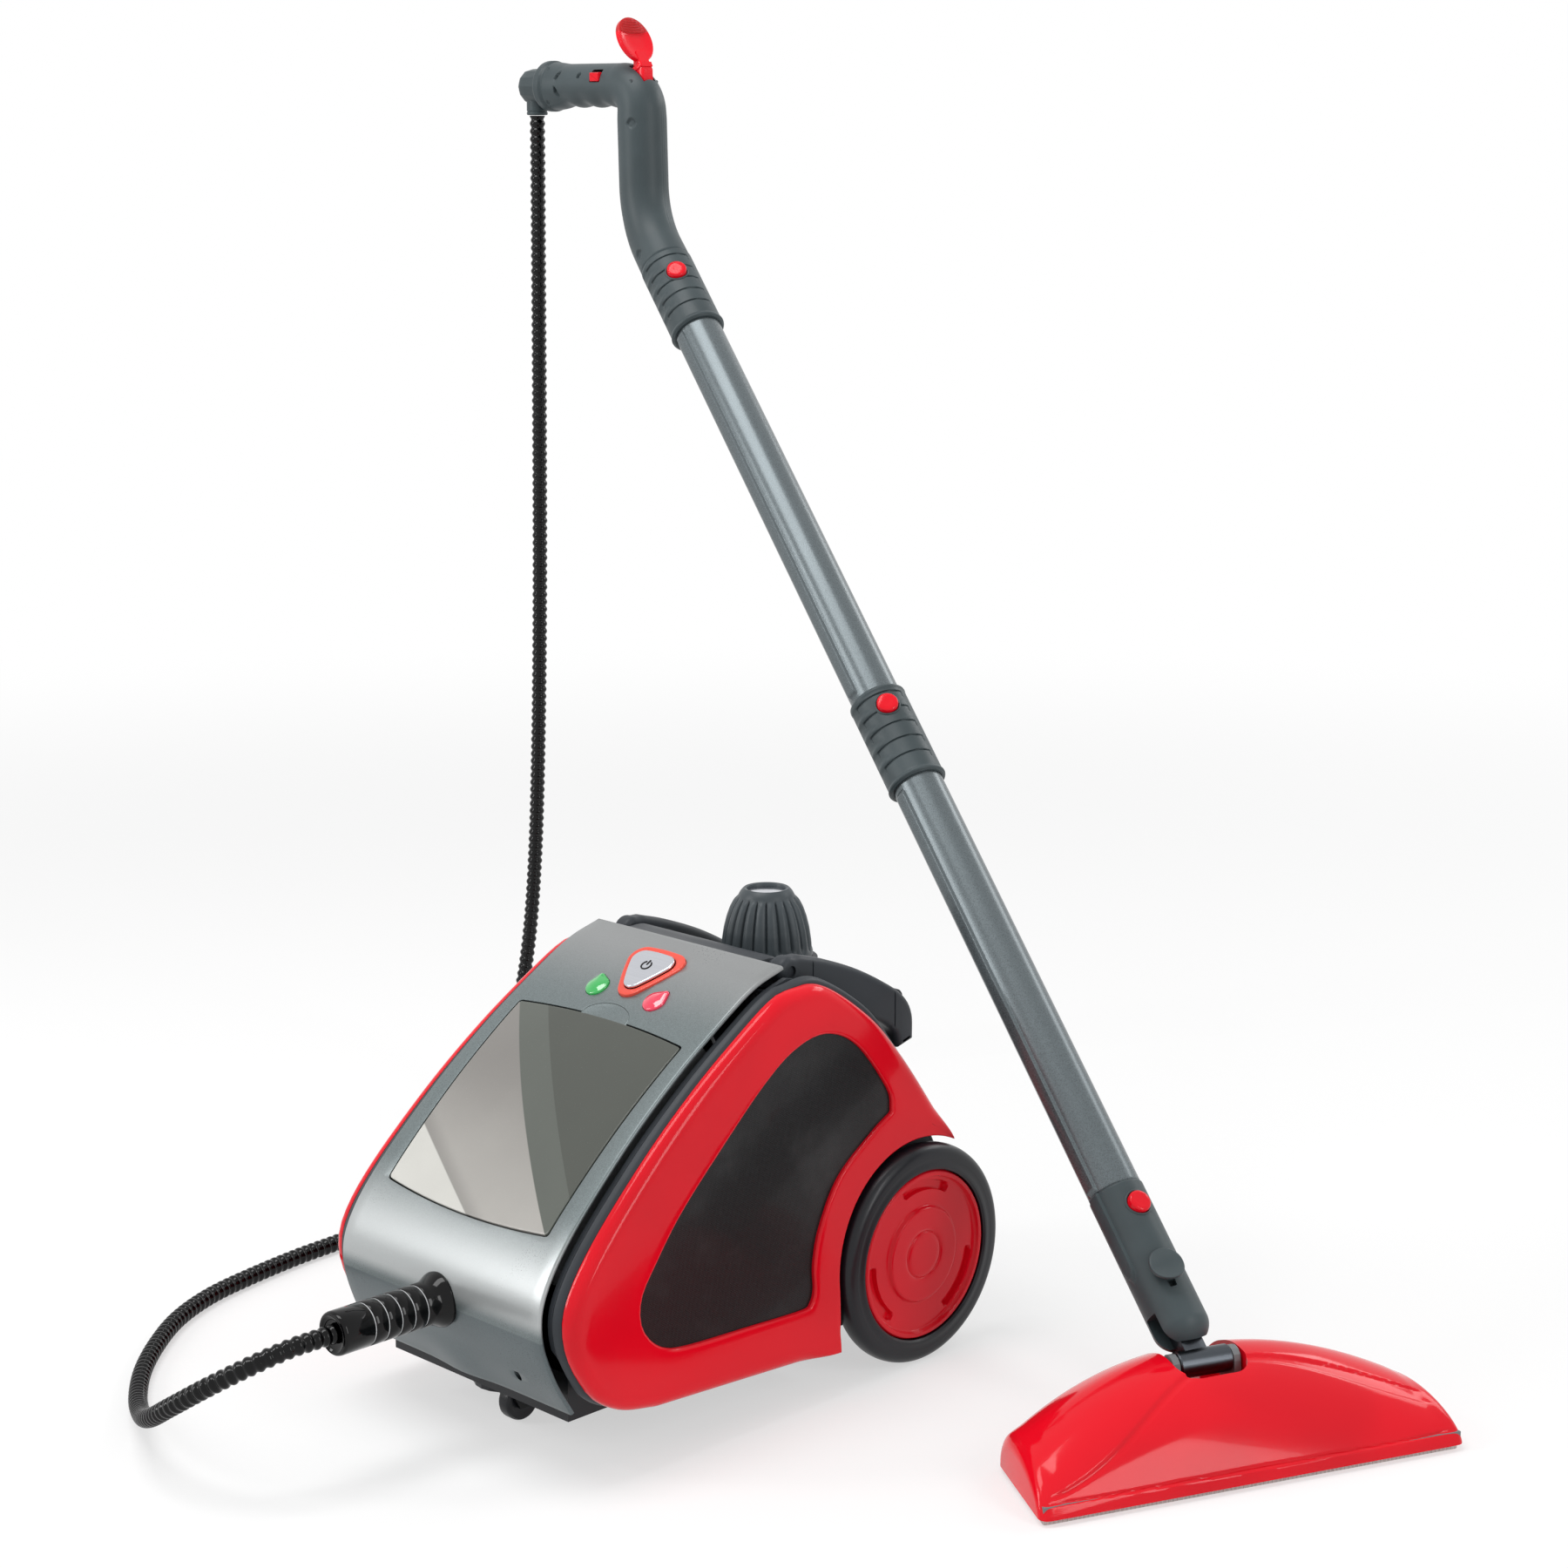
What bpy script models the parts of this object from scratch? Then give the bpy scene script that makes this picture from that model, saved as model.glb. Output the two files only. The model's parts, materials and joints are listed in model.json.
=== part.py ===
"""Canister steam mop: a wheeled boiler unit, a steam hose, a two-tube wand and a floor head.

Metres, +Z up.  The canister faces -Y and stands on its two wheels and a caster.
Most pieces are placed in the canister's own frame, whose zero is on the floor under the
middle of the canister.  The empty "floor_centre" then moves the whole set so that the
model's origin is the middle of its footprint.
"""
import math

import bmesh
import bpy
import numpy as np
from mathutils import Matrix, Vector

# ---------------------------------------------------------------- general sizes
GAP = 0.0003                 # space left between two fixed pieces that touch
RUN = 0.00006                # radial space of a pin that turns in its hole
SKIN = 0.0025                # moulded wall of the covers
FOOTPRINT_SHIFT = (0.0257, -0.0101)   # canister's place in the model's frame

# ---------------------------------------------------------------- canister body
LEAN = 0.435                 # the body narrows by this share of its width per metre of height
COVER_HALF = 0.1055          # half width of the middle body, at floor level
COVER_LINE = [(-0.206, 0.046), (-0.220, 0.072), (-0.229, 0.102), (-0.2245, 0.129),
              (-0.201, 0.162), (-0.1526, 0.208), (-0.1055, 0.245), (-0.0620, 0.2735),
              (-0.0330, 0.2900), (-0.006, 0.2985)]   # front cover, from its lip to its top edge
COVER_LIP = 0.019            # depth of the cover's down-turned rear lip
BACK_LINE = [(-0.0035, 0.277), (0.030, 0.269), (0.061, 0.2535), (0.088, 0.2255),
             (0.112, 0.189), (0.136, 0.149), (0.1485, 0.115), (0.152, 0.080),
             (0.150, 0.040)]                        # rear cover, from top to bottom
WALL_FOOT = [(0.1545, 0.080), (0.1525, 0.036), (0.1430, 0.030)]   # the side walls' lower rear corner
SIDE_WALL = 0.0042           # thickness of the dark side walls
SIDE_PROUD = 0.002           # how far the side walls stand out past the front cover
FLANK_REAR = [(0.016, 0.292), (0.061, 0.261), (0.088, 0.230), (0.114, 0.193),
              (0.140, 0.148), (0.152, 0.120)]       # the flank's edge behind the cover
PANEL_DEEP = 0.0174          # thickness of the red side panels
PANEL_ROUND = 0.008          # rounding of their outer edge
PANEL_EDGE = 0.0012          # its rounding round the wheel arch
PANEL_FOOT = [(0.017, 0.030), (-0.163, 0.040), (-0.196, 0.052), (-0.218, 0.075)]
WINDOW = [(0.014, 0.252), (0.044, 0.238), (0.072, 0.202), (0.075, 0.185), (0.056, 0.175),
          (0.022, 0.152), (-0.004, 0.107), (-0.010, 0.069), (-0.138, 0.074),
          (-0.160, 0.088), (-0.163, 0.115), (-0.124, 0.162), (-0.086, 0.196),
          (-0.046, 0.229), (-0.016, 0.247)]
WINDOW_DEPTH = 0.0140        # thickness of the window pane
POCKET = [(-0.150, 0.065), (0.000, 0.060), (0.000, 0.230), (-0.040, 0.255), (-0.080, 0.240),
          (-0.150, 0.170), (-0.190, 0.110)]          # recess of the side walls behind the panels
WINDOW_SINK = 0.0035         # how far it lies below the panel's face
HUMP_HALF = COVER_HALF * (1 - LEAN * COVER_LINE[-1][1]) - 0.0253   # half width of the raised deck
HUMP_LINE = [(-0.0035, 0.2975), (0.014, 0.296), (0.034, 0.282), (0.060, 0.272),
             (0.088, 0.2655), (0.0965, 0.255), (0.0985, 0.240), (0.104, 0.206)]

# ---------------------------------------------------------------- base, wheels, caster
TRAY_HALF = COVER_HALF - 0.0170
TRAY_FLOOR = 0.034           # height of the tray's underside
TRAY_WALL = 0.003
TRAY_FRONT = -0.196
TRAY_BACK = 0.1465
TRAY_RIM = 0.066
AXLE = (0.100, 0.078)        # y, z of the wheels' axle
AXLE_R = 0.004
TYRE_R = 0.078
ARCH = TYRE_R + 0.0045       # radius of the wheel arch
TYRE_WIDE = 0.020
TYRE_CREST = 0.006           # rounding of the tread's shoulders
HUB_R = TYRE_R - 0.0175
HUB_INNER_FACE = COVER_HALF + 0.0020   # x of the wheels' inner face
HUB_FACE = HUB_INNER_FACE + 0.0190     # x of the wheels' outer face
AXLE_HALF = HUB_FACE - 0.0050
CASTER = (0.0, -0.172)       # swivel axis
CASTER_WHEEL_R = 0.0135
CASTER_WHEEL_HALF = 0.0055
CASTER_TRAIL = 0.009
CASTER_STEM_R = 0.004
CASTER_CHEEK = 0.0022
CASTER_BOSS_R = 0.0225       # raised round under the tray over the caster

# ---------------------------------------------------------------- storage door, controls
DOOR_FOOT = 0.159            # height of the door's lower corners
DOOR_TOP = 0.257             # height of its upper corners
DOOR_HALF = COVER_HALF * (1 - LEAN * DOOR_TOP) - 0.0137
DOOR_BOW = 0.0055            # how far its top and bottom edges bow out
DOOR_GAP = 0.0012            # slot round the door
FINGER_HALF = 0.0225         # half width of the finger notch over the door
FINGER_RISE = 0.0135         # its height above the door's top edge
DOOR_THICK = 0.0024
HINGE_SINK = 0.0046          # door hinge axis below the outer face
HINGE_R = 0.0011
BIN_DEPTH = 0.050
BIN_WALL = 0.002
CONTROL_Y = -0.0440          # the button's centre on the cover
BEZEL_HALF = 0.0225
BUTTON_HALF = 0.0165
LAMP_Y = -0.0615
LAMP_X = 0.028
LAMP_HALF = 0.0088

# ---------------------------------------------------------------- boiler and its parts
TANK = (0.0, 0.070)          # x, y of the boiler's axis, also the filler cap's
TANK_R = 0.043
TANK_FLOOR = 0.096
TANK_SHOULDER = 0.162
TANK_CROWN = 0.190
TANK_WALL = 0.002
NECK_R = 0.0150
NECK_BORE = 0.0120
NECK_TOP = 0.2740
DECK_WALL = 0.003            # wall of the raised deck
CORD_HOLE_R = 0.0085
CORD_HOLE = (0.055, 0.070)   # x, z of the cord's grommet
CAP_FOOT = 0.2765
CAP_R = 0.0325
CAP_TOP_R = 0.0155
CAP_TOP = 0.3235
CAP_PITCH = 0.005            # rise of the cap in one turn
PLUG_R = 0.0118
CAP_STEM_R = 0.0080
CAP_DISC_R = 0.0130

# ---------------------------------------------------------------- carry handle
BAIL_PIVOT = (0.010, 0.290)  # y, z
BAIL_INSIDE = HUMP_HALF + 0.0035   # x of the arms' inner faces
BAIL_BAR = [(0.1235, 0.2460), (0.1255, 0.2240)]   # centres of the bar's upper and lower rounding
BAIL_ARM = 0.0142            # width of an arm
BAIL_PIN_R = 0.004
BAIL_TOP = [(0.020, 0.2990), (0.045, 0.2915), (0.074, 0.2800), (0.100, 0.2665),
            (0.122, 0.2520), (0.1315, 0.2375), (0.1325, 0.2180)]
BAIL_UNDER = [(0.1190, 0.2160), (0.1165, 0.2300), (0.106, 0.2410), (0.088, 0.2500),
              (0.060, 0.2655), (0.030, 0.2790), (0.014, 0.2800)]

# ---------------------------------------------------------------- hose
HOSE_R = 0.0065
GRIP_AXIS_Z = 0.1015
GRIP_IN = -0.206             # inner end of the strain relief, inside the cover
GRIP_OUT = -0.313            # its free end
GRIP_R = 0.0145
GRIP_FLANGE_R = 0.0185
GRIP_RING_STEP = 0.0105

# ---------------------------------------------------------------- floor head
HEAD_PLACE = (0.3531, 0.1219)  # the pitch axis, seen from above
HEAD_TURN = 67.3             # degrees from the canister's X axis to the head's long axis
PIVOT_Z = 0.0600              # height of the pitch axis, and of the wand's foot
NECK_SHIFT = -0.0050         # the notch and neck, from the head's middle
HEAD_HALF = 0.155            # half length along its front edge
HEAD_FRONT = -0.068          # front edge, from the pitch axis
HEAD_BACK = 0.052
HEAD_CROWN = 0.0680          # height over the middle
HEAD_ARCH = 1.55             # the crown drops by this much times the distance squared
HEAD_FOOT = 0.0125           # height of the shell's lower edge
HEAD_SKIN = 0.0028
NOTCH_HALF = 0.0262
NOTCH_FRONT = -0.0240
NOTCH_CORNER = 0.008
EAR_R = 0.0080               # ears that carry the pitch pin
NOTCH_FLOOR = 0.0400
JETS = (-0.090, -0.045, 0.045, 0.090)   # the steam holes along the sole
JET_R = 0.0022
SOLE_FLOOR = 0.0065
SOLE_THICK = 0.0055
PAD_INSET = 0.004
NECK_BARREL_R = 0.0090
NECK_PIN_R = 0.0030
NECK_RISE = 0.0260           # roll axis above the foot of the wand's axis
NECK_TONGUE = 0.0110
TONGUE_HALF = 0.0085

# ---------------------------------------------------------------- wand
WAND_SHIFT = -0.0080         # where the wand's axis crosses the pitch axis, from the head's middle
WAND_LEAN = 46.9             # degrees from upright
WAND_HEADING = 164.9         # degrees from the canister's X axis
TUBE_R = 0.0185
TUBE_WALL = 0.0015
COLLAR_R = 0.0212
ADAPTER_R = 0.0192
ADAPTER_TOP = 0.127          # distances along the wand's axis
MID_LOW = 0.527
MID_HIGH = MID_LOW + 0.078
SOCKET_LOW = 0.916
SOCKET_HIGH = SOCKET_LOW + 0.074
TUBE_INSERT = 0.034          # how far a tube's end sits in its collar
ADAPTER_WALL = 0.0040
BALL_DEPTH = 0.0160          # the adapter's rounded foot, below the roll axis
SPIGOT = 0.028               # how far the adapter's spigot sits in the lower tube
RAIL_ANGLE = 96.0            # where the tube's rail and the buttons lie, round the axis
RAIL_HALF = 0.0045
RAIL_PROUD = 0.0022
BUTTON_R = 0.0078
BUTTON_TRAVEL = 0.0025
BUTTON_SEAT = 0.0152         # radius of a button's underside, from the wand's axis
UPPER_BUTTON_DROP = 0.024    # from the upper end of the piece that holds the button
MIDDLE_BUTTON_DROP = 0.017
LOWER_BUTTON_DROP = 0.018
BUTTONS = {"release_button_upper": (SOCKET_HIGH - UPPER_BUTTON_DROP, 160.0, COLLAR_R),
           "release_button_middle": (MID_HIGH - MIDDLE_BUTTON_DROP, 160.0, COLLAR_R),
           "release_button_lower": (ADAPTER_TOP - LOWER_BUTTON_DROP, 180.0, ADAPTER_R)}

# ---------------------------------------------------------------- wand handle
HANDLE_R = 0.0200            # neck of the handle
HANDLE_GRIP_R = 0.0178       # its grip
HANDLE_SKIN = 0.0028
HANDLE_KNEE = 0.0500         # along the wand's axis from its upper end: the bend upright
HANDLE_ELBOW = (-0.0391, 0.0102, 0.1425)   # from the wand's upper end: the bend to the grip
HANDLE_END = (-0.1501, 0.0102, 0.1435)
CUFF_R = 0.0142
CUFF_FLANGE_R = 0.0205
CUFF_LENGTH = 0.0290
CUFF_DROP = 0.0175           # from the grip's end to the hanging hose's axis
TRIGGER_BACK = 0.0029        # the trigger's pin, from the elbow's corner towards the wand
TRIGGER_RISE = 0.0029        # and above it
KNEE_ROUND = 0.075           # radius of the handle's centre line at its knee
ELBOW_ROUND = 0.0215         # and at its elbow
TRIGGER_LEAN = 27.0          # degrees from upright, towards the grip
LOCK_BACK = 0.0490           # the lock bar, from the elbow's corner towards the hose
LOCK_RISE = 0.0050
LOCK_TRAVEL = 0.004
HALF_ARC = 89.4             # degrees each moulded half reaches from its middle to the seam
TRIGGER_PIN_HALF = 0.0145
LEAF_RISE = 0.0337           # middle of the trigger's leaf above its pin, along the leaf
LEAF_FRONT = 0.0060          # and in front of it
HINGE_RISE = 0.0068          # door hinge axis above the door's lower corners

# The steam hose, from the strain relief's end down to the floor, round in a loop,
# along the canister and up to the handle.  Chosen points of one smooth curve.
HOSE_ROUTE = [(0.000, -0.3134, 0.1015), (0.000, -0.328, 0.1015), (-0.002, -0.343, 0.1003),
              (-0.012, -0.363, 0.0930), (-0.036, -0.381, 0.0765), (-0.071, -0.387, 0.0540),
              (-0.108, -0.378, 0.0330), (-0.148, -0.359, 0.0165), (-0.190, -0.335, 0.0085),
              (-0.230, -0.305, 0.0068), (-0.265, -0.270, 0.0068), (-0.295, -0.232, 0.0068),
              (-0.316, -0.190, 0.0068), (-0.328, -0.145, 0.0068), (-0.337, -0.095, 0.0068),
              (-0.343, -0.040, 0.0068), (-0.357, 0.015, 0.0068), (-0.384, 0.068, 0.0068),
              (-0.423, 0.122, 0.0068), (-0.464, 0.172, 0.0085), (-0.499, 0.219, 0.0180),
              (-0.522, 0.258, 0.0410), (-0.533, 0.288, 0.0830), (-0.535, 0.304, 0.1400),
              (-0.532, 0.311, 0.2200), (-0.527, 0.313, 0.3300), (-0.522, 0.313, 0.4600),
              (-0.519, 0.313, 0.6000), (-0.517, 0.313, 0.7300), (-0.5157, 0.313, 0.8200),
              (-0.5155, 0.313, 0.8563)]


# ================================================================ curves and outlines
def smooth(points, steps=4):
    """Points of a smooth curve (Catmull-Rom) through the given ones, both ends included."""
    p = np.array(points, float)
    p = np.vstack([2 * p[0] - p[1], p, 2 * p[-1] - p[-2]])
    out = []
    for i in range(1, len(p) - 2):
        for t in np.arange(steps) / steps:
            a = 2 * p[i] + (p[i + 1] - p[i - 1]) * t
            b = (2 * p[i - 1] - 5 * p[i] + 4 * p[i + 1] - p[i + 2]) * t ** 2
            c = (3 * p[i] - p[i - 1] - 3 * p[i + 1] + p[i + 2]) * t ** 3
            out.append((a + b + c) / 2)
    out.append(p[-2])
    return [tuple(float(v) for v in q) for q in out]


def side_step(line, distance, closed=False):
    """The 2-D line moved sideways, to the left of its travel, with mitred corners."""
    p = np.array(line, float)
    if closed:
        before, after = np.roll(p, 1, axis=0), np.roll(p, -1, axis=0)
    else:
        before = np.vstack([2 * p[0] - p[1], p[:-1]])
        after = np.vstack([p[1:], 2 * p[-1] - p[-2]])
    a = (p - before) / np.linalg.norm(p - before, axis=1)[:, None]
    b = (after - p) / np.linalg.norm(after - p, axis=1)[:, None]
    left_a = np.stack([-a[:, 1], a[:, 0]], 1)
    left_b = np.stack([-b[:, 1], b[:, 0]], 1)
    mitre = left_a + left_b
    mitre /= np.maximum(np.sum(mitre * left_a, axis=1), 0.3)[:, None]
    step = np.broadcast_to(np.asarray(distance, float), (len(p),))[:, None]
    return [tuple(float(v) for v in q) for q in p + mitre * step]


def arc(centre, radius, start, end, steps):
    """Points on a circle from one angle to another, in degrees."""
    angles = np.radians(np.linspace(start, end, steps + 1))
    return [(centre[0] + radius * math.cos(t), centre[1] + radius * math.sin(t)) for t in angles]


def at_height(line, height):
    """The y of a rising line where it reaches a height."""
    y, z = np.array(line).T
    return float(np.interp(height, z, y))


def height_at(line, y):
    """The z of a line at a given y, for a line whose y grows."""
    ys, zs = np.array(line).T
    return float(np.interp(y, ys, zs))


# ================================================================ solids
def solid(verts, faces):
    """A bmesh of the given points and faces, with its faces turned outwards."""
    bm = bmesh.new()
    made = [bm.verts.new(v) for v in verts]
    for face in faces:
        bm.faces.new([made[i] for i in face])
    bmesh.ops.recalc_face_normals(bm, faces=bm.faces)
    return bm


def to_space(axis, level, a, b):
    """A point of an outline that lies across the named axis, at a level along it."""
    return {"X": (level, a, b), "Y": (a, level, b), "Z": (a, b, level)}[axis]


def loft(loops):
    """A closed solid through loops of equally many points, with flat ends."""
    count = len(loops[0])
    verts = [p for loop in loops for p in loop]
    faces = [tuple(range(count)), tuple(range(len(verts) - 1, len(verts) - 1 - count, -1))]
    for k in range(len(loops) - 1):
        low, high = k * count, (k + 1) * count
        for i in range(count):
            j = (i + 1) % count
            faces.append((low + i, low + j, high + j, high + i))
    return solid(verts, faces)


def prism(outline, low, high, axis="X"):
    """An outline drawn out from one level to another along an axis."""
    return loft([[to_space(axis, level, a, b) for a, b in outline] for level in (low, high)])


def lathe(profile, sides=24, axis="Z"):
    """A closed (radius, height) profile turned about an axis; radius 0 makes a pole."""
    turned = []
    rings = []
    for radius, height in profile:
        if radius == 0:
            rings.append([len(turned)] * sides)
            turned.append((0.0, 0.0, height))
            continue
        rings.append(list(range(len(turned), len(turned) + sides)))
        for t in np.arange(sides) * 2 * math.pi / sides:
            turned.append((radius * math.cos(t), radius * math.sin(t), height))
    faces = []
    for k, ring in enumerate(rings):
        other = rings[(k + 1) % len(rings)]
        if ring[0] == ring[1] and other[0] == other[1]:
            continue
        for i in range(sides):
            j = (i + 1) % sides
            corners = dict.fromkeys((ring[i], ring[j], other[j], other[i]))
            faces.append(tuple(corners))
    bm = solid(turned, faces)
    bm.transform({"Z": Matrix(), "X": Matrix.Rotation(math.radians(90), 4, "Y"),
                  "Y": Matrix.Rotation(math.radians(-90), 4, "X")}[axis])
    return bm


def rod(radius, low, high, axis="Z", sides=20):
    """A plain cylinder between two levels along an axis."""
    return lathe([(0, low), (radius, low), (radius, high), (0, high)], sides, axis)


def box(low, high):
    """A block between two corners."""
    (x0, y0, z0), (x1, y1, z1) = low, high
    return prism([(x0, y0), (x1, y0), (x1, y1), (x0, y1)], z0, z1, "Z")


def crowned(outline, low, high, radii, steps=3):
    """A plate across X whose edge is rounded over at its high face, by each point's radius."""
    side = 1 if high > low else -1
    radii = np.array(radii)
    loops = [[(low, a, b) for a, b in outline]]
    for t in np.radians(np.linspace(0, 90, steps + 1)):
        inner = side_step(outline, radii * (1 - math.cos(t)), closed=True)
        levels = high - side * radii * (1 - math.sin(t))
        loops.append([(float(level), a, b) for level, (a, b) in zip(levels, inner)])
    return loft(loops)


def frames_along(path, side):
    """For each path point its tangent and two cross directions, the first nearest to side."""
    p = np.array(path, float)
    tangent = np.gradient(p, axis=0)
    tangent /= np.linalg.norm(tangent, axis=1)[:, None]
    first = np.array(side, float) - tangent * (tangent @ np.array(side, float))[:, None]
    first /= np.linalg.norm(first, axis=1)[:, None]
    return p, tangent, first, np.cross(tangent, first)


def fillet_path(corners, radii, steps=6):
    """A path through corners, with each inner corner rounded to its radius."""
    c = [Vector(p) for p in corners]
    path = [c[0]]
    for i, radius in enumerate(radii, start=1):
        a = (c[i - 1] - c[i]).normalized()
        b = (c[i + 1] - c[i]).normalized()
        half = a.angle(b) / 2
        centre = c[i] + (a + b).normalized() * radius / math.sin(half)
        start = (c[i] + a * radius / math.tan(half) - centre).normalized()
        end = (c[i] + b * radius / math.tan(half) - centre).normalized()
        path += [centre + start.slerp(end, k / steps) * radius for k in range(steps + 1)]
    path.append(c[-1])
    return path


def lean_in(bm):
    """The same solid, narrowed with height as the whole body is."""
    for v in bm.verts:
        v.co.x *= 1 - LEAN * v.co.z
    return bm


def moved(bm, matrix):
    """The same solid, moved."""
    bm.transform(matrix)
    return bm


def shift(x, y, z):
    return Matrix.Translation((x, y, z))


def turn(degrees, axis):
    return Matrix.Rotation(math.radians(degrees), 4, axis)


def together(*parts):
    """Several separate solids as one mesh."""
    bm = bmesh.new()
    for part in parts:
        mesh = bpy.data.meshes.new("part")
        part.to_mesh(mesh)
        part.free()
        bm.from_mesh(mesh)
        bpy.data.meshes.remove(mesh)
    return bm


# ================================================================ objects
FINISHES = {
    "satin_graphite": ((0.115, 0.132, 0.135), 0.30, 0.55),
    "dark_trim": ((0.055, 0.065, 0.068), 0.45, 0.0),
    "gloss_red": ((0.72, 0.012, 0.022), 0.14, 0.0),
    "smoked_gloss": ((0.075, 0.078, 0.075), 0.08, 0.0),
    "smoked_window": ((0.012, 0.012, 0.013), 0.16, 0.0),
    "black_rubber": ((0.018, 0.018, 0.020), 0.60, 0.0),
    "black_gloss": ((0.012, 0.012, 0.013), 0.20, 0.0),
    "wand_grey": ((0.075, 0.088, 0.093), 0.42, 0.0),
    "cap_grey": ((0.060, 0.070, 0.076), 0.45, 0.0),
    "silver": ((0.72, 0.72, 0.74), 0.22, 1.0),
    "steel": ((0.55, 0.56, 0.57), 0.28, 1.0),
    "lamp_green": ((0.02, 0.55, 0.16), 0.15, 0.0),
    "lamp_red": ((0.75, 0.015, 0.09), 0.15, 0.0),
    "inner_grey": ((0.20, 0.21, 0.22), 0.55, 0.0),
    "brass": ((0.62, 0.45, 0.20), 0.35, 1.0),
    "board_green": ((0.03, 0.18, 0.08), 0.50, 0.0),
    "pad_cloth": ((0.80, 0.80, 0.78), 0.90, 0.0),
}


def finish(name):
    """The material of that name, made on first use."""
    if name in bpy.data.materials:
        return bpy.data.materials[name]
    colour, roughness, metallic = FINISHES[name]
    material = bpy.data.materials.new(name)
    material.use_nodes = True
    shader = material.node_tree.nodes["Principled BSDF"]
    shader.inputs["Base Color"].default_value = (*colour, 1.0)
    shader.inputs["Roughness"].default_value = roughness
    shader.inputs["Metallic"].default_value = metallic
    material.diffuse_color = (*colour, 1.0)
    return material


def clear_scene():
    for thing in list(bpy.data.objects):
        bpy.data.objects.remove(thing, do_unlink=True)


def empty(name, location=(0, 0, 0), rotation=(0, 0, 0), parent=None):
    thing = bpy.data.objects.new(name, None)
    bpy.context.scene.collection.objects.link(thing)
    thing.location = location
    thing.rotation_euler = [math.radians(v) for v in rotation]
    thing.parent = parent
    return thing


def piece(name, bm, look, parent, place=(0, 0, 0), rotation=(0, 0, 0)):
    """A named object with its own mesh and finish, set under a parent."""
    mesh = bpy.data.meshes.new(name)
    bm.to_mesh(mesh)
    bm.free()
    mesh.shade_smooth()
    mesh.set_sharp_from_angle(angle=math.radians(35))
    thing = bpy.data.objects.new(name, mesh)
    bpy.context.scene.collection.objects.link(thing)
    thing.location = place
    thing.rotation_euler = [math.radians(v) for v in rotation]
    thing.parent = parent
    mesh.materials.append(finish(look))
    return thing


def cutter(bm, parent, place=(0, 0, 0), rotation=(0, 0, 0)):
    """A solid that only shapes another one; it isn't part of the model."""
    thing = piece("cutter", bm, "inner_grey", parent, place, rotation)
    thing.hide_render = True
    thing.display_type = "WIRE"
    return thing


def shaped(thing, tools, operation="DIFFERENCE"):
    """Cut, join or keep what is common with each tool, in order."""
    for tool in tools:
        step = thing.modifiers.new(operation.lower(), "BOOLEAN")
        step.operation = operation
        step.solver = "EXACT"
        step.object = tool
    return thing


# ================================================================ lines of the canister's side
def cover_line():
    """Outer line of the front cover, from its lower lip to its top edge."""
    return smooth(COVER_LINE, 3)


def flank_outline(rear_low, rear_top=None):
    """Closed side outline: foot, nose, cover line, rear slope, then the given rear stretch."""
    nose = side_step(cover_line(), SIDE_PROUD)
    upper = [p for p in nose if p[1] > PANEL_FOOT[-1][1] + 0.012]
    start = smooth(PANEL_FOOT[1:] + upper[:1], 3)[:-1]
    top = rear_top or smooth([upper[-1]] + FLANK_REAR, 3)[1:]
    return [PANEL_FOOT[0]] + start + upper + top + rear_low


def flank_to_arch():
    """The flank's rear edge down to the wheel arch, and the arch from there to its front foot."""
    first = side_step(cover_line(), SIDE_PROUD)[-1]
    top = []
    for y, z in smooth([first] + FLANK_REAR, 3)[1:]:
        if math.hypot(y - AXLE[0], z - AXLE[1]) < ARCH + 0.004:
            break
        top.append((y, z))
    y, z = top[-1]
    start = math.degrees(math.atan2(z - AXLE[1], y - AXLE[0]))
    return top, arc(AXLE, ARCH, start - 4, 184, 10)


# ================================================================ canister
def front_cover(base):
    """The grey front: one bent shell, open for the door, the controls and the hose."""
    outer = cover_line()
    outer = outer + [(outer[-1][0] + 0.0001, outer[-1][1] - COVER_LIP)]
    inner = side_step(outer, -SKIN)
    shell = lean_in(prism(outer + inner[::-1], -COVER_HALF, COVER_HALF))
    shell = piece("front_cover", shell, "satin_graphite", base)
    reach = door_reach() + DOOR_BOW
    finger = arc((0, reach), 1, 0, 180, 10)
    finger = [(x * FINGER_HALF, reach + (y - reach) * FINGER_RISE) for x, y in finger]
    finger += [(-FINGER_HALF, reach - 0.003), (FINGER_HALF, reach - 0.003)]
    tools = [cutter(door_block(DOOR_GAP, -0.02, 0.02), base, *on_door()),
             cutter(prism(finger, -0.02, 0.02, "Z"), base, *on_door()),
             cutter(rod(GRIP_R + GAP, -0.03, 0.03, "Y"), base, (0, COVER_LINE[2][0], GRIP_AXIS_Z)),
             cutter(prism(bezel_outline(BEZEL_HALF + GAP), -0.01, 0.02, "Z"), base, *on_cover(CONTROL_Y))]
    for side in (-1, 1):
        lamp = prism(lamp_outline(LAMP_HALF + GAP, side), -0.01, 0.02, "Z")
        tools.append(cutter(lamp, base, *on_cover(LAMP_Y, side * LAMP_X)))
    return shaped(shell, tools)


def on_cover(y, x=0.0, lift=0.0):
    """Place and turn of a frame on the front cover at y: its Y axis runs up the slope."""
    line = cover_line()
    low, high = height_at(line, y - 0.004), height_at(line, y + 0.004)
    angle = math.atan2(high - low, 0.008)
    z = height_at(line, y)
    return ((x, y - lift * math.sin(angle), z + lift * math.cos(angle)), (math.degrees(angle), 0, 0))


def door_corners():
    line = [p for p in cover_line() if p[1] > GRIP_AXIS_Z + 0.01]
    return (at_height(line, DOOR_FOOT), DOOR_FOOT), (at_height(line, DOOR_TOP), DOOR_TOP)


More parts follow.
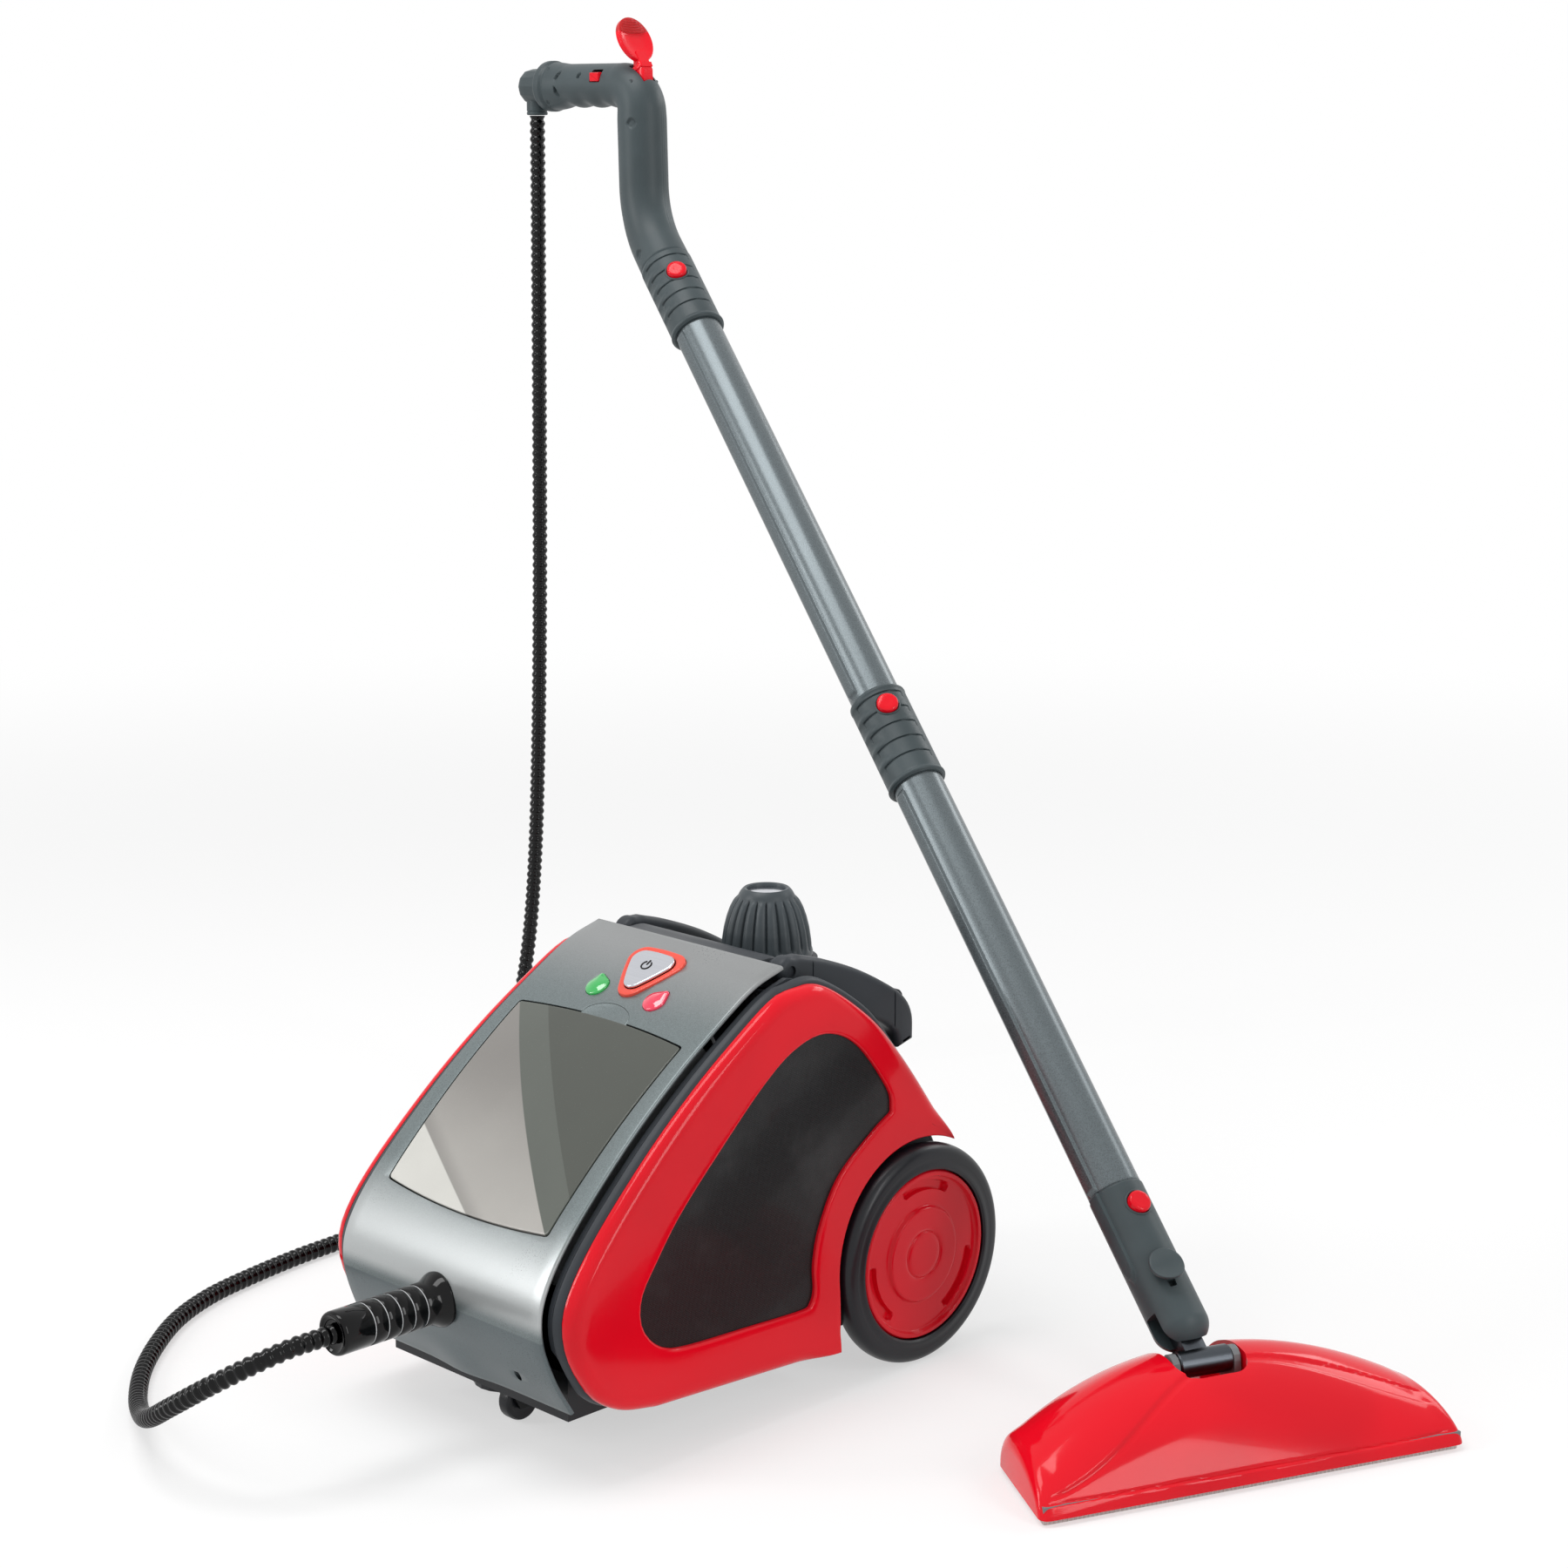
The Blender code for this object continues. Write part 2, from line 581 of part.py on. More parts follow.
def on_door(offset=0.0, up=0.0):
    """Place and turn of the door's frame: X across, Y up the slope, Z outwards."""
    (y0, z0), (y1, z1) = door_corners()
    angle = math.atan2(z1 - z0, y1 - y0)
    y = (y0 + y1) / 2 + up * math.cos(angle) - offset * math.sin(angle)
    z = (z0 + z1) / 2 + up * math.sin(angle) + offset * math.cos(angle)
    return (0, y, z), (math.degrees(angle), 0, 0)


def door_reach():
    """Half of the door's height, corner to corner."""
    (y0, z0), (y1, z1) = door_corners()
    return math.hypot(y1 - y0, z1 - z0) / 2


def door_block(grow, low, high):
    """The door's barrel-shaped outline as a block, grown all round."""
    half, reach = DOOR_HALF + grow, door_reach() + grow
    xs = np.linspace(-half, half, 13)
    bow = DOOR_BOW * (1 - (xs / half) ** 2)
    upper = [(float(x), float(reach + b)) for x, b in zip(xs, bow)]
    lower = [(float(x), float(-reach - b)) for x, b in zip(xs, bow)]
    return prism(lower + upper[::-1], low, high, "Z")


def hinge_place():
    """The door's hinge axis, just above its lower corners and under its face."""
    return on_door(-HINGE_SINK + cover_bulge(), -door_reach() + HINGE_RISE)


def cover_bulge():
    """How far the cover's curve stands out past the straight line at the hinge."""
    return 0.0006


def storage_door(base):
    """The smoked door: a slice of the cover's curve, with two hinge knuckles inside."""
    (hy, hz), tilt = hinge_place()[0][1:], hinge_place()[1]
    line = [p for p in cover_line() if p[1] > GRIP_AXIS_Z + 0.01]
    outer = side_step(line, 0.0004)
    inner = side_step(line, 0.0004 - DOOR_THICK)
    strip = moved(prism(outer + inner[::-1], -COVER_HALF, COVER_HALF), shift(0, -hy, -hz))
    door = piece("storage_door", strip, "smoked_gloss", base, (0, hy, hz))
    (_, dy, dz), tilt = on_door()
    keep = cutter(door_block(0, -0.02, 0.02), base, (0, dy, dz), tilt)
    shaped(door, [keep], "INTERSECT")
    knuckles = []
    for side in (-1, 1):
        block = box((-0.006, -0.0030, -0.0030), (0.006, 0.0040, HINGE_SINK - 0.0012))
        knuckles.append(cutter(block, base, (side * (DOOR_HALF - 0.014), hy, hz), tilt))
    shaped(door, knuckles, "UNION")
    return shaped(door, [cutter(rod(HINGE_R + RUN, -0.09, 0.09, "X"), base, (0, hy, hz))])


def accessory_bin(base):
    """The storage bin behind the door, open towards it, with ears for the hinge pin."""
    place, tilt = on_door()
    half, reach = DOOR_HALF + 0.0025, door_reach() + DOOR_BOW + 0.003
    top = -0.0040
    outer = box((-half - BIN_WALL, -reach - BIN_WALL, -BIN_DEPTH - BIN_WALL),
                (half + BIN_WALL, reach + BIN_WALL, top))
    bin_ = piece("accessory_bin", outer, "inner_grey", base, place, tilt)
    hollow = cutter(box((-half, -reach, -BIN_DEPTH), (half, reach, 0.02)), base, place, tilt)
    hinge, hinge_tilt = hinge_place()
    hole = cutter(rod(HINGE_R + GAP, -0.1, 0.1, "X"), base, hinge, hinge_tilt)
    curve = cutter(under_cover_block(), base)
    return shaped(bin_, [hollow, curve, hole])


def under_cover_block():
    """Everything outside the cover's inner face, as a block."""
    line = side_step(cover_line(), -SKIN - GAP)
    far = [(line[-1][0], 0.36), (-0.30, 0.36), (-0.30, line[0][1])]
    return prism(line + far, -0.12, 0.12)


def hinge_pin(base):
    place, tilt = hinge_place()
    half = DOOR_HALF + 0.0035
    return piece("door_hinge_pin", rod(HINGE_R, -half, half, "X", 16), "steel", base, place, tilt)


def back_line():
    """Outer line of the rear cover, from the deck down to its foot."""
    return smooth(BACK_LINE, 3)


def rear_cover(base):
    """The dark back of the body, bent from the deck down to the base."""
    outer = back_line()
    inner = side_step(outer, -SKIN)
    shell = lean_in(prism(outer + inner[::-1], -COVER_HALF, COVER_HALF))
    shell = piece("rear_cover", shell, "dark_trim", base)
    neck = cutter(rod(NECK_R + 0.001, 0.2, 0.32), base, (*TANK, 0))
    cord = cutter(rod(CORD_HOLE_R + GAP, -0.02, 0.02, "Y"), base, cord_place())
    return shaped(shell, [neck, cord])


def top_deck(base):
    """The raised deck between the handle's arms, with the filler's collar and two pivot stubs."""
    back = back_line()
    under = [(y, z + GAP) for y, z in back if y < HUMP_LINE[-1][0] - 0.002]
    top = smooth(HUMP_LINE, 3)
    tail = HUMP_LINE[-1][0] + 0.001
    last = (tail, height_at(back[:-10], tail) + GAP)
    deck = piece("top_deck", prism(top + [last] + under[::-1], -HUMP_HALF, HUMP_HALF), "dark_trim", base)
    roof = side_step(top, -DECK_WALL)
    roof = [p for p in roof if under[0][0] + DECK_WALL < p[0] < tail - 0.008]
    roof += [(roof[-1][0], 0.15), (roof[0][0], 0.25)]
    pocket = prism(roof, DECK_WALL - HUMP_HALF, HUMP_HALF - DECK_WALL)
    stub = BAIL_INSIDE + BAIL_ARM - 0.002
    collar = prism(arc((0, 0), CAP_R - 0.003, -28, 208, 20), 0.2625, NECK_TOP - 0.0007, "Z")
    adds = [cutter(rod(BAIL_PIN_R, -stub, stub, "X", 16), base, (0, *BAIL_PIVOT)),
            cutter(collar, base, (*TANK, 0))]
    for side in (-1, 1):
        boss = rod(0.0053, side * (HUMP_HALF - 0.002), side * (BAIL_INSIDE - GAP), "X", 20)
        adds.append(cutter(boss, base, (0, *BAIL_PIVOT)))
    shaped(deck, [cutter(pocket, base)])
    shaped(deck, adds, "UNION")
    well = rod(CAP_R + 0.003, NECK_TOP - 0.0003, 0.34, sides=28)
    hole = rod(NECK_R + 0.001, 0.2, 0.35)
    return shaped(deck, [cutter(well, base, (*TANK, 0)), cutter(hole, base, (*TANK, 0))])


def side_walls(base):
    """The dark plates that close the body's sides and show as a band round the red panels."""
    top = [p for p in smooth([side_step(cover_line(), SIDE_PROUD)[-1]] + FLANK_REAR, 3)[1:]]
    low = WALL_FOOT
    inner = COVER_HALF + GAP
    for name, side in (("side_wall_left", -1), ("side_wall_right", 1)):
        outline = flank_outline(low, top)
        wall = lean_in(prism(outline, side * inner, side * (inner + SIDE_WALL)))
        wall = piece(name, wall, "dark_trim", base)
        bore = cutter(rod(AXLE_R + GAP, -0.2, 0.2, "X"), base, (0, *AXLE))
        pocket = lean_in(prism(POCKET, side * (inner + 0.0022), side * (inner + SIDE_WALL + 0.02)))
        dish = rod(TYRE_R + 0.0020, side * (HUB_INNER_FACE - 0.0006), side * 0.2, "X", 40)
        shaped(wall, [bore, cutter(pocket, base), cutter(dish, base, (0, *AXLE))])


def panel_outline():
    """The red panel's outline and the rounding of its edge at each point."""
    top, arch = flank_to_arch()
    outline = flank_outline(arch, top)
    radii = [PANEL_EDGE if math.hypot(y - AXLE[0], z - AXLE[1]) < ARCH + 0.001 else PANEL_ROUND
             for y, z in outline]
    radii[0] = PANEL_EDGE
    count = len(arch)
    for k, part in ((1, 0.25), (2, 0.5), (3, 0.75)):
        radii[-count - k] = PANEL_EDGE + (PANEL_ROUND - PANEL_EDGE) * part
    return outline[::-1], radii[::-1]


def side_panels(base):
    """The red side panels, rounded at their edge, each with its window opening."""
    inner = COVER_HALF + SIDE_WALL + 2 * GAP
    outline, radii = panel_outline()
    for name, side in (("side_panel_left", -1), ("side_panel_right", 1)):
        plate = lean_in(crowned(outline, side * inner, side * (inner + PANEL_DEEP), radii))
        panel = piece(name, plate, "gloss_red", base)
        shaped(panel, [cutter(lean_in(prism(window_outline(GAP), side * (inner - 0.02), side * (inner + 0.05))), base)])


def window_outline(grow):
    closed = WINDOW + WINDOW[:1]
    line = smooth(closed, 2)[:-1]
    return side_step(line, grow, closed=True)


def side_windows(base):
    """The smoked panes, a little below the panels' faces."""
    inner = COVER_HALF + SIDE_WALL + 2 * GAP
    face = inner + PANEL_DEEP - WINDOW_SINK
    for name, side in (("side_window_left", -1), ("side_window_right", 1)):
        pane = lean_in(prism(window_outline(0.0), side * (face - WINDOW_DEPTH), side * face))
        piece(name, pane, "smoked_window", base)


def base_tray(base):
    """The floor tray, with axle bosses, the caster's boss and seats for the boiler's feet."""
    outer = box((-TRAY_HALF, TRAY_FRONT, TRAY_FLOOR), (TRAY_HALF, TRAY_BACK, TRAY_RIM))
    tray = piece("base_tray", outer, "black_rubber", base)
    inside = box((-TRAY_HALF + TRAY_WALL, TRAY_FRONT + TRAY_WALL, TRAY_FLOOR + TRAY_WALL),
                 (TRAY_HALF - TRAY_WALL, TRAY_BACK - TRAY_WALL, 0.1))
    shaped(tray, [cutter(inside, base)])
    adds = []
    for side in (-1, 1):
        y, z = AXLE
        block = box((side * (TRAY_HALF - 0.007), y - 0.011, TRAY_FLOOR + 0.001),
                    (side * (TRAY_HALF + 0.003), y + 0.011, z + 0.009))
        adds.append(cutter(block, base))
    x, y = CASTER
    adds.append(cutter(rod(0.0095, TRAY_FLOOR + 0.001, TRAY_FLOOR + 0.016), base, (x, y, 0)))
    adds.append(cutter(rod(CASTER_BOSS_R, TRAY_FLOOR - 0.004, TRAY_FLOOR + 0.001), base, (x, y, 0)))
    cuts = [cutter(rod(AXLE_R + GAP, -0.2, 0.2, "X"), base, (0, *AXLE)),
            cutter(rod(CASTER_STEM_R + RUN, 0, 0.1), base, (x, y, 0))]
    shaped(tray, adds, "UNION")
    return shaped(tray, cuts)


def running_gear(base):
    """The axle, and on each side a hub and its tyre."""
    piece("wheel_axle", rod(AXLE_R, -AXLE_HALF, AXLE_HALF, "X"), "steel", base, (0, *AXLE))
    mid = (HUB_INNER_FACE + HUB_FACE) / 2
    for name, side in (("left", -1), ("right", 1)):
        hub = [(AXLE_R + RUN, -0.0095), (AXLE_R + RUN, 0.0060), (0, 0.0060), (0, 0.0078),
               (0.0325, 0.0074), (0.0340, 0.0058), (0.0520, 0.0058), (0.0545, 0.0090), (0.0585, 0.0090),
               (HUB_R - GAP, 0.0070), (HUB_R - GAP, -0.0085), (0.0560, -0.0085), (0.0530, 0.0020),
               (0.0115, 0.0020), (0.0105, -0.0095)]
        turned = lathe(hub, 32, "X")
        if side < 0:
            turned = moved(turned, turn(180, "Z"))
        piece("wheel_hub_" + name, turned, "gloss_red", base, (side * mid, *AXLE))
        half = TYRE_WIDE / 2
        tread = [(HUB_R, half), (TYRE_R - TYRE_CREST, half - 0.0005), (TYRE_R - 0.0012, half - 0.0045),
                 (TYRE_R, 0.0), (TYRE_R - 0.0012, 0.0045 - half), (TYRE_R - TYRE_CREST, 0.0005 - half),
                 (HUB_R, -half)]
        piece("tyre_" + name, lathe(tread[::-1], 40, "X"), "black_rubber", base, (side * mid, *AXLE))


def front_caster(base):
    """The swivelling caster: a fork on a stem, and a wheel with its own stub axles."""
    x, y = CASTER
    top = TRAY_FLOOR - 0.0045
    inner = CASTER_WHEEL_HALF + 0.0006
    outer = inner + CASTER_CHEEK
    plate = rod(0.0130, top - 0.0022, top)
    fork = piece("caster_fork", plate, "black_gloss", base, (x, y, 0))
    adds = [cutter(rod(CASTER_STEM_R, top - 0.001, TRAY_FLOOR + 0.0175), base, (x, y, 0))]
    for side in (-1, 1):
        cheek = prism([(-0.006, top - 0.001), (0.004, CASTER_WHEEL_R - 0.0035),
                       (CASTER_TRAIL + 0.004, CASTER_WHEEL_R - 0.0035), (CASTER_TRAIL + 0.003, top - 0.001)],
                      side * inner, side * outer)
        adds.append(cutter(cheek, base, (x, y, 0)))
    shaped(fork, adds, "UNION")
    wheel_at = (x, y + CASTER_TRAIL, CASTER_WHEEL_R)
    shaped(fork, [cutter(rod(0.0016 + RUN, -0.02, 0.02, "X"), base, wheel_at)])
    h = CASTER_WHEEL_HALF
    profile = [(0, -outer), (0.0016, -outer), (0.0016, -h), (CASTER_WHEEL_R - 0.0015, -h),
               (CASTER_WHEEL_R, 0.0015 - h), (CASTER_WHEEL_R, h - 0.0015), (CASTER_WHEEL_R - 0.0015, h),
               (0.0016, h), (0.0016, outer), (0, outer)]
    piece("caster_wheel", lathe(profile, 24, "X"), "black_rubber", base, wheel_at)


def bezel_outline(half, steps=5):
    """A rounded triangle pointing down the slope, as wide as given on each side."""
    corner = half * 0.42
    points = []
    for angle in (30, 150, 270):
        centre = ((half - corner) * 1.08 * math.cos(math.radians(angle)),
                  (half - corner) * 1.08 * math.sin(math.radians(angle)) + half * 0.08)
        points += arc(centre, corner, angle - 60, angle + 60, steps)
    return points


def lamp_outline(half, side, steps=6):
    """A teardrop lamp whose point leans to its side."""
    tip = (side * half * 0.55, half * 1.25)
    lean = math.degrees(math.atan2(tip[1], tip[0]))
    return arc((0, 0), half, lean + 50, lean + 310, steps * 2) + [tip]


def controls(base):
    """The button in its ring, the two lamps and the board behind them."""
    place, tilt = on_cover(CONTROL_Y)
    ring_shape = prism(bezel_outline(BEZEL_HALF), -0.0040, 0.0012, "Z")
    ring = piece("button_bezel", ring_shape, "gloss_red", base, place, tilt)
    shaped(ring, [cutter(prism(bezel_outline(BUTTON_HALF + GAP), -0.02, 0.02, "Z"), base, place, tilt)])
    place, tilt = on_cover(CONTROL_Y)
    cap = prism(bezel_outline(BUTTON_HALF), -0.0060, 0.0024, "Z")
    piece("power_button", cap, "silver", base, place, tilt)
    for name, side in (("lamp_power", -1), ("lamp_ready", 1)):
        place, tilt = on_cover(LAMP_Y, side * LAMP_X)
        piece(name, prism(lamp_outline(LAMP_HALF, side), -0.0050, 0.0012, "Z"),
              "lamp_green" if side < 0 else "lamp_red", base, place, tilt)
    place, tilt = on_cover(CONTROL_Y - 0.006)
    sheet = box((-0.043, -0.0240, -0.0112), (0.043, 0.0250, -0.0096))
    board = piece("control_board", sheet, "board_green", base, place, tilt)
    switch_place, switch_tilt = on_cover(CONTROL_Y)
    switch = cutter(box((-0.004, -0.004, -0.0105), (0.004, 0.004, -0.0080)), base, switch_place, switch_tilt)
    posts = [cutter(rod(0.0022, -0.0100, -0.0053), base, *on_cover(LAMP_Y, s * LAMP_X)) for s in (-1, 1)]
    return shaped(board, [switch] + posts, "UNION")


def boiler(base):
    """The pressure tank with its neck, and what is clamped to it."""
    wall = TANK_WALL
    r, z0, z1, z2 = TANK_R, TANK_FLOOR, TANK_SHOULDER, TANK_CROWN
    dome = [(NECK_R + (r - NECK_R) * math.cos(t), z1 + (z2 - z1) * math.sin(t))
            for t in np.radians([0, 30, 60, 90])]
    inner = [(NECK_BORE + (r - wall - NECK_BORE) * math.cos(t), z1 + (z2 - wall - z1) * math.sin(t))
             for t in np.radians([90, 60, 30, 0])]
    profile = [(0, z0), (r - 0.008, z0), (r, z0 + 0.008)] + dome + [(NECK_R, NECK_TOP), (NECK_BORE, NECK_TOP)]
    profile += inner + [(r - wall, z0 + 0.009), (r - 0.009, z0 + wall), (0, z0 + wall)]
    piece("boiler_tank", lathe(profile, 28), "steel", base, (*TANK, 0))
    under = z0 - GAP
    ring = lathe([(0.024, under - 0.008), (0.034, under - 0.008), (0.034, under), (0.024, under)], 24)
    piece("heater_ring", ring, "inner_grey", base, (*TANK, 0))
    feet = []
    floor = TRAY_FLOOR + TRAY_WALL + GAP
    for angle in (45, 135, 225, 315):
        x, y = 0.0392 * math.cos(math.radians(angle)), 0.0392 * math.sin(math.radians(angle))
        feet.append(box((x - 0.005, y - 0.005, floor), (x + 0.005, y + 0.005, z0 - 0.0095)))
    stand = piece("boiler_stand", together(*feet), "inner_grey", base, (*TANK, 0))
    low, high = z0 - 0.0110, z0 - 0.0086
    plate = lathe([(0.0200, low), (0.0460, low), (0.0460, high), (0.0200, high)], 24)
    shaped(stand, [cutter(plate, base, (*TANK, 0))], "UNION")
    shaped(stand, [cutter(rod(AXLE_R + 0.001, -0.1, 0.1, "X"), base, (0, *AXLE))])
    disc = [(0, 0), (0.0080, 0), (0.0080, 0.006), (0.0050, 0.008), (0, 0.008)]
    low, high = z0 + 0.024, z1 - 0.016
    first = moved(lathe(disc, 20, "X"), shift(r + GAP, 0, low))
    pair = piece("thermostats", first, "silver", base, (*TANK, 0))
    upper = cutter(moved(lathe(disc, 20, "X"), shift(r + GAP, 0, high)), base, (*TANK, 0))
    strap = cutter(box((r + GAP, -0.004, low), (r + GAP + 0.0015, 0.004, high)), base, (*TANK, 0))
    shaped(pair, [upper, strap], "UNION")


def steam_circuit(base):
    """The solenoid valve in front of the tank, and the pipes from the tank to the hose."""
    body = box((-0.012, -0.017, 0), (0.012, 0.017, 0.030))
    valve = piece("solenoid_valve", body, "brass", base, (0, -0.072, 0.080))
    coil_foot = TRAY_FLOOR + TRAY_WALL + GAP - 0.080
    coil = cutter(rod(0.0150, coil_foot, 0.001, sides=24), base, (0, -0.072, 0.080))
    shaped(valve, [coil], "UNION")
    inlet = fillet_path([(0, TANK[1] - TANK_R - GAP, 0.150), (0, 0.004, 0.150), (0, -0.018, 0.100),
                         (0, -0.0547, 0.100)], [0.010, 0.010], 3)
    outlet = [(0, -0.0893, 0.095), (0, -0.130, 0.095), (0, -0.175, GRIP_AXIS_Z),
              (0, GRIP_IN + GAP, GRIP_AXIS_Z)]
    for name, path in (("steam_pipe_inlet", inlet), ("steam_pipe_outlet", smooth(outlet, 3))):
        p, _, first, second = frames_along(path, (1, 0, 0))
        ring = [(math.cos(t), math.sin(t)) for t in np.arange(10) * 2 * math.pi / 10]
        loops = [[tuple(c + 0.0035 * (a * f + b * s)) for a, b in ring] for c, f, s in zip(p, first, second)]
        piece(name, loft(loops), "brass", base)


def filler_cap(base):
    """The pressure cap: a ribbed shell over a plug that screws into the neck, and its seal."""
    x, y = TANK
    height = CAP_TOP - CAP_FOOT
    sides = 30
    rounds = []
    for level, radius, depth in ((0, CAP_R, 0.0016), (0.010, CAP_R - 0.0004, 0.0016),
                                 (0.024, CAP_R - 0.0035, 0.0016),
                                 (0.036, CAP_R - 0.0090, 0.0012), (height, CAP_TOP_R, 0.0003)):
        ring = []
        for k in range(sides * 2):
            t = math.pi * k / sides
            r = radius - (depth if k % 3 == 0 else 0.0)
            ring.append((r * math.cos(t), r * math.sin(t), level))
        rounds.append(ring)
    shell = piece("cap_shell", loft(rounds), "cap_grey", base, (x, y, CAP_FOOT))
    hollow = lathe([(0, -0.001), (CAP_R - 0.0045, -0.001), (CAP_R - 0.0050, 0.010), (CAP_R - 0.013, 0.032),
                    (CAP_STEM_R + GAP, 0.032), (CAP_STEM_R + GAP, height - 0.006),
                    (CAP_DISC_R + GAP, height - 0.006),
                    (CAP_DISC_R + GAP, height + 0.01), (0, height + 0.01)], 24)
    shaped(shell, [cutter(hollow, base, (x, y, CAP_FOOT))])
    plug = [(0, -0.022), (PLUG_R - 0.002, -0.022), (PLUG_R - 0.0003, -0.018), (PLUG_R - 0.0003, 0.0005),
            (0.0175, 0.0005), (0.0175, 0.008), (CAP_STEM_R, 0.012), (CAP_STEM_R, height - 0.0057),
            (CAP_DISC_R, height - 0.0057), (CAP_DISC_R, height - 0.0025), (0, height - 0.0025)]
    piece("cap_plug", lathe(plug, 24), "silver", base, (x, y, CAP_FOOT))
    seal = [(PLUG_R + 0.0003, -0.0022), (0.0160, -0.0022), (0.0160, 0.0002), (PLUG_R + 0.0003, 0.0002)]
    piece("cap_seal", lathe(seal, 24), "black_rubber", base, (x, y, CAP_FOOT))


def carry_handle(base):
    """The folding handle: two arms on the deck's pivot stubs and a bar across the back."""
    py, pz = BAIL_PIVOT
    eye = arc(BAIL_PIVOT, 0.0100, 250, 66, 8)
    outline = [(y - py, z - pz) for y, z in smooth(BAIL_TOP, 2) + smooth(BAIL_UNDER, 2)]
    outline += [(y - py, z - pz) for y, z in eye]
    arms = [prism(outline, side * BAIL_INSIDE, side * (BAIL_INSIDE + BAIL_ARM)) for side in (-1, 1)]
    handle = piece("carry_handle", together(*arms), "dark_trim", base, (0, py, pz))
    bar = arc((BAIL_BAR[0][0] - py, BAIL_BAR[0][1] - pz), 0.0078, -20, 200, 6)
    bar += arc((BAIL_BAR[1][0] - py, BAIL_BAR[1][1] - pz), 0.0068, 190, 350, 6)
    across = prism(bar, -BAIL_INSIDE - 0.002, BAIL_INSIDE + 0.002)
    shaped(handle, [cutter(across, base, (0, py, pz))], "UNION")
    return shaped(handle, [cutter(rod(BAIL_PIN_R + RUN, -0.2, 0.2, "X"), base, (0, py, pz))])


def cord_place():
    """Where the mains cord enters: a point on the rear cover's outer face."""
    x, z = CORD_HOLE
    line = np.array(back_line())[::-1]
    return (x, float(np.interp(z, line[:, 1], line[:, 0])), z)


def cord_inlet(base):
    """The grommet where the mains cord enters at the back."""
    inside = -SKIN - 0.0020
    profile = [(0.0038, inside), (CORD_HOLE_R, inside), (CORD_HOLE_R, 0.0006), (0.0112, 0.0006),
               (0.0108, 0.0040), (0.0080, 0.0062), (0.0038, 0.0062)]
    piece("cord_grommet", lathe(profile[::-1], 24, "Y"), "black_rubber", base, cord_place())


def hose_grip(base):
    """The hose's strain relief: a stout sleeve with ring grooves, seated in the front cover."""
    length = GRIP_IN - GRIP_OUT
    face = GRIP_IN - COVER_LINE[2][0] + 0.0007
    profile = [(0, 0), (GRIP_R, 0), (GRIP_R, face), (GRIP_FLANGE_R, face), (GRIP_FLANGE_R, face + 0.004),
               (GRIP_R, face + 0.009)]
    start = face + 0.018
    for k in range(5):
        at = start + k * GRIP_RING_STEP
        profile += [(GRIP_R, at), (GRIP_R - 0.0014, at + 0.0010), (GRIP_R - 0.0014, at + 0.0030),
                    (GRIP_R, at + 0.0040)]
    profile += [(GRIP_R, length - 0.003), (GRIP_R - 0.002, length), (0, length)]
    sleeve = moved(lathe(profile, 16, "Y"), turn(180, "Z"))
    piece("hose_grip", sleeve, "black_gloss", base, (0, GRIP_IN, GRIP_AXIS_Z))


def steam_hose(base):
    """The hose itself: a plain round tube along its route."""
    curve = bpy.data.curves.new("steam_hose", "CURVE")
    curve.dimensions = "3D"
    curve.bevel_depth = HOSE_R
    curve.bevel_resolution = 2
    curve.use_fill_caps = True
    points = even_points(smooth(HOSE_ROUTE, 8), 70)
    line = curve.splines.new("POLY")
    line.points.add(len(points) - 1)
    for spot, place in zip(line.points, points):
        spot.co = (*place, 1.0)
    hose = bpy.data.objects.new("steam_hose", curve)
    bpy.context.scene.collection.objects.link(hose)
    hose.parent = base
    curve.materials.append(finish("black_gloss"))


def even_points(path, count):
    """The path read at equal steps along its length."""
    p = np.array(path)
    run = np.concatenate([[0], np.cumsum(np.linalg.norm(np.diff(p, axis=0), axis=1))])
    at = np.linspace(0, run[-1], count)
    return np.stack([np.interp(at, run, p[:, k]) for k in range(3)], 1)


# ================================================================ floor head
def head_section(x, inset=0.0, foot=HEAD_FOOT):
    """The shell's cross outline at a distance along the head, from front foot over to rear foot."""
    crown = HEAD_CROWN - HEAD_ARCH * x * x - inset
    front, back = HEAD_FRONT + inset, HEAD_BACK - 0.030 * (x / HEAD_HALF) ** 2 - inset
    ridge = front + (back - front) * 0.60
    rise = crown - foot
    points = [(front, foot)]
    for t in np.linspace(0, 1, 8)[1:]:
        points.append((front + (ridge - front) * (1 - math.cos(t * math.pi / 2)) ** 0.9,
                       foot + rise * math.sin(t * math.pi / 2) ** 1.15))
    for t in np.linspace(0, 1, 6)[1:]:
        points.append((ridge + (back - ridge) * math.sin(t * math.pi / 2),
                       foot + rise * math.cos(t * math.pi / 2) ** 0.75 if t < 1 else foot))
    return points


def head_stations(inset):
    """Distances along the head at which its section is drawn, closer together at the ends."""
    t = np.linspace(-1, 1, 15)
    return (HEAD_HALF - inset) * np.sign(t) * np.abs(t) ** 0.85


def end_slant(x, y):
    """The head's ends slope inwards towards the back; a mid section stays in place."""
    return x - math.copysign(0.020, x) * (x / HEAD_HALF) ** 2 * (y - HEAD_FRONT) / (HEAD_BACK - HEAD_FRONT)


def head_block(inset, foot):
    loops = []
    for x in head_stations(inset):
        loops.append([(end_slant(x, y), y, z) for y, z in head_section(x, inset, foot)])
    return loft(loops)


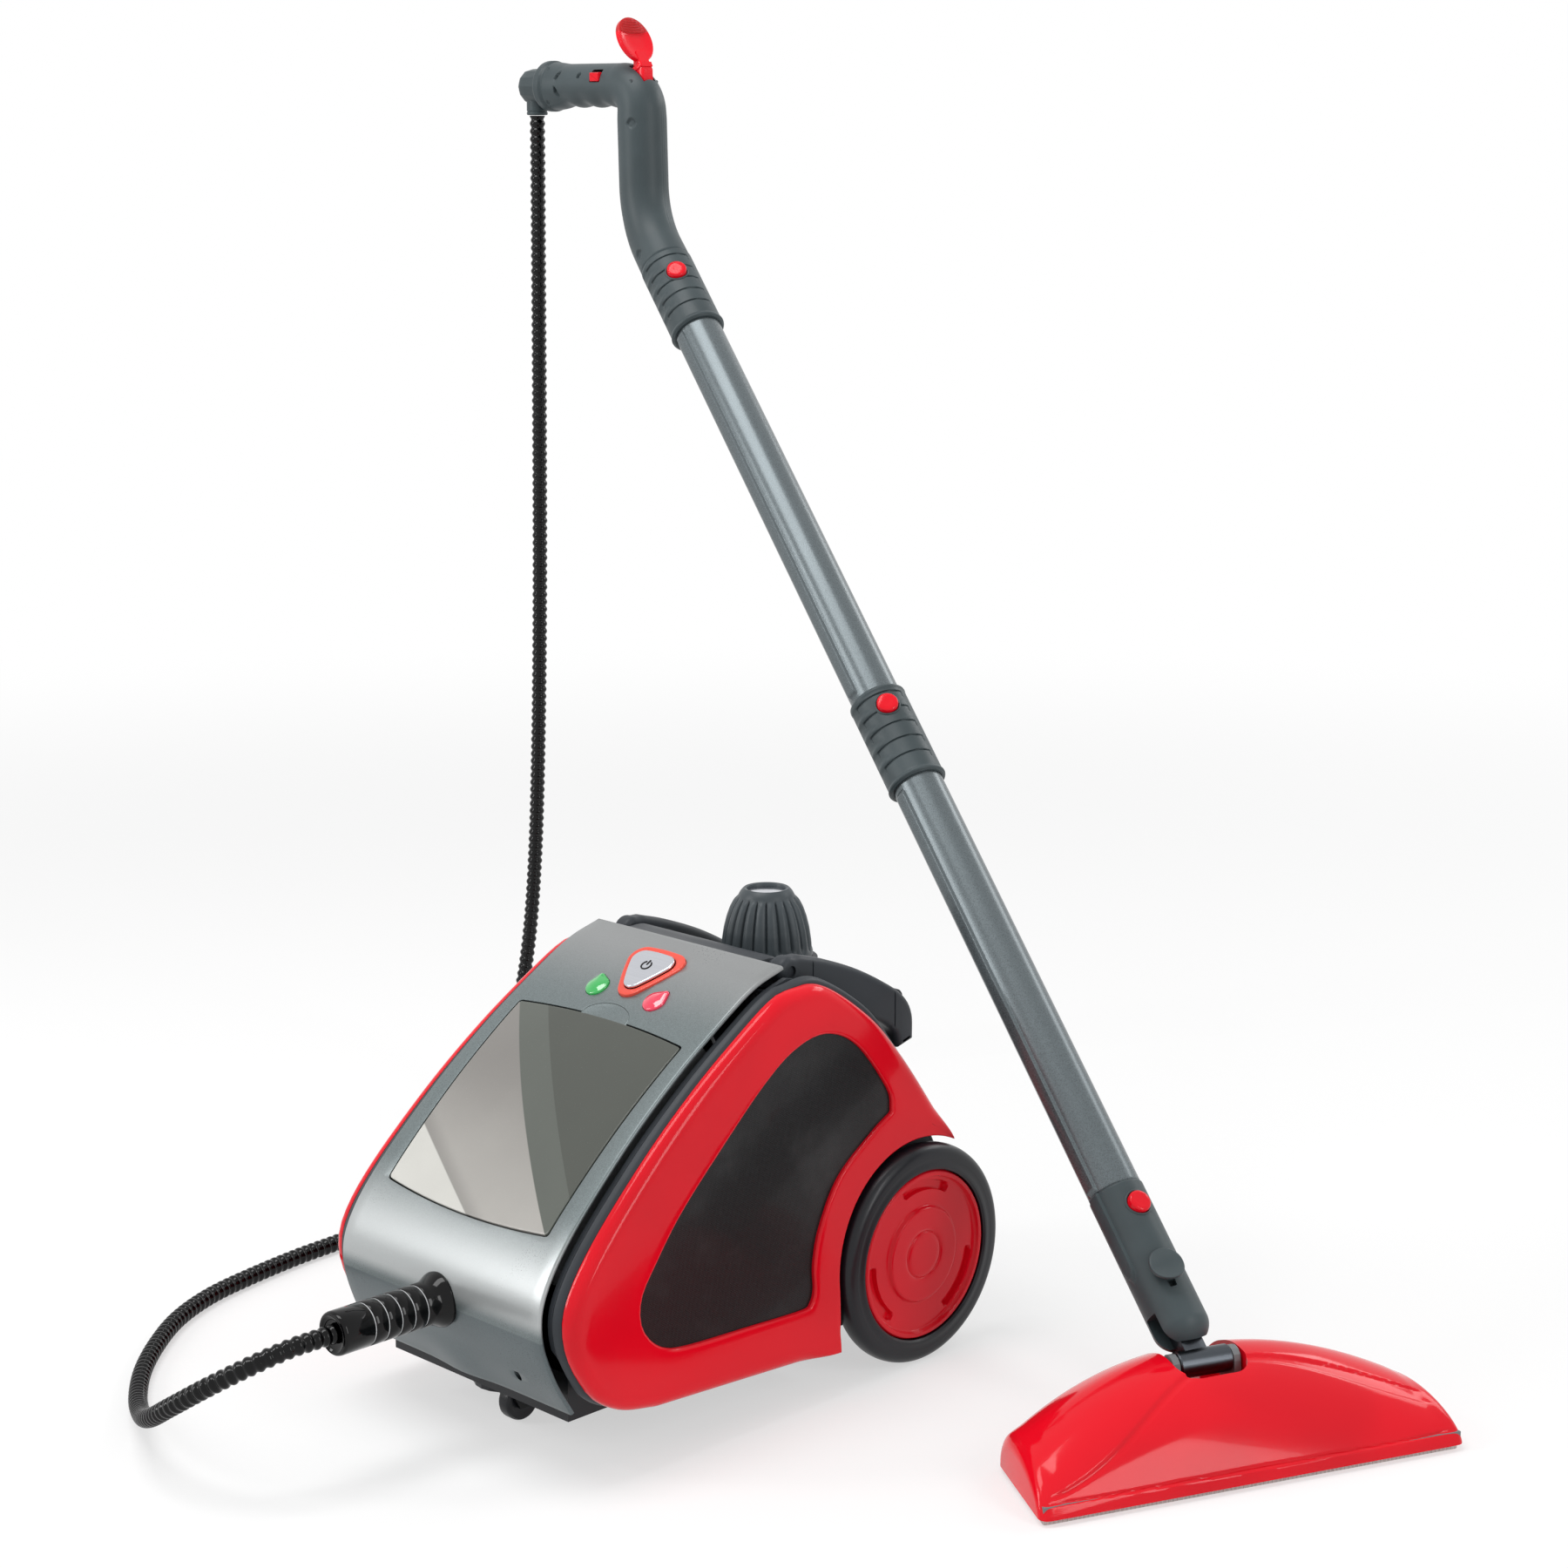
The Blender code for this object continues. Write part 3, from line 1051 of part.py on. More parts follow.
def floor_head(head):
    """The red shell with its neck notch, the sole plate under it and the pad."""
    shell = piece("head_shell", head_block(0.0, HEAD_FOOT), "gloss_red", head)
    hollow = cutter(head_block(HEAD_SKIN, HEAD_FOOT - 0.004), head)
    c = NOTCH_CORNER
    notch = arc((NECK_SHIFT - NOTCH_HALF + c, NOTCH_FRONT + c), c, 180, 270, 4)
    notch += arc((NECK_SHIFT + NOTCH_HALF - c, NOTCH_FRONT + c), c, 270, 360, 4)
    notch += [(NECK_SHIFT + NOTCH_HALF, 0.2), (NECK_SHIFT - NOTCH_HALF, 0.2)]
    slot = cutter(prism(notch, NOTCH_FLOOR - 0.008, 0.2, "Z"), head)
    shaped(shell, [hollow, slot])
    outline = sole_outline(HEAD_SKIN + GAP)
    sole = piece("sole_plate", prism(outline, SOLE_FLOOR, SOLE_FLOOR + SOLE_THICK, "Z"), "inner_grey", head)
    ears = []
    for side in (-1, 1):
        foot = SOLE_FLOOR + 0.004
        ear = arc((0, PIVOT_Z), EAR_R, 0, 180, 6) + [(-0.0125, foot), (0.0125, foot)]
        inside = NECK_SHIFT + side * (NOTCH_HALF - 0.0065)
        ears.append(cutter(prism(ear, inside, inside + side * 0.0050), head))
    shaped(sole, ears, "UNION")
    jets = [cutter(rod(JET_R, -0.1, 0.1, sides=12), head, (x, 0.004, 0)) for x in JETS]
    bore = cutter(rod(NECK_PIN_R + GAP / 2, -0.1, 0.1, "X"), head, (0, 0, PIVOT_Z))
    shaped(sole, jets + [bore])
    piece("floor_pad", prism(sole_outline(PAD_INSET), 0.0, SOLE_FLOOR - GAP, "Z"), "pad_cloth", head)
    half = NOTCH_HALF - 0.0012
    piece("pitch_pin", rod(NECK_PIN_R, -half, half, "X"), "steel", head, (NECK_SHIFT, 0, PIVOT_Z))


def sole_outline(inset):
    """The head's outline seen from above, drawn in from its lower edge."""
    xs = head_stations(inset)
    front = [(float(x), HEAD_FRONT + inset) for x in xs]
    back = []
    for x in xs:
        y = HEAD_BACK - 0.030 * (x / HEAD_HALF) ** 2 - inset
        back.append((end_slant(float(x), y), y))
    return front + back[::-1]


# ================================================================ neck and wand
def neck(head, wand):
    """The universal joint's middle piece: a barrel across the head and a tongue up the wand."""
    half = NOTCH_HALF - 0.0070
    barrel = rod(NECK_BARREL_R, -half, half, "X")
    body = piece("neck_joint", barrel, "steel", head, (NECK_SHIFT, 0, PIVOT_Z))
    wide = TONGUE_HALF
    tongue = arc((0, NECK_RISE), wide, 0, 180, 8) + [(-wide, -0.004), (wide, -0.004)]
    shaped(body, [cutter(prism(tongue, -NECK_TONGUE / 2, NECK_TONGUE / 2, "X"), wand)], "UNION")
    shaped(body, [cutter(rod(NECK_PIN_R + RUN, -0.1, 0.1, "X"), head, (0, 0, PIVOT_Z)),
                  cutter(rod(NECK_PIN_R + RUN, -0.1, 0.1, "X"), wand, (0, 0, NECK_RISE))])
    piece("roll_pin", rod(NECK_PIN_R, -0.0150, 0.0150, "X"), "steel", wand, (0, 0, NECK_RISE))


def around(degrees, radius, z):
    """A place round the wand's axis, and the turn that points a Z axis outwards there."""
    t = math.radians(degrees)
    return (radius * math.cos(t), radius * math.sin(t), z), (0, 90, degrees)


def adapter(wand):
    """The elbow piece between head and tube: a fork below, a spigot above, a button between."""
    r = ADAPTER_R
    ball = [(r * math.sin(t), NECK_RISE - BALL_DEPTH * math.cos(t)) for t in np.radians([0, 20, 40, 60, 79])]
    spigot = TUBE_R - TUBE_WALL - GAP
    top = ADAPTER_TOP - GAP
    bore = spigot - ADAPTER_WALL
    profile = ball + [(r, NECK_RISE + 0.002), (r, top - 0.001), (r - 0.001, top), (spigot, top),
                      (spigot, ADAPTER_TOP + SPIGOT), (bore, ADAPTER_TOP + SPIGOT), (bore, NECK_RISE + 0.030),
                      (0, NECK_RISE + 0.030)]
    body = piece("floor_adapter", lathe(profile, 24), "wand_grey", wand)
    half = NECK_TONGUE / 2 + 0.0005
    fork = box((-half, -0.05, -0.05), (half, 0.05, NECK_RISE + TONGUE_HALF + 0.002))
    pin = cutter(rod(NECK_PIN_R + GAP / 2, -0.1, 0.1, "X"), wand, (0, 0, NECK_RISE))
    barrel = cutter(rod(NECK_BARREL_R + 0.0040, -0.06, 0.06, "Y"), wand)
    hole = button_hole(wand, "release_button_lower")
    shaped(body, [cutter(fork, wand), pin, barrel, lever_pocket(wand), hole])


def lever_place():
    """The swivel lock's pin axis, on the adapter's front."""
    return around(168.0, 0.0150, 0.0620)


def lever_pocket(wand):
    """The recess in the adapter's front where the swivel lock's stem sits."""
    return cutter(box((-0.0060, -0.0032, -0.0010), (0.0060, 0.0032, 0.0150)), wand, *lever_place())


def swivel_lock(wand):
    """The grey oval flap that locks the swivel: a leaf on a short stem."""
    place, tilt = lever_place()
    stem = prism([(-0.0030, 0.0), (0.0030, 0.0), (0.0036, 0.0085), (-0.0026, 0.0085)], -0.0028, 0.0028, "Y")
    lever = piece("swivel_lock", stem, "wand_grey", wand, place, tilt)
    leaf = [(0.0125 * math.cos(t), 0.0105 * math.sin(t)) for t in np.arange(20) * math.pi / 10]
    disc = moved(prism(leaf, 0, 0.0030, "Z"), shift(0.0020, 0, 0.0078) @ turn(-8, "Y"))
    return shaped(lever, [cutter(disc, wand, place, tilt)], "UNION")


def button_hole(wand, name):
    """The hole that a release button moves in."""
    along, degrees, _ = BUTTONS[name]
    low = BUTTON_SEAT - BUTTON_TRAVEL - GAP
    return cutter(rod(BUTTON_R + GAP, low, 0.05), wand, *around(degrees, 0, along))


def release_buttons(wand):
    """Three red press buttons with domed caps."""
    for name, (along, degrees, radius) in BUTTONS.items():
        top = radius + 0.0032
        profile = [(0, BUTTON_SEAT), (BUTTON_R, BUTTON_SEAT), (BUTTON_R, top - 0.0018),
                   (BUTTON_R - 0.0016, top - 0.0004), (0, top)]
        piece(name, lathe(profile, 24), "gloss_red", wand, *around(degrees, 0, along))


def hollow_tube(name, wand, low, high, rail, holes):
    """A tube of the wand, open at both ends, with a flat rail between two levels."""
    body = piece(name, rod(TUBE_R, low, high, sides=24), "wand_grey", wand)
    bar = box((-rail[1], -RAIL_HALF, TUBE_R - 0.0012), (-rail[0], RAIL_HALF, TUBE_R + RAIL_PROUD))
    shaped(body, [cutter(bar, wand, *around(RAIL_ANGLE, 0, 0))], "UNION")
    bore = cutter(rod(TUBE_R - TUBE_WALL, low - 0.01, high + 0.01, sides=24), wand)
    return shaped(body, [bore] + holes)


def wand_tubes(wand):
    """Two tubes and the collar between them."""
    hollow_tube("lower_tube", wand, ADAPTER_TOP, MID_LOW + TUBE_INSERT,
                (ADAPTER_TOP + 0.002, MID_LOW - 0.004), [])
    hollow_tube("upper_tube", wand, MID_HIGH - TUBE_INSERT, SOCKET_LOW + TUBE_INSERT,
                (MID_HIGH + 0.004, SOCKET_LOW - 0.004), [button_hole(wand, "release_button_middle")])
    bore = TUBE_R + GAP
    stop = TUBE_R - TUBE_WALL
    low_seat, high_seat = MID_LOW + TUBE_INSERT + GAP, MID_HIGH - TUBE_INSERT - GAP
    mid = [(bore, MID_LOW), (COLLAR_R - 0.001, MID_LOW), (COLLAR_R, MID_LOW + 0.002),
           (COLLAR_R, MID_HIGH - 0.002), (COLLAR_R - 0.001, MID_HIGH), (bore, MID_HIGH), (bore, high_seat),
           (stop, high_seat), (stop, low_seat), (bore, low_seat)]
    collar = piece("middle_collar", lathe(mid, 24), "wand_grey", wand)
    shaped(collar, [button_hole(wand, "release_button_middle")])


def upper_socket(wand):
    """The collar at the handle's foot that takes the upper tube."""
    bore = TUBE_R + GAP
    stop = TUBE_R - TUBE_WALL - 0.003
    seat = SOCKET_LOW + TUBE_INSERT + GAP
    profile = [(bore, SOCKET_LOW), (COLLAR_R + 0.0006, SOCKET_LOW), (COLLAR_R + 0.0010, SOCKET_LOW + 0.003),
               (COLLAR_R, SOCKET_LOW + 0.006), (COLLAR_R, SOCKET_HIGH - 0.001),
               (COLLAR_R - 0.001, SOCKET_HIGH), (stop, SOCKET_HIGH), (stop, seat), (bore, seat)]
    socket = piece("handle_socket", lathe(profile, 24), "wand_grey", wand)
    return shaped(socket, [button_hole(wand, "release_button_upper")])


# ================================================================ wand handle
def wand_direction():
    """Unit direction of the wand's axis, seen from the canister's frame."""
    lean, heading = math.radians(WAND_LEAN), math.radians(WAND_HEADING)
    return Vector((math.sin(lean) * math.cos(heading), math.sin(lean) * math.sin(heading), math.cos(lean)))


def wand_foot():
    """Where the wand's axis crosses the head's pitch axis."""
    t = math.radians(HEAD_TURN)
    x, y = HEAD_PLACE
    return Vector((x + WAND_SHIFT * math.cos(t), y + WAND_SHIFT * math.sin(t), PIVOT_Z))


def handle_path():
    """The handle's centre line, from the socket through the knee and the elbow to the grip's end."""
    start = wand_direction() * GAP
    corners = [start, wand_direction() * HANDLE_KNEE, HANDLE_ELBOW, HANDLE_END]
    path = fillet_path(corners, [KNEE_ROUND, ELBOW_ROUND], 5)
    return [tuple(p) for p in path]


def handle_half(side):
    """One moulded half of the handle: a half ring carried along the centre line."""
    p, tangent, first, second = frames_along(handle_path(), (0, -1, 0))
    run = np.concatenate([[0], np.cumsum(np.linalg.norm(np.diff(p, axis=0), axis=1))])
    share = run / run[-1]
    radius = np.interp(share, [0, 0.20, 0.50, 0.66, 0.93, 1.0],
                       [COLLAR_R, HANDLE_R, HANDLE_R, HANDLE_GRIP_R, HANDLE_GRIP_R, CUFF_FLANGE_R])
    angles = np.radians(np.linspace(-HALF_ARC, HALF_ARC, 10))
    loops = []
    for k in range(len(p)):
        rays = [side * math.cos(t) * first[k] + math.sin(t) * second[k] for t in angles]
        outer = [p[k] + radius[k] * ray for ray in rays]
        inner = [p[k] + (radius[k] - HANDLE_SKIN) * ray for ray in rays[::-1]]
        loops.append([tuple(q) for q in outer + inner])
    return loft(loops)


def trigger_pin_place():
    x, y, z = HANDLE_ELBOW
    return (x + TRIGGER_BACK, y, z + TRIGGER_RISE)


def lock_place():
    x, y, z = HANDLE_ELBOW
    return (x - LOCK_BACK, y, z + LOCK_RISE)


def handle(grip):
    """The two halves, cut for the trigger's root and the lock bar."""
    place = trigger_pin_place()
    for name, side in (("handle_half_front", 1), ("handle_half_back", -1)):
        half = piece(name, handle_half(side), "wand_grey", grip)
        slot = cutter(box((-0.0105, -0.0065, -0.0085), (0.0075, 0.0065, 0.03)), grip, place)
        pin = cutter(rod(0.0015 + GAP, -0.03, 0.03, "Y"), grip, place)
        bar = cutter(box((-0.0052, -0.05, -0.0037), (0.0052, 0.05, 0.0037)), grip, lock_place())
        shaped(half, [slot, pin, bar])
    piece("trigger_pin", rod(0.0015, -TRIGGER_PIN_HALF, TRIGGER_PIN_HALF, "Y", 16), "steel", grip, place)


def trigger(grip):
    """The red thumb paddle: an oval leaf on a stem that turns on its pin in the elbow."""
    place, tilt = trigger_pin_place(), (0, -TRIGGER_LEAN, 0)
    stem = prism([(-0.0045, -0.0045), (0.0045, -0.0045), (0.0095, 0.0060), (0.0085, 0.0230), (0.0040, 0.0230),
                  (-0.0040, 0.0060)], -0.0055, 0.0055, "Y")
    paddle = piece("steam_trigger", stem, "gloss_red", grip, place, tilt)
    leaf = [(0.0160 * math.sin(t), LEAF_RISE + 0.0195 * math.cos(t)) for t in np.arange(24) * math.pi / 12]
    disc = prism(leaf, LEAF_FRONT - 0.0022, LEAF_FRONT + 0.0020, "X")
    shaped(paddle, [cutter(disc, grip, place, tilt)], "UNION")
    return shaped(paddle, [cutter(rod(0.0015 + RUN, -0.03, 0.03, "Y", 16), grip, place)])


def trigger_lock(grip):
    """The red bar that slides across the grip and blocks the trigger."""
    bar = box((-0.0049, -HANDLE_GRIP_R - 0.0006, -0.0034), (0.0049, HANDLE_GRIP_R - 0.0030, 0.0034))
    piece("trigger_lock", bar, "gloss_red", grip, lock_place())


def hose_cuff(grip):
    """The cuff at the grip's end: a ribbed cap with its outlet pointing down."""
    r = CUFF_R
    length = CUFF_LENGTH
    profile = [(0, GAP), (CUFF_FLANGE_R - 0.004, GAP), (CUFF_FLANGE_R - 0.003, 0.0030), (r, 0.0045),
               (r, length - 0.006), (r - 0.002, length - 0.0015), (r - 0.006, length), (0, length)]
    cuff = piece("hose_cuff", moved(lathe(profile, 24, "X"), turn(180, "Z")), "wand_grey", grip, HANDLE_END)
    outlet_place = Vector(HANDLE_END) - Vector((CUFF_DROP, 0, 0))
    outlet = cutter(rod(HOSE_R + 0.0022, -0.0232, 0, sides=20), grip, outlet_place)
    return shaped(cuff, [outlet], "UNION")


# ================================================================ the whole model
def main():
    clear_scene()
    base = empty("floor_centre", (*FOOTPRINT_SHIFT, 0.0))
    head = empty("head_frame", (*HEAD_PLACE, 0.0), (0, 0, HEAD_TURN), base)
    wand = empty("wand_frame", wand_foot(), (0, WAND_LEAN, WAND_HEADING), base)
    grip = empty("handle_frame", wand_foot() + wand_direction() * SOCKET_HIGH, (0, 0, 0), base)
    for make in (front_cover, storage_door, accessory_bin, hinge_pin, rear_cover, top_deck, side_walls,
                 side_panels, side_windows, base_tray, running_gear, front_caster, controls, boiler,
                 steam_circuit, filler_cap, carry_handle, cord_inlet, hose_grip, steam_hose):
        make(base)
    floor_head(head)
    neck(head, wand)
    for make in (adapter, swivel_lock, release_buttons, wand_tubes, upper_socket):
        make(wand)
    for make in (handle, trigger, trigger_lock, hose_cuff):
        make(grip)


main()
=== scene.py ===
# %% [markdown]
# # A canister steam mop, dressed
#
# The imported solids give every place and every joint.  This lesson builds the surfaces that
# are seen: each one is a formula worked out on a grid, then given a finish of shader nodes.

# %% Load the fixed frame
import json
import math

import bmesh
import bpy
import numpy as np
from mathutils import Matrix, Vector


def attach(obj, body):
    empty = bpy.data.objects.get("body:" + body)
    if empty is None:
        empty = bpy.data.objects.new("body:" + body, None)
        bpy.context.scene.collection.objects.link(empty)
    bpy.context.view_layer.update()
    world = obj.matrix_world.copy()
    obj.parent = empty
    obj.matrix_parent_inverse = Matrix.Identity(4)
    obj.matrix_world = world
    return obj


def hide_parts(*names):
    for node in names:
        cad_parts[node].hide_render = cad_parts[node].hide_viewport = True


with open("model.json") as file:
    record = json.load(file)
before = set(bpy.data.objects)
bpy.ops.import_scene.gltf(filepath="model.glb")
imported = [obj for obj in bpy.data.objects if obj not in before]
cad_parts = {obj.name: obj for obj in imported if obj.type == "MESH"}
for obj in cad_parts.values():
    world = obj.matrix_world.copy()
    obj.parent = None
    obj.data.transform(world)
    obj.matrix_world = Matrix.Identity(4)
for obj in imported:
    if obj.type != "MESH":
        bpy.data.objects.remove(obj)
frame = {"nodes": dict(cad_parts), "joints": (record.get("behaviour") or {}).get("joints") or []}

scene = bpy.context.scene
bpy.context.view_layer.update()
joints = {joint["name"]: joint for joint in frame["joints"]}

# %% [markdown]
# ## Camera
#
# The camera looks down a little from the front right.  A short lens would make the tall wand
# lean, so it stands back and uses a long one.  The floor and the lamps are built last.

# %% Camera
camera = bpy.data.objects.new("camera", bpy.data.cameras.new("camera"))
camera.location = (1.4950, -1.3977, 0.8234)
camera.rotation_euler = (math.radians(90 - 11.64), 0, math.radians(44.89))
camera.data.lens = 70
camera.data.sensor_width = 36
scene.collection.objects.link(camera)
scene.camera = camera
scene.view_settings.view_transform = "Standard"

# %% [markdown]
# ## Shader maths as sums
#
# A finish is a small sum of grains, masks and colours.  Its nodes could be added and linked one
# by one, but a class that turns an expression into Math nodes keeps the sum readable.

# %% A wrapper that lets shader maths be written as sums
class Wire:
    """One output socket.  Arithmetic on it adds Math nodes to its tree."""

    def __init__(self, nodes, socket):
        self.nodes = nodes
        self.socket = socket

    def _math(self, operation, *values):
        return self.nodes.add("ShaderNodeMath", {"operation": operation}, *values)

    def __add__(self, other):
        return self._math("ADD", self, other)

    __radd__ = __add__

    def __sub__(self, other):
        return self._math("SUBTRACT", self, other)

    def __rsub__(self, other):
        return self._math("SUBTRACT", other, self)

    def __mul__(self, other):
        return self._math("MULTIPLY", self, other)

    __rmul__ = __mul__

    def __truediv__(self, other):
        return self._math("DIVIDE", self, other)

    def wave(self):
        """The sine."""
        return self._math("SINE", self)

    def most(self, other):
        """The larger of the two values."""
        return self._math("MAXIMUM", self, other)

    def root(self):
        """The square root."""
        return self._math("SQRT", self)

    def ramp(self, low, high):
        """0 below low, 1 above high, smooth between."""
        settings = {"interpolation_type": "SMOOTHSTEP"}
        return self.nodes.add("ShaderNodeMapRange", settings, self, low, high, 0.0, 1.0)


class Nodes:
    """A material's node tree, with one method that adds any node."""

    def __init__(self, name):
        self.material = bpy.data.materials.new(name)
        self.material.use_nodes = True
        self.tree = self.material.node_tree
        self.shader = self.tree.nodes["Principled BSDF"]

    def add(self, kind, settings=None, *values, out=0, **named):
        """Any node: its settings are set first, then its inputs by number or by name."""
        node = self.tree.nodes.new(kind)
        for key, value in (settings or {}).items():
            setattr(node, key, value)
        for key, value in list(enumerate(values)) + list(named.items()):
            self.feed(node.inputs[key.replace("_", " ") if isinstance(key, str) else key], value)
        return Wire(self, node.outputs[out])

    def feed(self, socket, value):
        """Links a wire to an input, or writes a plain value into it."""
        if isinstance(value, Wire):
            self.tree.links.new(value.socket, socket)
        else:
            socket.default_value = value

    def place(self):
        """The point on the object, and its three coordinates as wires."""
        point = self.add("ShaderNodeTexCoord", None, out="Object")
        apart = self.add("ShaderNodeSeparateXYZ", None, point)
        return point, [Wire(self, socket) for socket in apart.socket.node.outputs]

    def noise(self, point, scale, detail=2.0, roughness=0.5):
        """Cloudy values round 0.5; scale counts the clouds in a metre."""
        return self.add("ShaderNodeTexNoise", None, Vector=point, Scale=scale, Detail=detail,
                        Roughness=roughness)

    def mixed(self, factor, a, b):
        """Colour a where the factor is 0, b where it is 1."""
        node = self.tree.nodes.new("ShaderNodeMix")
        node.data_type = "RGBA"
        self.feed(node.inputs[0], factor)
        for slot, value in ((6, a), (7, b)):
            self.feed(node.inputs[slot], (*value, 1.0) if isinstance(value, tuple) else value)
        return Wire(self, node.outputs[2])

    def bump(self, height, distance):
        """Feeds the Normal from a height, which stands the given distance in metres proud at 1."""
        settled = self.add("ShaderNodeBump", None, Height=height, Strength=1.0, Distance=distance)
        self.feed(self.shader.inputs["Normal"], settled)

    def set(self, **named):
        """Values or wires for the inputs of the shader itself, by name."""
        for key, value in named.items():
            if isinstance(value, tuple) and len(value) == 3:
                value = (*value, 1.0)
            self.feed(self.shader.inputs[key.replace("_", " ")], value)
        return self


def srgb(*codes):
    """A colour given as screen values from 0 to 255, as linear light."""
    c = np.array(codes) / 255
    return tuple(float(v) for v in np.where(c <= 0.04045, c / 12.92, ((c + 0.055) / 1.055) ** 2.4))

# %% [markdown]
# ## Finishes
#
# Every finish has one main colour, and small changes that a real surface has: a grain that
# breaks the light, slow blotches in its gloss, and dust or wear.  The cover, the door and the pad
# also have painted light in their colour: painted highlights, reflections and shade.  Painted
# textures would have to be fitted to every piece, so the finishes read only the place of each
# point.  What changes over the surface feeds the colour, the roughness and the bump; single
# numbers stay on the shader's own sockets.

# %% Moulded plastics
def moulded(name, colour, roughness, grain=1800, depth=0.00005, blotch=0.10, coat=0.0):
    """Plastic from a textured mould: fine grain as bump, slow blotches in colour and gloss."""
    n = Nodes(name)
    point, _ = n.place()
    fine = n.noise(point, grain, 3.0, 0.6)
    slow = n.noise(point, 22, 3.0)
    darker = tuple(c * (1 - blotch) for c in colour)
    lighter = tuple(min(c * (1 + blotch), 1.0) for c in colour)
    n.set(Base_Color=n.mixed(slow.ramp(0.3, 0.7), darker, lighter),
          Roughness=roughness + (slow - 0.5) * 0.12 + (fine - 0.5) * 0.08,
          Coat_Weight=coat, Coat_Roughness=0.06, Specular_IOR_Level=0.30)
    n.bump(fine, depth)
    return n.material


def glossy(name, colour, roughness=0.12, ripple=0.00003, coat=0.15, fleck=0.03):
    """Polished plastic under a clear coat: a slight orange-peel ripple and faint dust."""
    n = Nodes(name)
    point, _ = n.place()
    peel = n.noise(point, 260, 2.0)
    slow = n.noise(point, 9, 2.0)
    dust = n.noise(point, 2600, 1.0).ramp(0.72, 0.80)
    deep = tuple(c * 0.88 for c in colour)
    body = n.mixed(slow.ramp(0.35, 0.65), deep, colour)
    pale = tuple(min(1.0, c * 1.1 + 0.05) for c in colour)
    n.set(Base_Color=n.mixed(dust * fleck, body, pale),
          Roughness=roughness + dust * 0.15 + (slow - 0.5) * 0.04,
          Specular_IOR_Level=0.14, Coat_Weight=coat, Coat_Roughness=0.03)
    n.bump(peel, ripple)
    return n.material


def metal(name, colour, roughness, brush=(4, 4, 260), depth=0.00002):
    """Metal with fine marks drawn out along one direction."""
    n = Nodes(name)
    point, _ = n.place()
    drawn = n.add("ShaderNodeMapping", None, Vector=point, Scale=brush)
    marks = n.noise(drawn, 6.0, 4.0, 0.6)
    n.set(Base_Color=n.mixed(marks, tuple(c * 0.86 for c in colour), colour), Metallic=1.0,
          Roughness=roughness + (marks - 0.5) * 0.14)
    n.bump(marks, depth)
    return n.material


def flake_paint(name, colour, roughness=0.33, metallic=0.45, bands=None):
    """Satin metallic paint: tiny flakes change the colour and gloss from point to point."""
    n = Nodes(name)
    point, (_, _, height) = n.place()
    flakes = n.add("ShaderNodeTexVoronoi", None, Vector=point, Scale=2600.0, out="Color")
    spark = n.add("ShaderNodeSeparateColor", None, flakes)
    slow = n.noise(point, 14, 2.0)
    body = n.mixed(spark, tuple(c * 0.82 for c in colour), tuple(min(1, c * 1.22) for c in colour))
    # An optional function of the height paints light and shade into the colour.
    if bands:
        body = bands(n, body, height)
    n.set(Base_Color=body, Metallic=metallic,
          Roughness=roughness + (spark - 0.5) * 0.10 + (slow - 0.5) * 0.06,
          Specular_IOR_Level=0.30, Coat_Weight=0.08, Coat_Roughness=0.12)
    n.bump(n.noise(point, 900, 2.0), 0.00002)
    return n.material


def cover_painted_light(n, paint, height):
    """Painted light on the cover, by height: a painted highlight round the nose, paler towards the top, and
    painted shade under the crease.
    """
    # Painted highlight round the nose.
    nose = height.ramp(0.1010, 0.1120) * (1 - height.ramp(0.1300, 0.1750))
    paint = n.mixed(nose * 0.62, paint, srgb(206, 208, 208))
    # Paler towards the top.
    paint = n.mixed(height.ramp(0.262, 0.296) * 0.55, paint, srgb(168, 166, 166))
    # Painted shade under the crease, where the cover turns inwards.
    return n.mixed((1 - height.ramp(0.0985, 0.1000)) * 0.45, paint, srgb(58, 70, 77))


def mesh_film(name):
    """Nearly black window over a fine punched mesh, with cloudy shapes showing through."""
    n = Nodes(name)
    point, (_, y, z) = n.place()
    pitch = 0.00135
    slanted = 2 * math.pi / pitch * 0.7071
    weave = ((y + z) * slanted).wave() * ((y - z) * slanted).wave()
    hole = weave.ramp(0.1, 0.5)
    cloud = n.noise(point, 16, 4.0, 0.55)
    back = n.mixed(cloud.ramp(0.45, 0.75), (0.010, 0.010, 0.011), (0.036, 0.037, 0.038))
    n.set(Base_Color=n.mixed(hole, back, (0.004, 0.004, 0.004)), Roughness=0.24 + hole * 0.3,
          Specular_IOR_Level=0.22, Coat_Weight=0.10, Coat_Roughness=0.05)
    n.bump(hole, -0.00010)
    return n.material


def lamp_lens(name, colour, glow=0.25):
    """A moulded lens: its colour varies faintly in small patches, under a clear coat, with a faint glow."""
    n = Nodes(name)
    point, _ = n.place()
    facet = n.noise(point, 420, 1.0)
    n.set(Base_Color=n.mixed(facet, tuple(c * 0.75 for c in colour), colour), Roughness=0.10,
          Coat_Weight=1.0, Coat_Roughness=0.02, Emission_Color=colour, Emission_Strength=glow)
    n.bump(facet, 0.00004)
    return n.material


def woven_pile(name, colour):
    """Short looped pile: a fine crossing weave broken up by noise, with a soft sheen and painted shade in its
    low parts.
    """
    n = Nodes(name)
    point, (x, y, _) = n.place()
    pitch = 2 * math.pi / 0.0016
    loops = (x * pitch).wave() * (y * pitch).wave() * 0.5 + 0.5
    fuzz = n.noise(point, 1400, 3.0, 0.7)
    height = loops * 0.6 + fuzz * 0.6
    # Painted shade: the low parts of the pile are darker.
    pile_painted_shade = tuple(c * 0.68 for c in colour)
    n.set(Base_Color=n.mixed(height.ramp(0.2, 0.9), pile_painted_shade, colour), Roughness=0.9 + fuzz * 0.06,
          Sheen_Weight=0.4)
    n.bump(height, 0.0006)
    return n.material


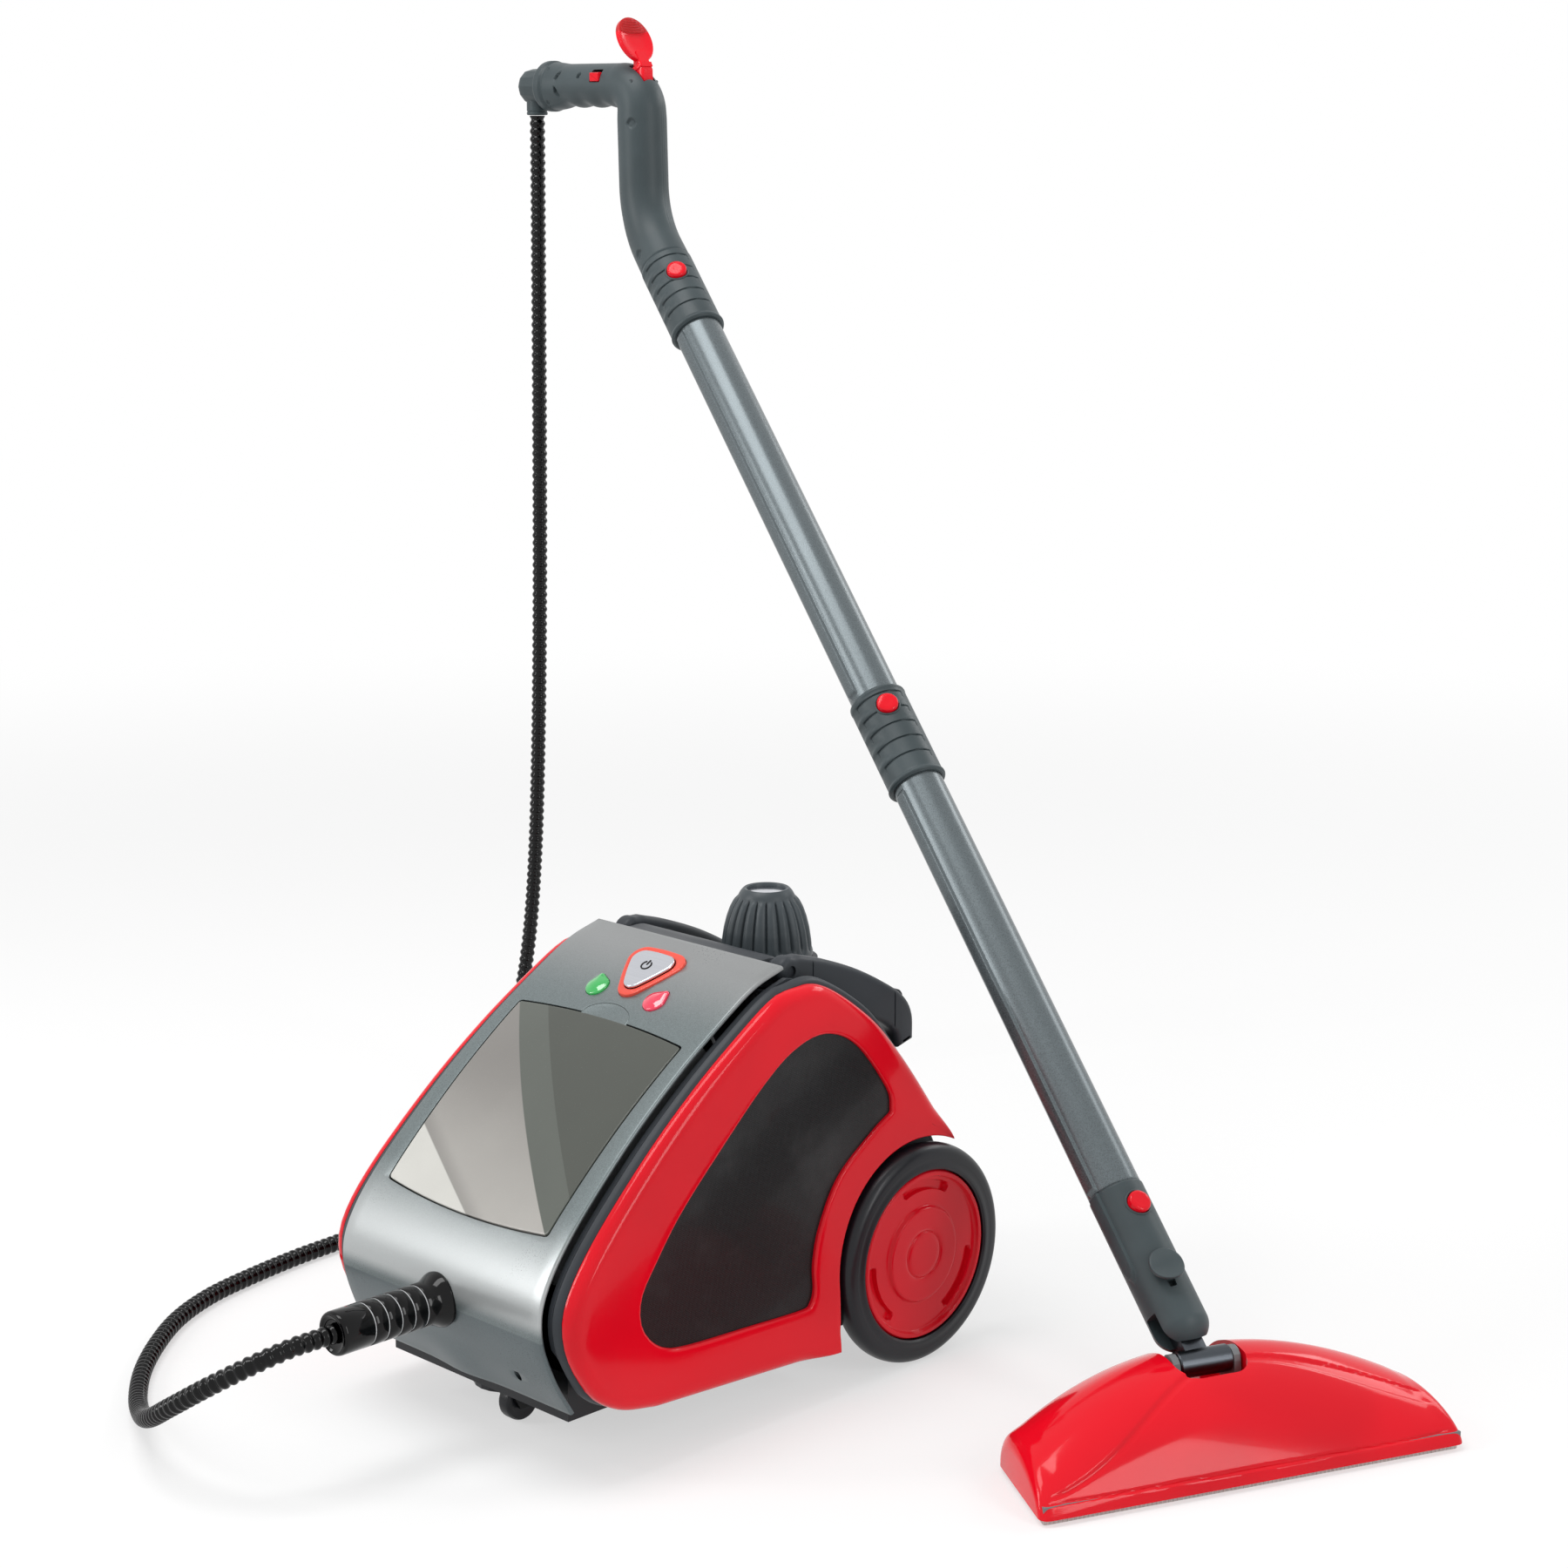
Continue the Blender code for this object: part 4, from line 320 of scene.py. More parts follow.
RED = srgb(236, 12, 34)
LOOKS = {
    # The cover's paint carries painted highlights and painted shade.
    "satin_graphite": flake_paint("graphite_paint", srgb(112, 121, 122), bands=cover_painted_light),
    "dark_trim": moulded("dark_trim_plastic", srgb(48, 52, 57), 0.46),
    "gloss_red": glossy("red_lacquer", RED),
    "hub_red": glossy("hub_lacquer", srgb(226, 14, 36), 0.20),
    "smoked_window": mesh_film("mesh_film"),
    "black_rubber": moulded("tyre_rubber", srgb(16, 18, 24), 0.36, 900, 0.00004, coat=0.08),
    "black_gloss": glossy("black_gloss", srgb(3, 3, 4), 0.10, coat=0.20),
    "wand_grey": moulded("wand_plastic", srgb(62, 72, 75), 0.44, 1500, 0.00006),
    "cap_grey": moulded("cap_plastic", srgb(66, 73, 77), 0.40, 1300, 0.00006),
    "tube_paint": flake_paint("tube_paint", srgb(96, 104, 107), 0.30),
    "silver": metal("polished_button", srgb(206, 208, 214), 0.16),
    "dark_steel": metal("blackened_steel", srgb(78, 82, 87), 0.30),
    "steel": metal("drawn_steel", srgb(170, 172, 176), 0.30),
    "brass": metal("machined_brass", srgb(196, 160, 92), 0.32),
    "lamp_green": lamp_lens("green_lens", srgb(24, 168, 72)),
    "lamp_red": lamp_lens("red_lens", srgb(226, 22, 70)),
    "inner_grey": moulded("inner_plastic", srgb(120, 123, 125), 0.55),
    "board_green": moulded("circuit_board", srgb(28, 92, 52), 0.42, 600),
    "pale_band": moulded("pale_band", srgb(206, 208, 210), 0.40, coat=0.3),
    "pad_cloth": woven_pile("pad_cloth", srgb(226, 226, 222)),
    "coral": glossy("coral_ring", srgb(246, 92, 76), 0.22),
}

# %% [markdown]
# ## Shape tools
#
# A shape is an array of points laid out in rows and columns.  These tools draw smooth lines,
# step them sideways, turn profiles, carry sections along paths and knit the rows to faces.
# Boxes pushed into shape by hand would do too, but a formula keeps every curve even and every
# measure in sight.

# %% Lines
def curve_through(points, steps=8):
    """A smooth line through every point: the cubic whose slope at each point joins its neighbours."""
    p = np.array(points, float)
    p = np.concatenate([[2 * p[0] - p[1]], p, [2 * p[-1] - p[-2]]])
    t = (np.arange(steps) / steps)[None, :, None]
    a, b, c, d = (p[k:len(p) - 3 + k, None] for k in range(4))
    line = (2 * b + (c - a) * t + (2 * a - 5 * b + 4 * c - d) * t ** 2
            + (3 * b - a - 3 * c + d) * t ** 3) / 2
    return np.concatenate([line.reshape(-1, p.shape[1]), p[-2:-1]])


def stepped(line, distance, closed=False):
    """A 2-D line moved to the left of its travel, its corners mitred."""
    p = np.asarray(line, float)
    before = np.roll(p, 1, axis=0) if closed else np.concatenate([[2 * p[0] - p[1]], p[:-1]])
    after = np.roll(p, -1, axis=0) if closed else np.concatenate([p[1:], [2 * p[-1] - p[-2]]])
    a = (p - before) / np.linalg.norm(p - before, axis=1)[:, None]
    b = (after - p) / np.linalg.norm(after - p, axis=1)[:, None]
    left = np.stack([-a[:, 1] - b[:, 1], a[:, 0] + b[:, 0]], 1)
    reach = np.maximum(left[:, 1] * a[:, 0] - left[:, 0] * a[:, 1], 0.3)
    return p + left / reach[:, None] * np.broadcast_to(distance, len(p))[:, None]


def arc(centre, radius, start, end, steps):
    """Part of a circle, from one angle in degrees to another."""
    t = np.radians(np.linspace(start, end, steps + 1))
    return np.stack([centre[0] + radius * np.cos(t), centre[1] + radius * np.sin(t)], 1)


def filleted(points, radii, steps=5):
    """A closed outline whose corners are rounded to the given radii."""
    p = np.asarray(points, float)
    out = []
    for before, at, after, radius in zip(np.roll(p, 1, 0), p, np.roll(p, -1, 0), radii):
        if radius <= 0:
            out.append(at[None])
            continue
        a, b = (before - at) / np.linalg.norm(before - at), (after - at) / np.linalg.norm(after - at)
        half = math.acos(max(-1, min(1, float(a @ b)))) / 2
        t = np.linspace(0, 1, steps + 1)[:, None]
        shorter = min(np.linalg.norm(before - at), np.linalg.norm(after - at))
        reach = min(radius / math.tan(half), 0.45 * shorter)
        start, end = at + a * reach, at + b * reach
        out.append(start * (1 - t) ** 2 + 2 * at * t * (1 - t) + end * t ** 2)
    return np.concatenate(out)


def even(line, count, closed=False):
    """The line read at equal steps of its length; a closed one doesn't repeat its start."""
    p = np.asarray(line, float)
    if closed:
        p = np.concatenate([p, p[:1]])
    run = np.concatenate([[0], np.cumsum(np.linalg.norm(np.diff(p, axis=0), axis=1))])
    at = np.linspace(0, run[-1], count + 1)[:-1] if closed else np.linspace(0, run[-1], count)
    return np.stack([np.interp(at, run, column) for column in p.T], 1)


def ease(x, low, high):
    """0 below low, 1 above high, with a smooth S between."""
    t = np.clip((np.asarray(x, float) - low) / (high - low), 0, 1)
    return t * t * (3 - 2 * t)


# %% Grids of points
def looped(rows):
    """The rows with their first column repeated at the end, so that the grid closes."""
    return np.concatenate([rows, rows[:, :1]], axis=1)


def revolved(profile, sides=96, axis="Z"):
    """A (radius, height) profile turned about an axis: x = r cos t, y = r sin t, z = height."""
    r, h = np.asarray(profile, float).T[:, :, None]
    t = np.linspace(0, 2 * math.pi, sides + 1)[None, :]
    a, b, c = r * np.cos(t), r * np.sin(t), h + 0 * t
    return np.stack({"Z": (a, b, c), "X": (c, a, b), "Y": (b, c, a)}[axis], -1)


def carried(path, side):
    """Points of a path with the two directions across it; the first stays nearest to side."""
    p = np.asarray(path, float)
    along = np.gradient(p, axis=0)
    along /= np.linalg.norm(along, axis=1)[:, None]
    first = np.asarray(side, float) - along * (along @ np.asarray(side, float))[:, None]
    first /= np.linalg.norm(first, axis=1)[:, None]
    return p, along, first, np.cross(along, first)


def plate(outline, steps, axis="X"):
    """An outline drawn out along an axis: each step is (level, how far the outline is stepped in)."""
    rows = []
    for level, inset in steps:
        line = stepped(outline, inset, closed=True)
        flat = np.full(len(line), level)
        order = {"X": (flat, line[:, 0], line[:, 1]), "Y": (line[:, 0], flat, line[:, 1]),
                 "Z": (line[:, 0], line[:, 1], flat)}[axis]
        rows.append(np.stack(order, 1))
    return looped(np.array(rows))


def rounding(low, high, radius, steps=4):
    """Steps for plate(): up from low to high, with the far edge rounded off."""
    t = np.radians(np.linspace(0, 90, steps + 1))
    return [(low, 0.0)] + [(high - radius * (1 - math.sin(a)), radius * (1 - math.cos(a))) for a in t]


# %% Places
def place(origin=(0, 0, 0), turns=None):
    """A frame as a 4 by 4 matrix."""
    m = np.eye(4)
    m[:3, 3] = origin
    if turns is not None:
        m[:3, :3] = turns
    return m


def turn(degrees, axis):
    """A rotation about one of the axes, as a 3 by 3 matrix."""
    return np.array(Matrix.Rotation(math.radians(degrees), 3, axis))


def put(points, at):
    """Points of a local frame, moved to where that frame stands."""
    return points @ at[:3, :3].T + at[:3, 3]


LEAN = 0.435


def leaned(points):
    """The canister's sides lean in: x shrinks by LEAN for every metre of height."""
    out = np.array(points)
    out[..., 0] *= 1 - LEAN * out[..., 2]
    return out


# %% From points to objects
def woven(grid):
    """Vertices and quads of a grid; a flat end that isn't drawn to a point gets one face."""
    rows, columns = grid.shape[:2]
    i = np.arange(rows - 1)[:, None] * columns + np.arange(columns - 1)[None, :]
    quads = np.stack([i, i + 1, i + columns + 1, i + columns], -1).reshape(-1, 4).tolist()
    if np.allclose(grid[:, 0], grid[:, -1], atol=1e-9):
        for row in (0, rows - 1):
            ring = grid[row, :-1]
            if np.ptp(ring, axis=0).max() > 1e-6 and not np.allclose(grid[0], grid[-1], atol=1e-9):
                quads.append((row * columns + np.arange(columns - 1)).tolist())
    return grid.reshape(-1, 3), quads


def mesh_of(name, grids, crease=35.0):
    """One mesh from several grids: joined, turned to face outwards, smooth up to the crease angle."""
    points, faces, start = [], [], 0
    for grid in grids:
        verts, quads = woven(np.asarray(grid, float))
        points.append(verts)
        faces += [[i + start for i in face] for face in quads]
        start += len(verts)
    mesh = bpy.data.meshes.new(name)
    mesh.from_pydata(np.concatenate(points), [], faces)
    bm = bmesh.new()
    bm.from_mesh(mesh)
    bmesh.ops.remove_doubles(bm, verts=bm.verts, dist=1e-6)
    bmesh.ops.dissolve_degenerate(bm, edges=bm.edges, dist=1e-7)
    bmesh.ops.recalc_face_normals(bm, faces=bm.faces)
    bm.to_mesh(mesh)
    bm.free()
    mesh.shade_smooth()
    mesh.set_sharp_from_angle(angle=math.radians(crease))
    return mesh


def show(name, grids, look, body, replaces=(), crease=35.0, cuts=(), joins=(), edge=0.0):
    """A finished piece: its mesh, openings, edge rounding and finish, riding on its body."""
    thing = bpy.data.objects.new(name, mesh_of(name, grids, crease))
    scene.collection.objects.link(thing)
    tools = []
    for operation, group in (("UNION", joins), ("DIFFERENCE", cuts)):
        for k, tool_grids in enumerate(group):
            tool = bpy.data.objects.new(f"{name}_tool", mesh_of("tool", tool_grids))
            scene.collection.objects.link(tool)
            step = thing.modifiers.new("shape", "BOOLEAN")
            step.operation, step.solver, step.object = operation, "EXACT", tool
            tools.append(tool)
    if edge:
        step = thing.modifiers.new("edge", "BEVEL")
        step.width, step.segments = edge, 2
        step.limit_method, step.angle_limit = "ANGLE", math.radians(50)
    if thing.modifiers:
        bpy.context.view_layer.update()
        settled = thing.evaluated_get(bpy.context.evaluated_depsgraph_get())
        final = bpy.data.meshes.new_from_object(settled)
        thing.modifiers.clear()
        thing.data = final
        final.shade_smooth()
        final.set_sharp_from_angle(angle=math.radians(crease))
    for tool in tools:
        bpy.data.objects.remove(tool)
    thing.data.materials.clear()
    thing.data.materials.append(LOOKS[look] if isinstance(look, str) else look)
    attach(thing, body)
    if replaces:
        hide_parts(*replaces)
    print(f"{name}: {len(thing.data.polygons)} faces")
    return thing


# %% [markdown]
# ## Frames of the parts
#
# Each part is drawn beside its own axes, because a leaning cover or wand is simplest there, and
# is then moved to its place.  The joints say where the frames stand.  The canister's lies on the
# floor a little in front of the cap, the head's X runs along its hinge, the wand's Z runs up the
# wand, and the grip's starts at the wand's top.

# %% Frames of the canister, the head, the wand and the handle, from the joints
def joint_point(name):
    """Where a joint of the frame stands."""
    return np.array(joints[name]["pos_m"])


TANK_Y = 0.070
CANISTER = place((joint_point("cap_turn")[0], joint_point("cap_turn")[1] - TANK_Y, 0))
head_axis = np.array(joints["head_pitch"]["axis"])
NECK_SHIFT, NECK_RISE = -0.005, 0.026
upright = np.array((0.0, 0.0, 1.0))
HEAD = place((*(joint_point("head_pitch") - head_axis * NECK_SHIFT)[:2], 0),
             np.stack([head_axis, np.cross(upright, head_axis), upright], 1))
wand_x = np.array(joints["neck_roll"]["axis"])
wand_y = np.cross(upright, wand_x) / np.linalg.norm(np.cross(upright, wand_x))
wand_z = np.cross(wand_x, wand_y)
WAND = place(joint_point("neck_roll") - wand_z * NECK_RISE, np.stack([wand_x, wand_y, wand_z], 1))
WAND_TOP = 0.990
GRIP = place(WAND[:3, 3] + wand_z * WAND_TOP)
ROOT = "canister_and_wand"

# %% [markdown]
# ## Steam hose
#
# The hose is ribbed, lies on the floor in one loop and then stands up to the handle.  A row of
# rings would have hundreds of seams, so it is one tube carried along its route, whose radius
# goes up and down once for every 6.4 mm.  Its strain relief is a turned sleeve with a flare,
# five ring grooves and a plain barrel end.

# %% Hose and strain relief
HOSE_ROUTE = [(0.000, -0.3134, 0.1015), (0.000, -0.328, 0.1015), (-0.002, -0.343, 0.1003),
              (-0.012, -0.363, 0.0930), (-0.036, -0.381, 0.0765), (-0.071, -0.387, 0.0540),
              (-0.108, -0.378, 0.0330), (-0.148, -0.359, 0.0165), (-0.190, -0.335, 0.0085),
              (-0.230, -0.305, 0.0068), (-0.265, -0.270, 0.0068), (-0.295, -0.232, 0.0068),
              (-0.316, -0.190, 0.0068), (-0.328, -0.145, 0.0068), (-0.337, -0.095, 0.0068),
              (-0.343, -0.040, 0.0068), (-0.357, 0.015, 0.0068), (-0.384, 0.068, 0.0068),
              (-0.423, 0.122, 0.0068), (-0.464, 0.172, 0.0085), (-0.499, 0.219, 0.0180),
              (-0.522, 0.258, 0.0410), (-0.533, 0.288, 0.0830), (-0.535, 0.304, 0.1400),
              (-0.532, 0.311, 0.2200), (-0.527, 0.313, 0.3300), (-0.522, 0.313, 0.4600),
              (-0.519, 0.313, 0.6000), (-0.517, 0.313, 0.7300), (-0.5157, 0.313, 0.8200),
              (-0.5155, 0.313, 0.8563)]
HOSE_R, RIB_PITCH, RIB_STEPS = 0.0065, 0.0064, 8
route = put(curve_through(HOSE_ROUTE, 12), CANISTER)
hose_length = float(np.linalg.norm(np.diff(route, axis=0), axis=1).sum())
ribs = round(hose_length / RIB_PITCH)
centre, along, first, second = carried(even(route, ribs * RIB_STEPS + 1), (1, 1, -1))
t = np.linspace(0, 2 * math.pi, 25)
phase = np.arange(len(centre)) / RIB_STEPS * 2 * math.pi
radius = HOSE_R - 0.0007 * (1 - np.cos(phase)) / 2 - 0.0006 * (1 - np.cos(phase)) ** 2 / 4
ring_out = first[:, None] * np.cos(t)[None, :, None] + second[:, None] * np.sin(t)[None, :, None]
hose = centre[:, None] + ring_out * radius[:, None, None]
hose_piece = show("hose_tube", [hose], "black_gloss", ROOT, replaces=["steam_hose"], crease=80)

HOSE_AXIS_Z, RELIEF_IN = 0.1015, -0.206
RELIEF = CANISTER @ place((0, RELIEF_IN, HOSE_AXIS_Z), turn(180, "Z"))
RINGS_AT = 0.0406 + 0.0105 * np.arange(5)
relief = [(0.0, 0.0), (0.0145, 0.0), (0.0145, 0.0200), (0.0168, 0.0204), (0.0182, 0.0216), (0.0185, 0.0232),
          (0.0181, 0.0246), (0.0170, 0.0268), (0.0158, 0.0292), (0.0149, 0.0322), (0.0145, 0.0350)]
for at in RINGS_AT:
    relief += [(0.0145, at - 0.0006), (0.0142, at - 0.0001), (0.0135, at), (0.0135, at + 0.0009),
               (0.0142, at + 0.0010), (0.0145, at + 0.0015)]
relief += [(0.0145, 0.1046), (0.0142, 0.1062), (0.0134, 0.1070), (0.0120, 0.1071), (0.0108, 0.1062),
           (0.0090, 0.1058), (0.0, 0.1058)]
show("relief_sleeve", [put(revolved(relief, 96, "Y"), RELIEF)], "black_gloss", ROOT, replaces=["hose_grip"])


def groove_highlight_ring(at):
    """A thin pale ring in one of the sleeve's grooves, as a painted highlight on the groove."""
    low, high = at + 0.0001, at + 0.0008
    section = [(0.0130, low), (0.01395, low), (0.01395, high), (0.0130, high), (0.0130, low)]
    return put(revolved(section, 96, "Y"), RELIEF)


# Pale rings in the grooves are painted highlights.
show("relief_bands", [groove_highlight_ring(at) for at in RINGS_AT], "pale_band", ROOT)


# %% [markdown]
# ## The canister's lines
#
# One line runs up the front over the nose, one down the back.  Everything on the body follows
# them: covers are strips bent along a line, and buttons stand square to it.

# %% Lines of the body
# Half the covers' width, then the layers of each side from the inside out.  PROUD is how far a
# layer's outline stands above the cover's line, and a negative SINK is how far it stays below.
COVER_HALF, COVER_THICK = 0.1055, 0.0025
WALL_THICK, WALL_PROUD = 0.0042, 0.002
PANEL_THICK = 0.0174
BAND_SINK, PANEL_SINK = -0.0062, -0.0085
GAP = 0.0003
AXLE_Y, AXLE_Z = 0.100, 0.078
AXLE = CANISTER @ place((0, AXLE_Y, AXLE_Z))
ARCH = 0.0825
SIDES = (("left", -1), ("right", 1))

COVER_LINE = curve_through([(-0.206, 0.046), (-0.220, 0.072), (-0.229, 0.102), (-0.2245, 0.129),
                            (-0.201, 0.162), (-0.1526, 0.208), (-0.1055, 0.245), (-0.0620, 0.2735),
                            (-0.0330, 0.2900), (-0.006, 0.2985)], 10)
BACK_LINE = curve_through([(-0.0035, 0.277), (0.030, 0.269), (0.061, 0.2535), (0.088, 0.2255), (0.112, 0.189),
                           (0.136, 0.149), (0.1485, 0.115), (0.152, 0.080), (0.150, 0.040)], 8)
FLANK_REAR = [(0.016, 0.292), (0.061, 0.261), (0.088, 0.230), (0.114, 0.193), (0.140, 0.148), (0.152, 0.120)]
WALL_FOOT = [(0.017, 0.030), (-0.163, 0.040), (-0.196, 0.052), (-0.218, 0.075)]
LEAVE_AT = -7


def flank(rear_low, rear_top=None, proud=WALL_PROUD, foot=WALL_FOOT):
    """The side's outline: foot, nose, along the cover, rear slope, and the given rear stretch.

    An outline that lies below the cover's line leaves that line a little before its end.
    """
    nose = stepped(COVER_LINE, proud)
    upper = nose[nose[:, 1] > foot[-1][1] + 0.012]
    if proud < 0:
        upper = upper[:LEAVE_AT + 1]
    start = curve_through(foot[1:] + [tuple(upper[0])], 8)[:-1]
    top = curve_through([tuple(upper[-1])] + FLANK_REAR, 8)[1:] if rear_top is None else rear_top
    return np.concatenate([[foot[0]], start, upper, top, rear_low])[::-1]


def on_cover(y, x=0.0, reach=0.004):
    """A frame on the cover at y: X across, Y up the slope, Z straight out of the surface."""
    low, middle, high = np.interp((y - reach, y, y + reach), COVER_LINE[:, 0], COVER_LINE[:, 1])
    angle = math.degrees(math.atan2(high - low, 2 * reach))
    return CANISTER @ place((x, y, middle), turn(angle, "X"))


rising = COVER_LINE[COVER_LINE[:, 1] > HOSE_AXIS_Z + 0.01]
DOOR_FOOT, DOOR_TOP, DOOR_BOW = 0.159, 0.257, 0.0055
DOOR_HALF = 0.0800
door_ends = np.array([(np.interp(z, rising[:, 1], rising[:, 0]), z) for z in (DOOR_FOOT, DOOR_TOP)])
door_run = door_ends[1] - door_ends[0]
DOOR_REACH = np.linalg.norm(door_run) / 2
door_tilt = math.degrees(math.atan2(door_run[1], door_run[0]))
DOOR = CANISTER @ place((0, *door_ends.mean(0)), turn(door_tilt, "X"))
door_along = (rising - door_ends.mean(0)) @ (door_run / (2 * DOOR_REACH))
door_rise = (rising - door_ends.mean(0)) @ np.array((-door_run[1], door_run[0])) / (2 * DOOR_REACH)


def door_outline(grow=0.0, corner=0.003):
    """The barrel shape of the door: sides straight, top and bottom bowed outwards."""
    half, reach, across, up = DOOR_HALF + grow, DOOR_REACH + grow, 25, 17
    x = np.linspace(-half, half, across)
    bow = DOOR_BOW * (1 - (x / half) ** 2)
    side = np.linspace(-reach, reach, up + 2)[1:-1]
    lower, upper = np.stack([x, -reach - bow], 1), np.stack([x[::-1], (reach + bow)[::-1]], 1)
    right, left = np.stack([0 * side + half, side], 1), np.stack([0 * side - half, side[::-1]], 1)
    line = np.concatenate([lower, right, upper, left])
    radii = np.zeros(len(line))
    radii[[0, across - 1, across + up, 2 * across + up - 1]] = corner
    return filleted(line, radii)


def over_cover(points):
    """Points of the door's frame, lifted on to the cover's own curve."""
    out = np.array(points)
    out[..., 2] += np.interp(out[..., 1], door_along, door_rise)
    return out


def cushion(outline, rings, middle=None):
    """A closed slab over an outline: rings of (share kept, inset, level), from its middle back to it."""
    centre = np.asarray(outline).mean(0) if middle is None else np.asarray(middle)
    rows = []
    for share, inset, level in rings:
        line = stepped(outline, inset, closed=True)
        line = centre + (line - centre) * share
        rows.append(np.concatenate([line, np.full((len(line), 1), level)], 1))
    return looped(np.array(rows))


def slab_rings(low, high, edge, shares=(0.97, 0.8, 0.6, 0.4, 0.2, 0.0), crown=0.0):
    """Rings of a slab with a rounded upper edge; its top may rise by crown to the middle."""
    t = np.radians(np.linspace(0, 90, 5))
    under = [(share, edge, low) for share in shares[::-1]]
    side = [(1.0, 0.0, low)] + [(1.0, edge * (1 - math.cos(a)), high - edge * (1 - math.sin(a))) for a in t]
    top = [(share, edge, high + crown * (1 - share ** 2)) for share in shares]
    return under + side + top


def strip(line, half, thick, edge, across=15):
    """A bent strip along a line: flat across, its outer edges rounded, closed by its inner face."""
    ahead = np.gradient(line, axis=0)
    out = np.stack([-ahead[:, 1], ahead[:, 0]], 1) / np.linalg.norm(ahead, axis=1)[:, None]
    t = np.radians(np.linspace(0, 90, 5))
    x = np.concatenate([np.linspace(edge - half, half - edge, across), half - edge + edge * np.sin(t[1:]),
                        [half, -half], edge - half - edge * np.cos(t[:-1])])
    depth = np.concatenate([np.zeros(across), edge - edge * np.cos(t[1:]), [thick, thick],
                            edge - edge * np.sin(t[:-1])])
    flat = line[:, None, :] - out[:, None, :] * depth[None, :, None]
    rows = np.concatenate([np.broadcast_to(x[None, :, None], flat.shape[:2] + (1,)), flat], -1)
    return looped(rows)


def triangle(half, steps=8):
    """A rounded triangle that points down the slope, its sides slightly bowed."""
    corner = half * 0.42
    sides = []
    for angle in (30, 150, 270):
        reach = (half - corner) * 1.08
        t = math.radians(angle)
        centre = (reach * math.cos(t), reach * math.sin(t) + half * 0.08)
        sides.append(arc(centre, corner, angle - 54, angle + 54, steps))
    rows = []
    for a, b in zip(sides, np.roll(np.array(sides), -1, axis=0)):
        rows.append(a)
        t = np.linspace(0, 1, 6)[1:-1, None]
        middle = a[-1] * (1 - t) + b[0] * t
        rows.append(middle * (1 + 0.035 * np.sin(t * math.pi)))
    return np.concatenate(rows)


def teardrop(half, side):
    """A lamp's outline: a circle drawn out to a rounded point on one side."""
    tip = np.array((side * half * 0.50, half * 1.22))
    lean = math.degrees(math.atan2(tip[1], tip[0]))
    return np.concatenate([arc((0, 0), half, lean + 62, lean + 298, 26),
                           arc(tip * 0.76, half * 0.30, lean - 60, lean + 60, 8)])


# %% [markdown]
# ## Front cover and storage door
#
# The cover could be cut from a block, but a bent strip keeps its reflections as smooth as the
# line it follows.  Its openings are cut after the bend, so that their walls stand square.
# The door is a slab on the same curve; its edge is a quarter round that catches the light.

# %% Front cover
def block(outline, low, high, at, axis="Z"):
    """A straight-sided cutter over an outline."""
    return [put(plate(outline, [(low, 0), (high, 0)], axis), at)]


def post(radius, low, high, at, axis="Z", sides=48):
    """A round rod, to cut a hole or to join on."""
    return [put(revolved([(0, low), (radius, low), (radius, high), (0, high)], sides, axis), at)]


cover = strip(COVER_LINE, COVER_HALF, COVER_THICK, 0.0016, 23)
chin = 0.0035 * np.exp(-(cover[..., 0] / 0.024) ** 2) * ease(cover[..., 2], 0.075, 0.050)
cover[..., 1] -= chin
FINGER_HALF, FINGER_RISE = 0.0225, 0.0135
FINGER = np.concatenate([arc((0, 0), 1, 0, 180, 24) * (FINGER_HALF, FINGER_RISE) + (0, DOOR_REACH + DOOR_BOW),
                         [(-FINGER_HALF, DOOR_REACH - 0.004), (FINGER_HALF, DOOR_REACH - 0.004)]])
LAMPS = [("lamp_power", -1, "lamp_green"), ("lamp_ready", 1, "lamp_red")]
CONTROL = on_cover(-0.0440)
LAMP_FRAMES = [on_cover(-0.0630, side * 0.0285) for _, side, _ in LAMPS]
SCREW = CANISTER @ place((0.0640, -0.2175, 0.0655), turn(-118, "X"))
openings = [block(door_outline(0.0012, 0.0042), -0.02, 0.02, DOOR), block(FINGER, -0.02, 0.02, DOOR),
            post(0.0148, -0.03, 0.03, CANISTER @ place((0, -0.229, HOSE_AXIS_Z)), "Y"),
            post(0.0029, -0.0016, 0.02, SCREW), block(triangle(0.0264), -0.012, 0.02, CONTROL)]
openings += [block(teardrop(0.0091, side), -0.012, 0.02, at)
             for (_, side, _), at in zip(LAMPS, LAMP_FRAMES)]
show("cover_shell", [put(leaned(cover), CANISTER)], "satin_graphite", ROOT, replaces=["front_cover"],
     cuts=openings, edge=0.0004)
dish_rings = slab_rings(-0.0022, 0.0004, 0.0008, (0.96, 0.8, 0.6, 0.4, 0.2, 0.0), -0.0016)
finger_dish = cushion(FINGER, dish_rings, (0, DOOR_REACH + DOOR_BOW + 0.005))
show("finger_dish", [put(over_cover(finger_dish - (0, 0, 0.0003)), DOOR)], "satin_graphite", ROOT)

# %% Storage door
door_shares = (0.985, 0.93, 0.86, 0.75, 0.6, 0.45, 0.3, 0.15, 0.0)
slab = cushion(door_outline(), slab_rings(-0.0020, 0.0004, 0.0007, door_shares))
HINGE = place(joint_point("storage_door_open"), turn(door_tilt, "X"))
knuckle = [(-0.0030, -0.0030), (0.0040, -0.0030), (0.0040, 0.0032), (-0.0030, 0.0032)]
knuckles = [put(plate(knuckle, [(side * (DOOR_HALF - 0.020), 0), (side * (DOOR_HALF - 0.008), 0)]), HINGE)
            for side in (-1, 1)]


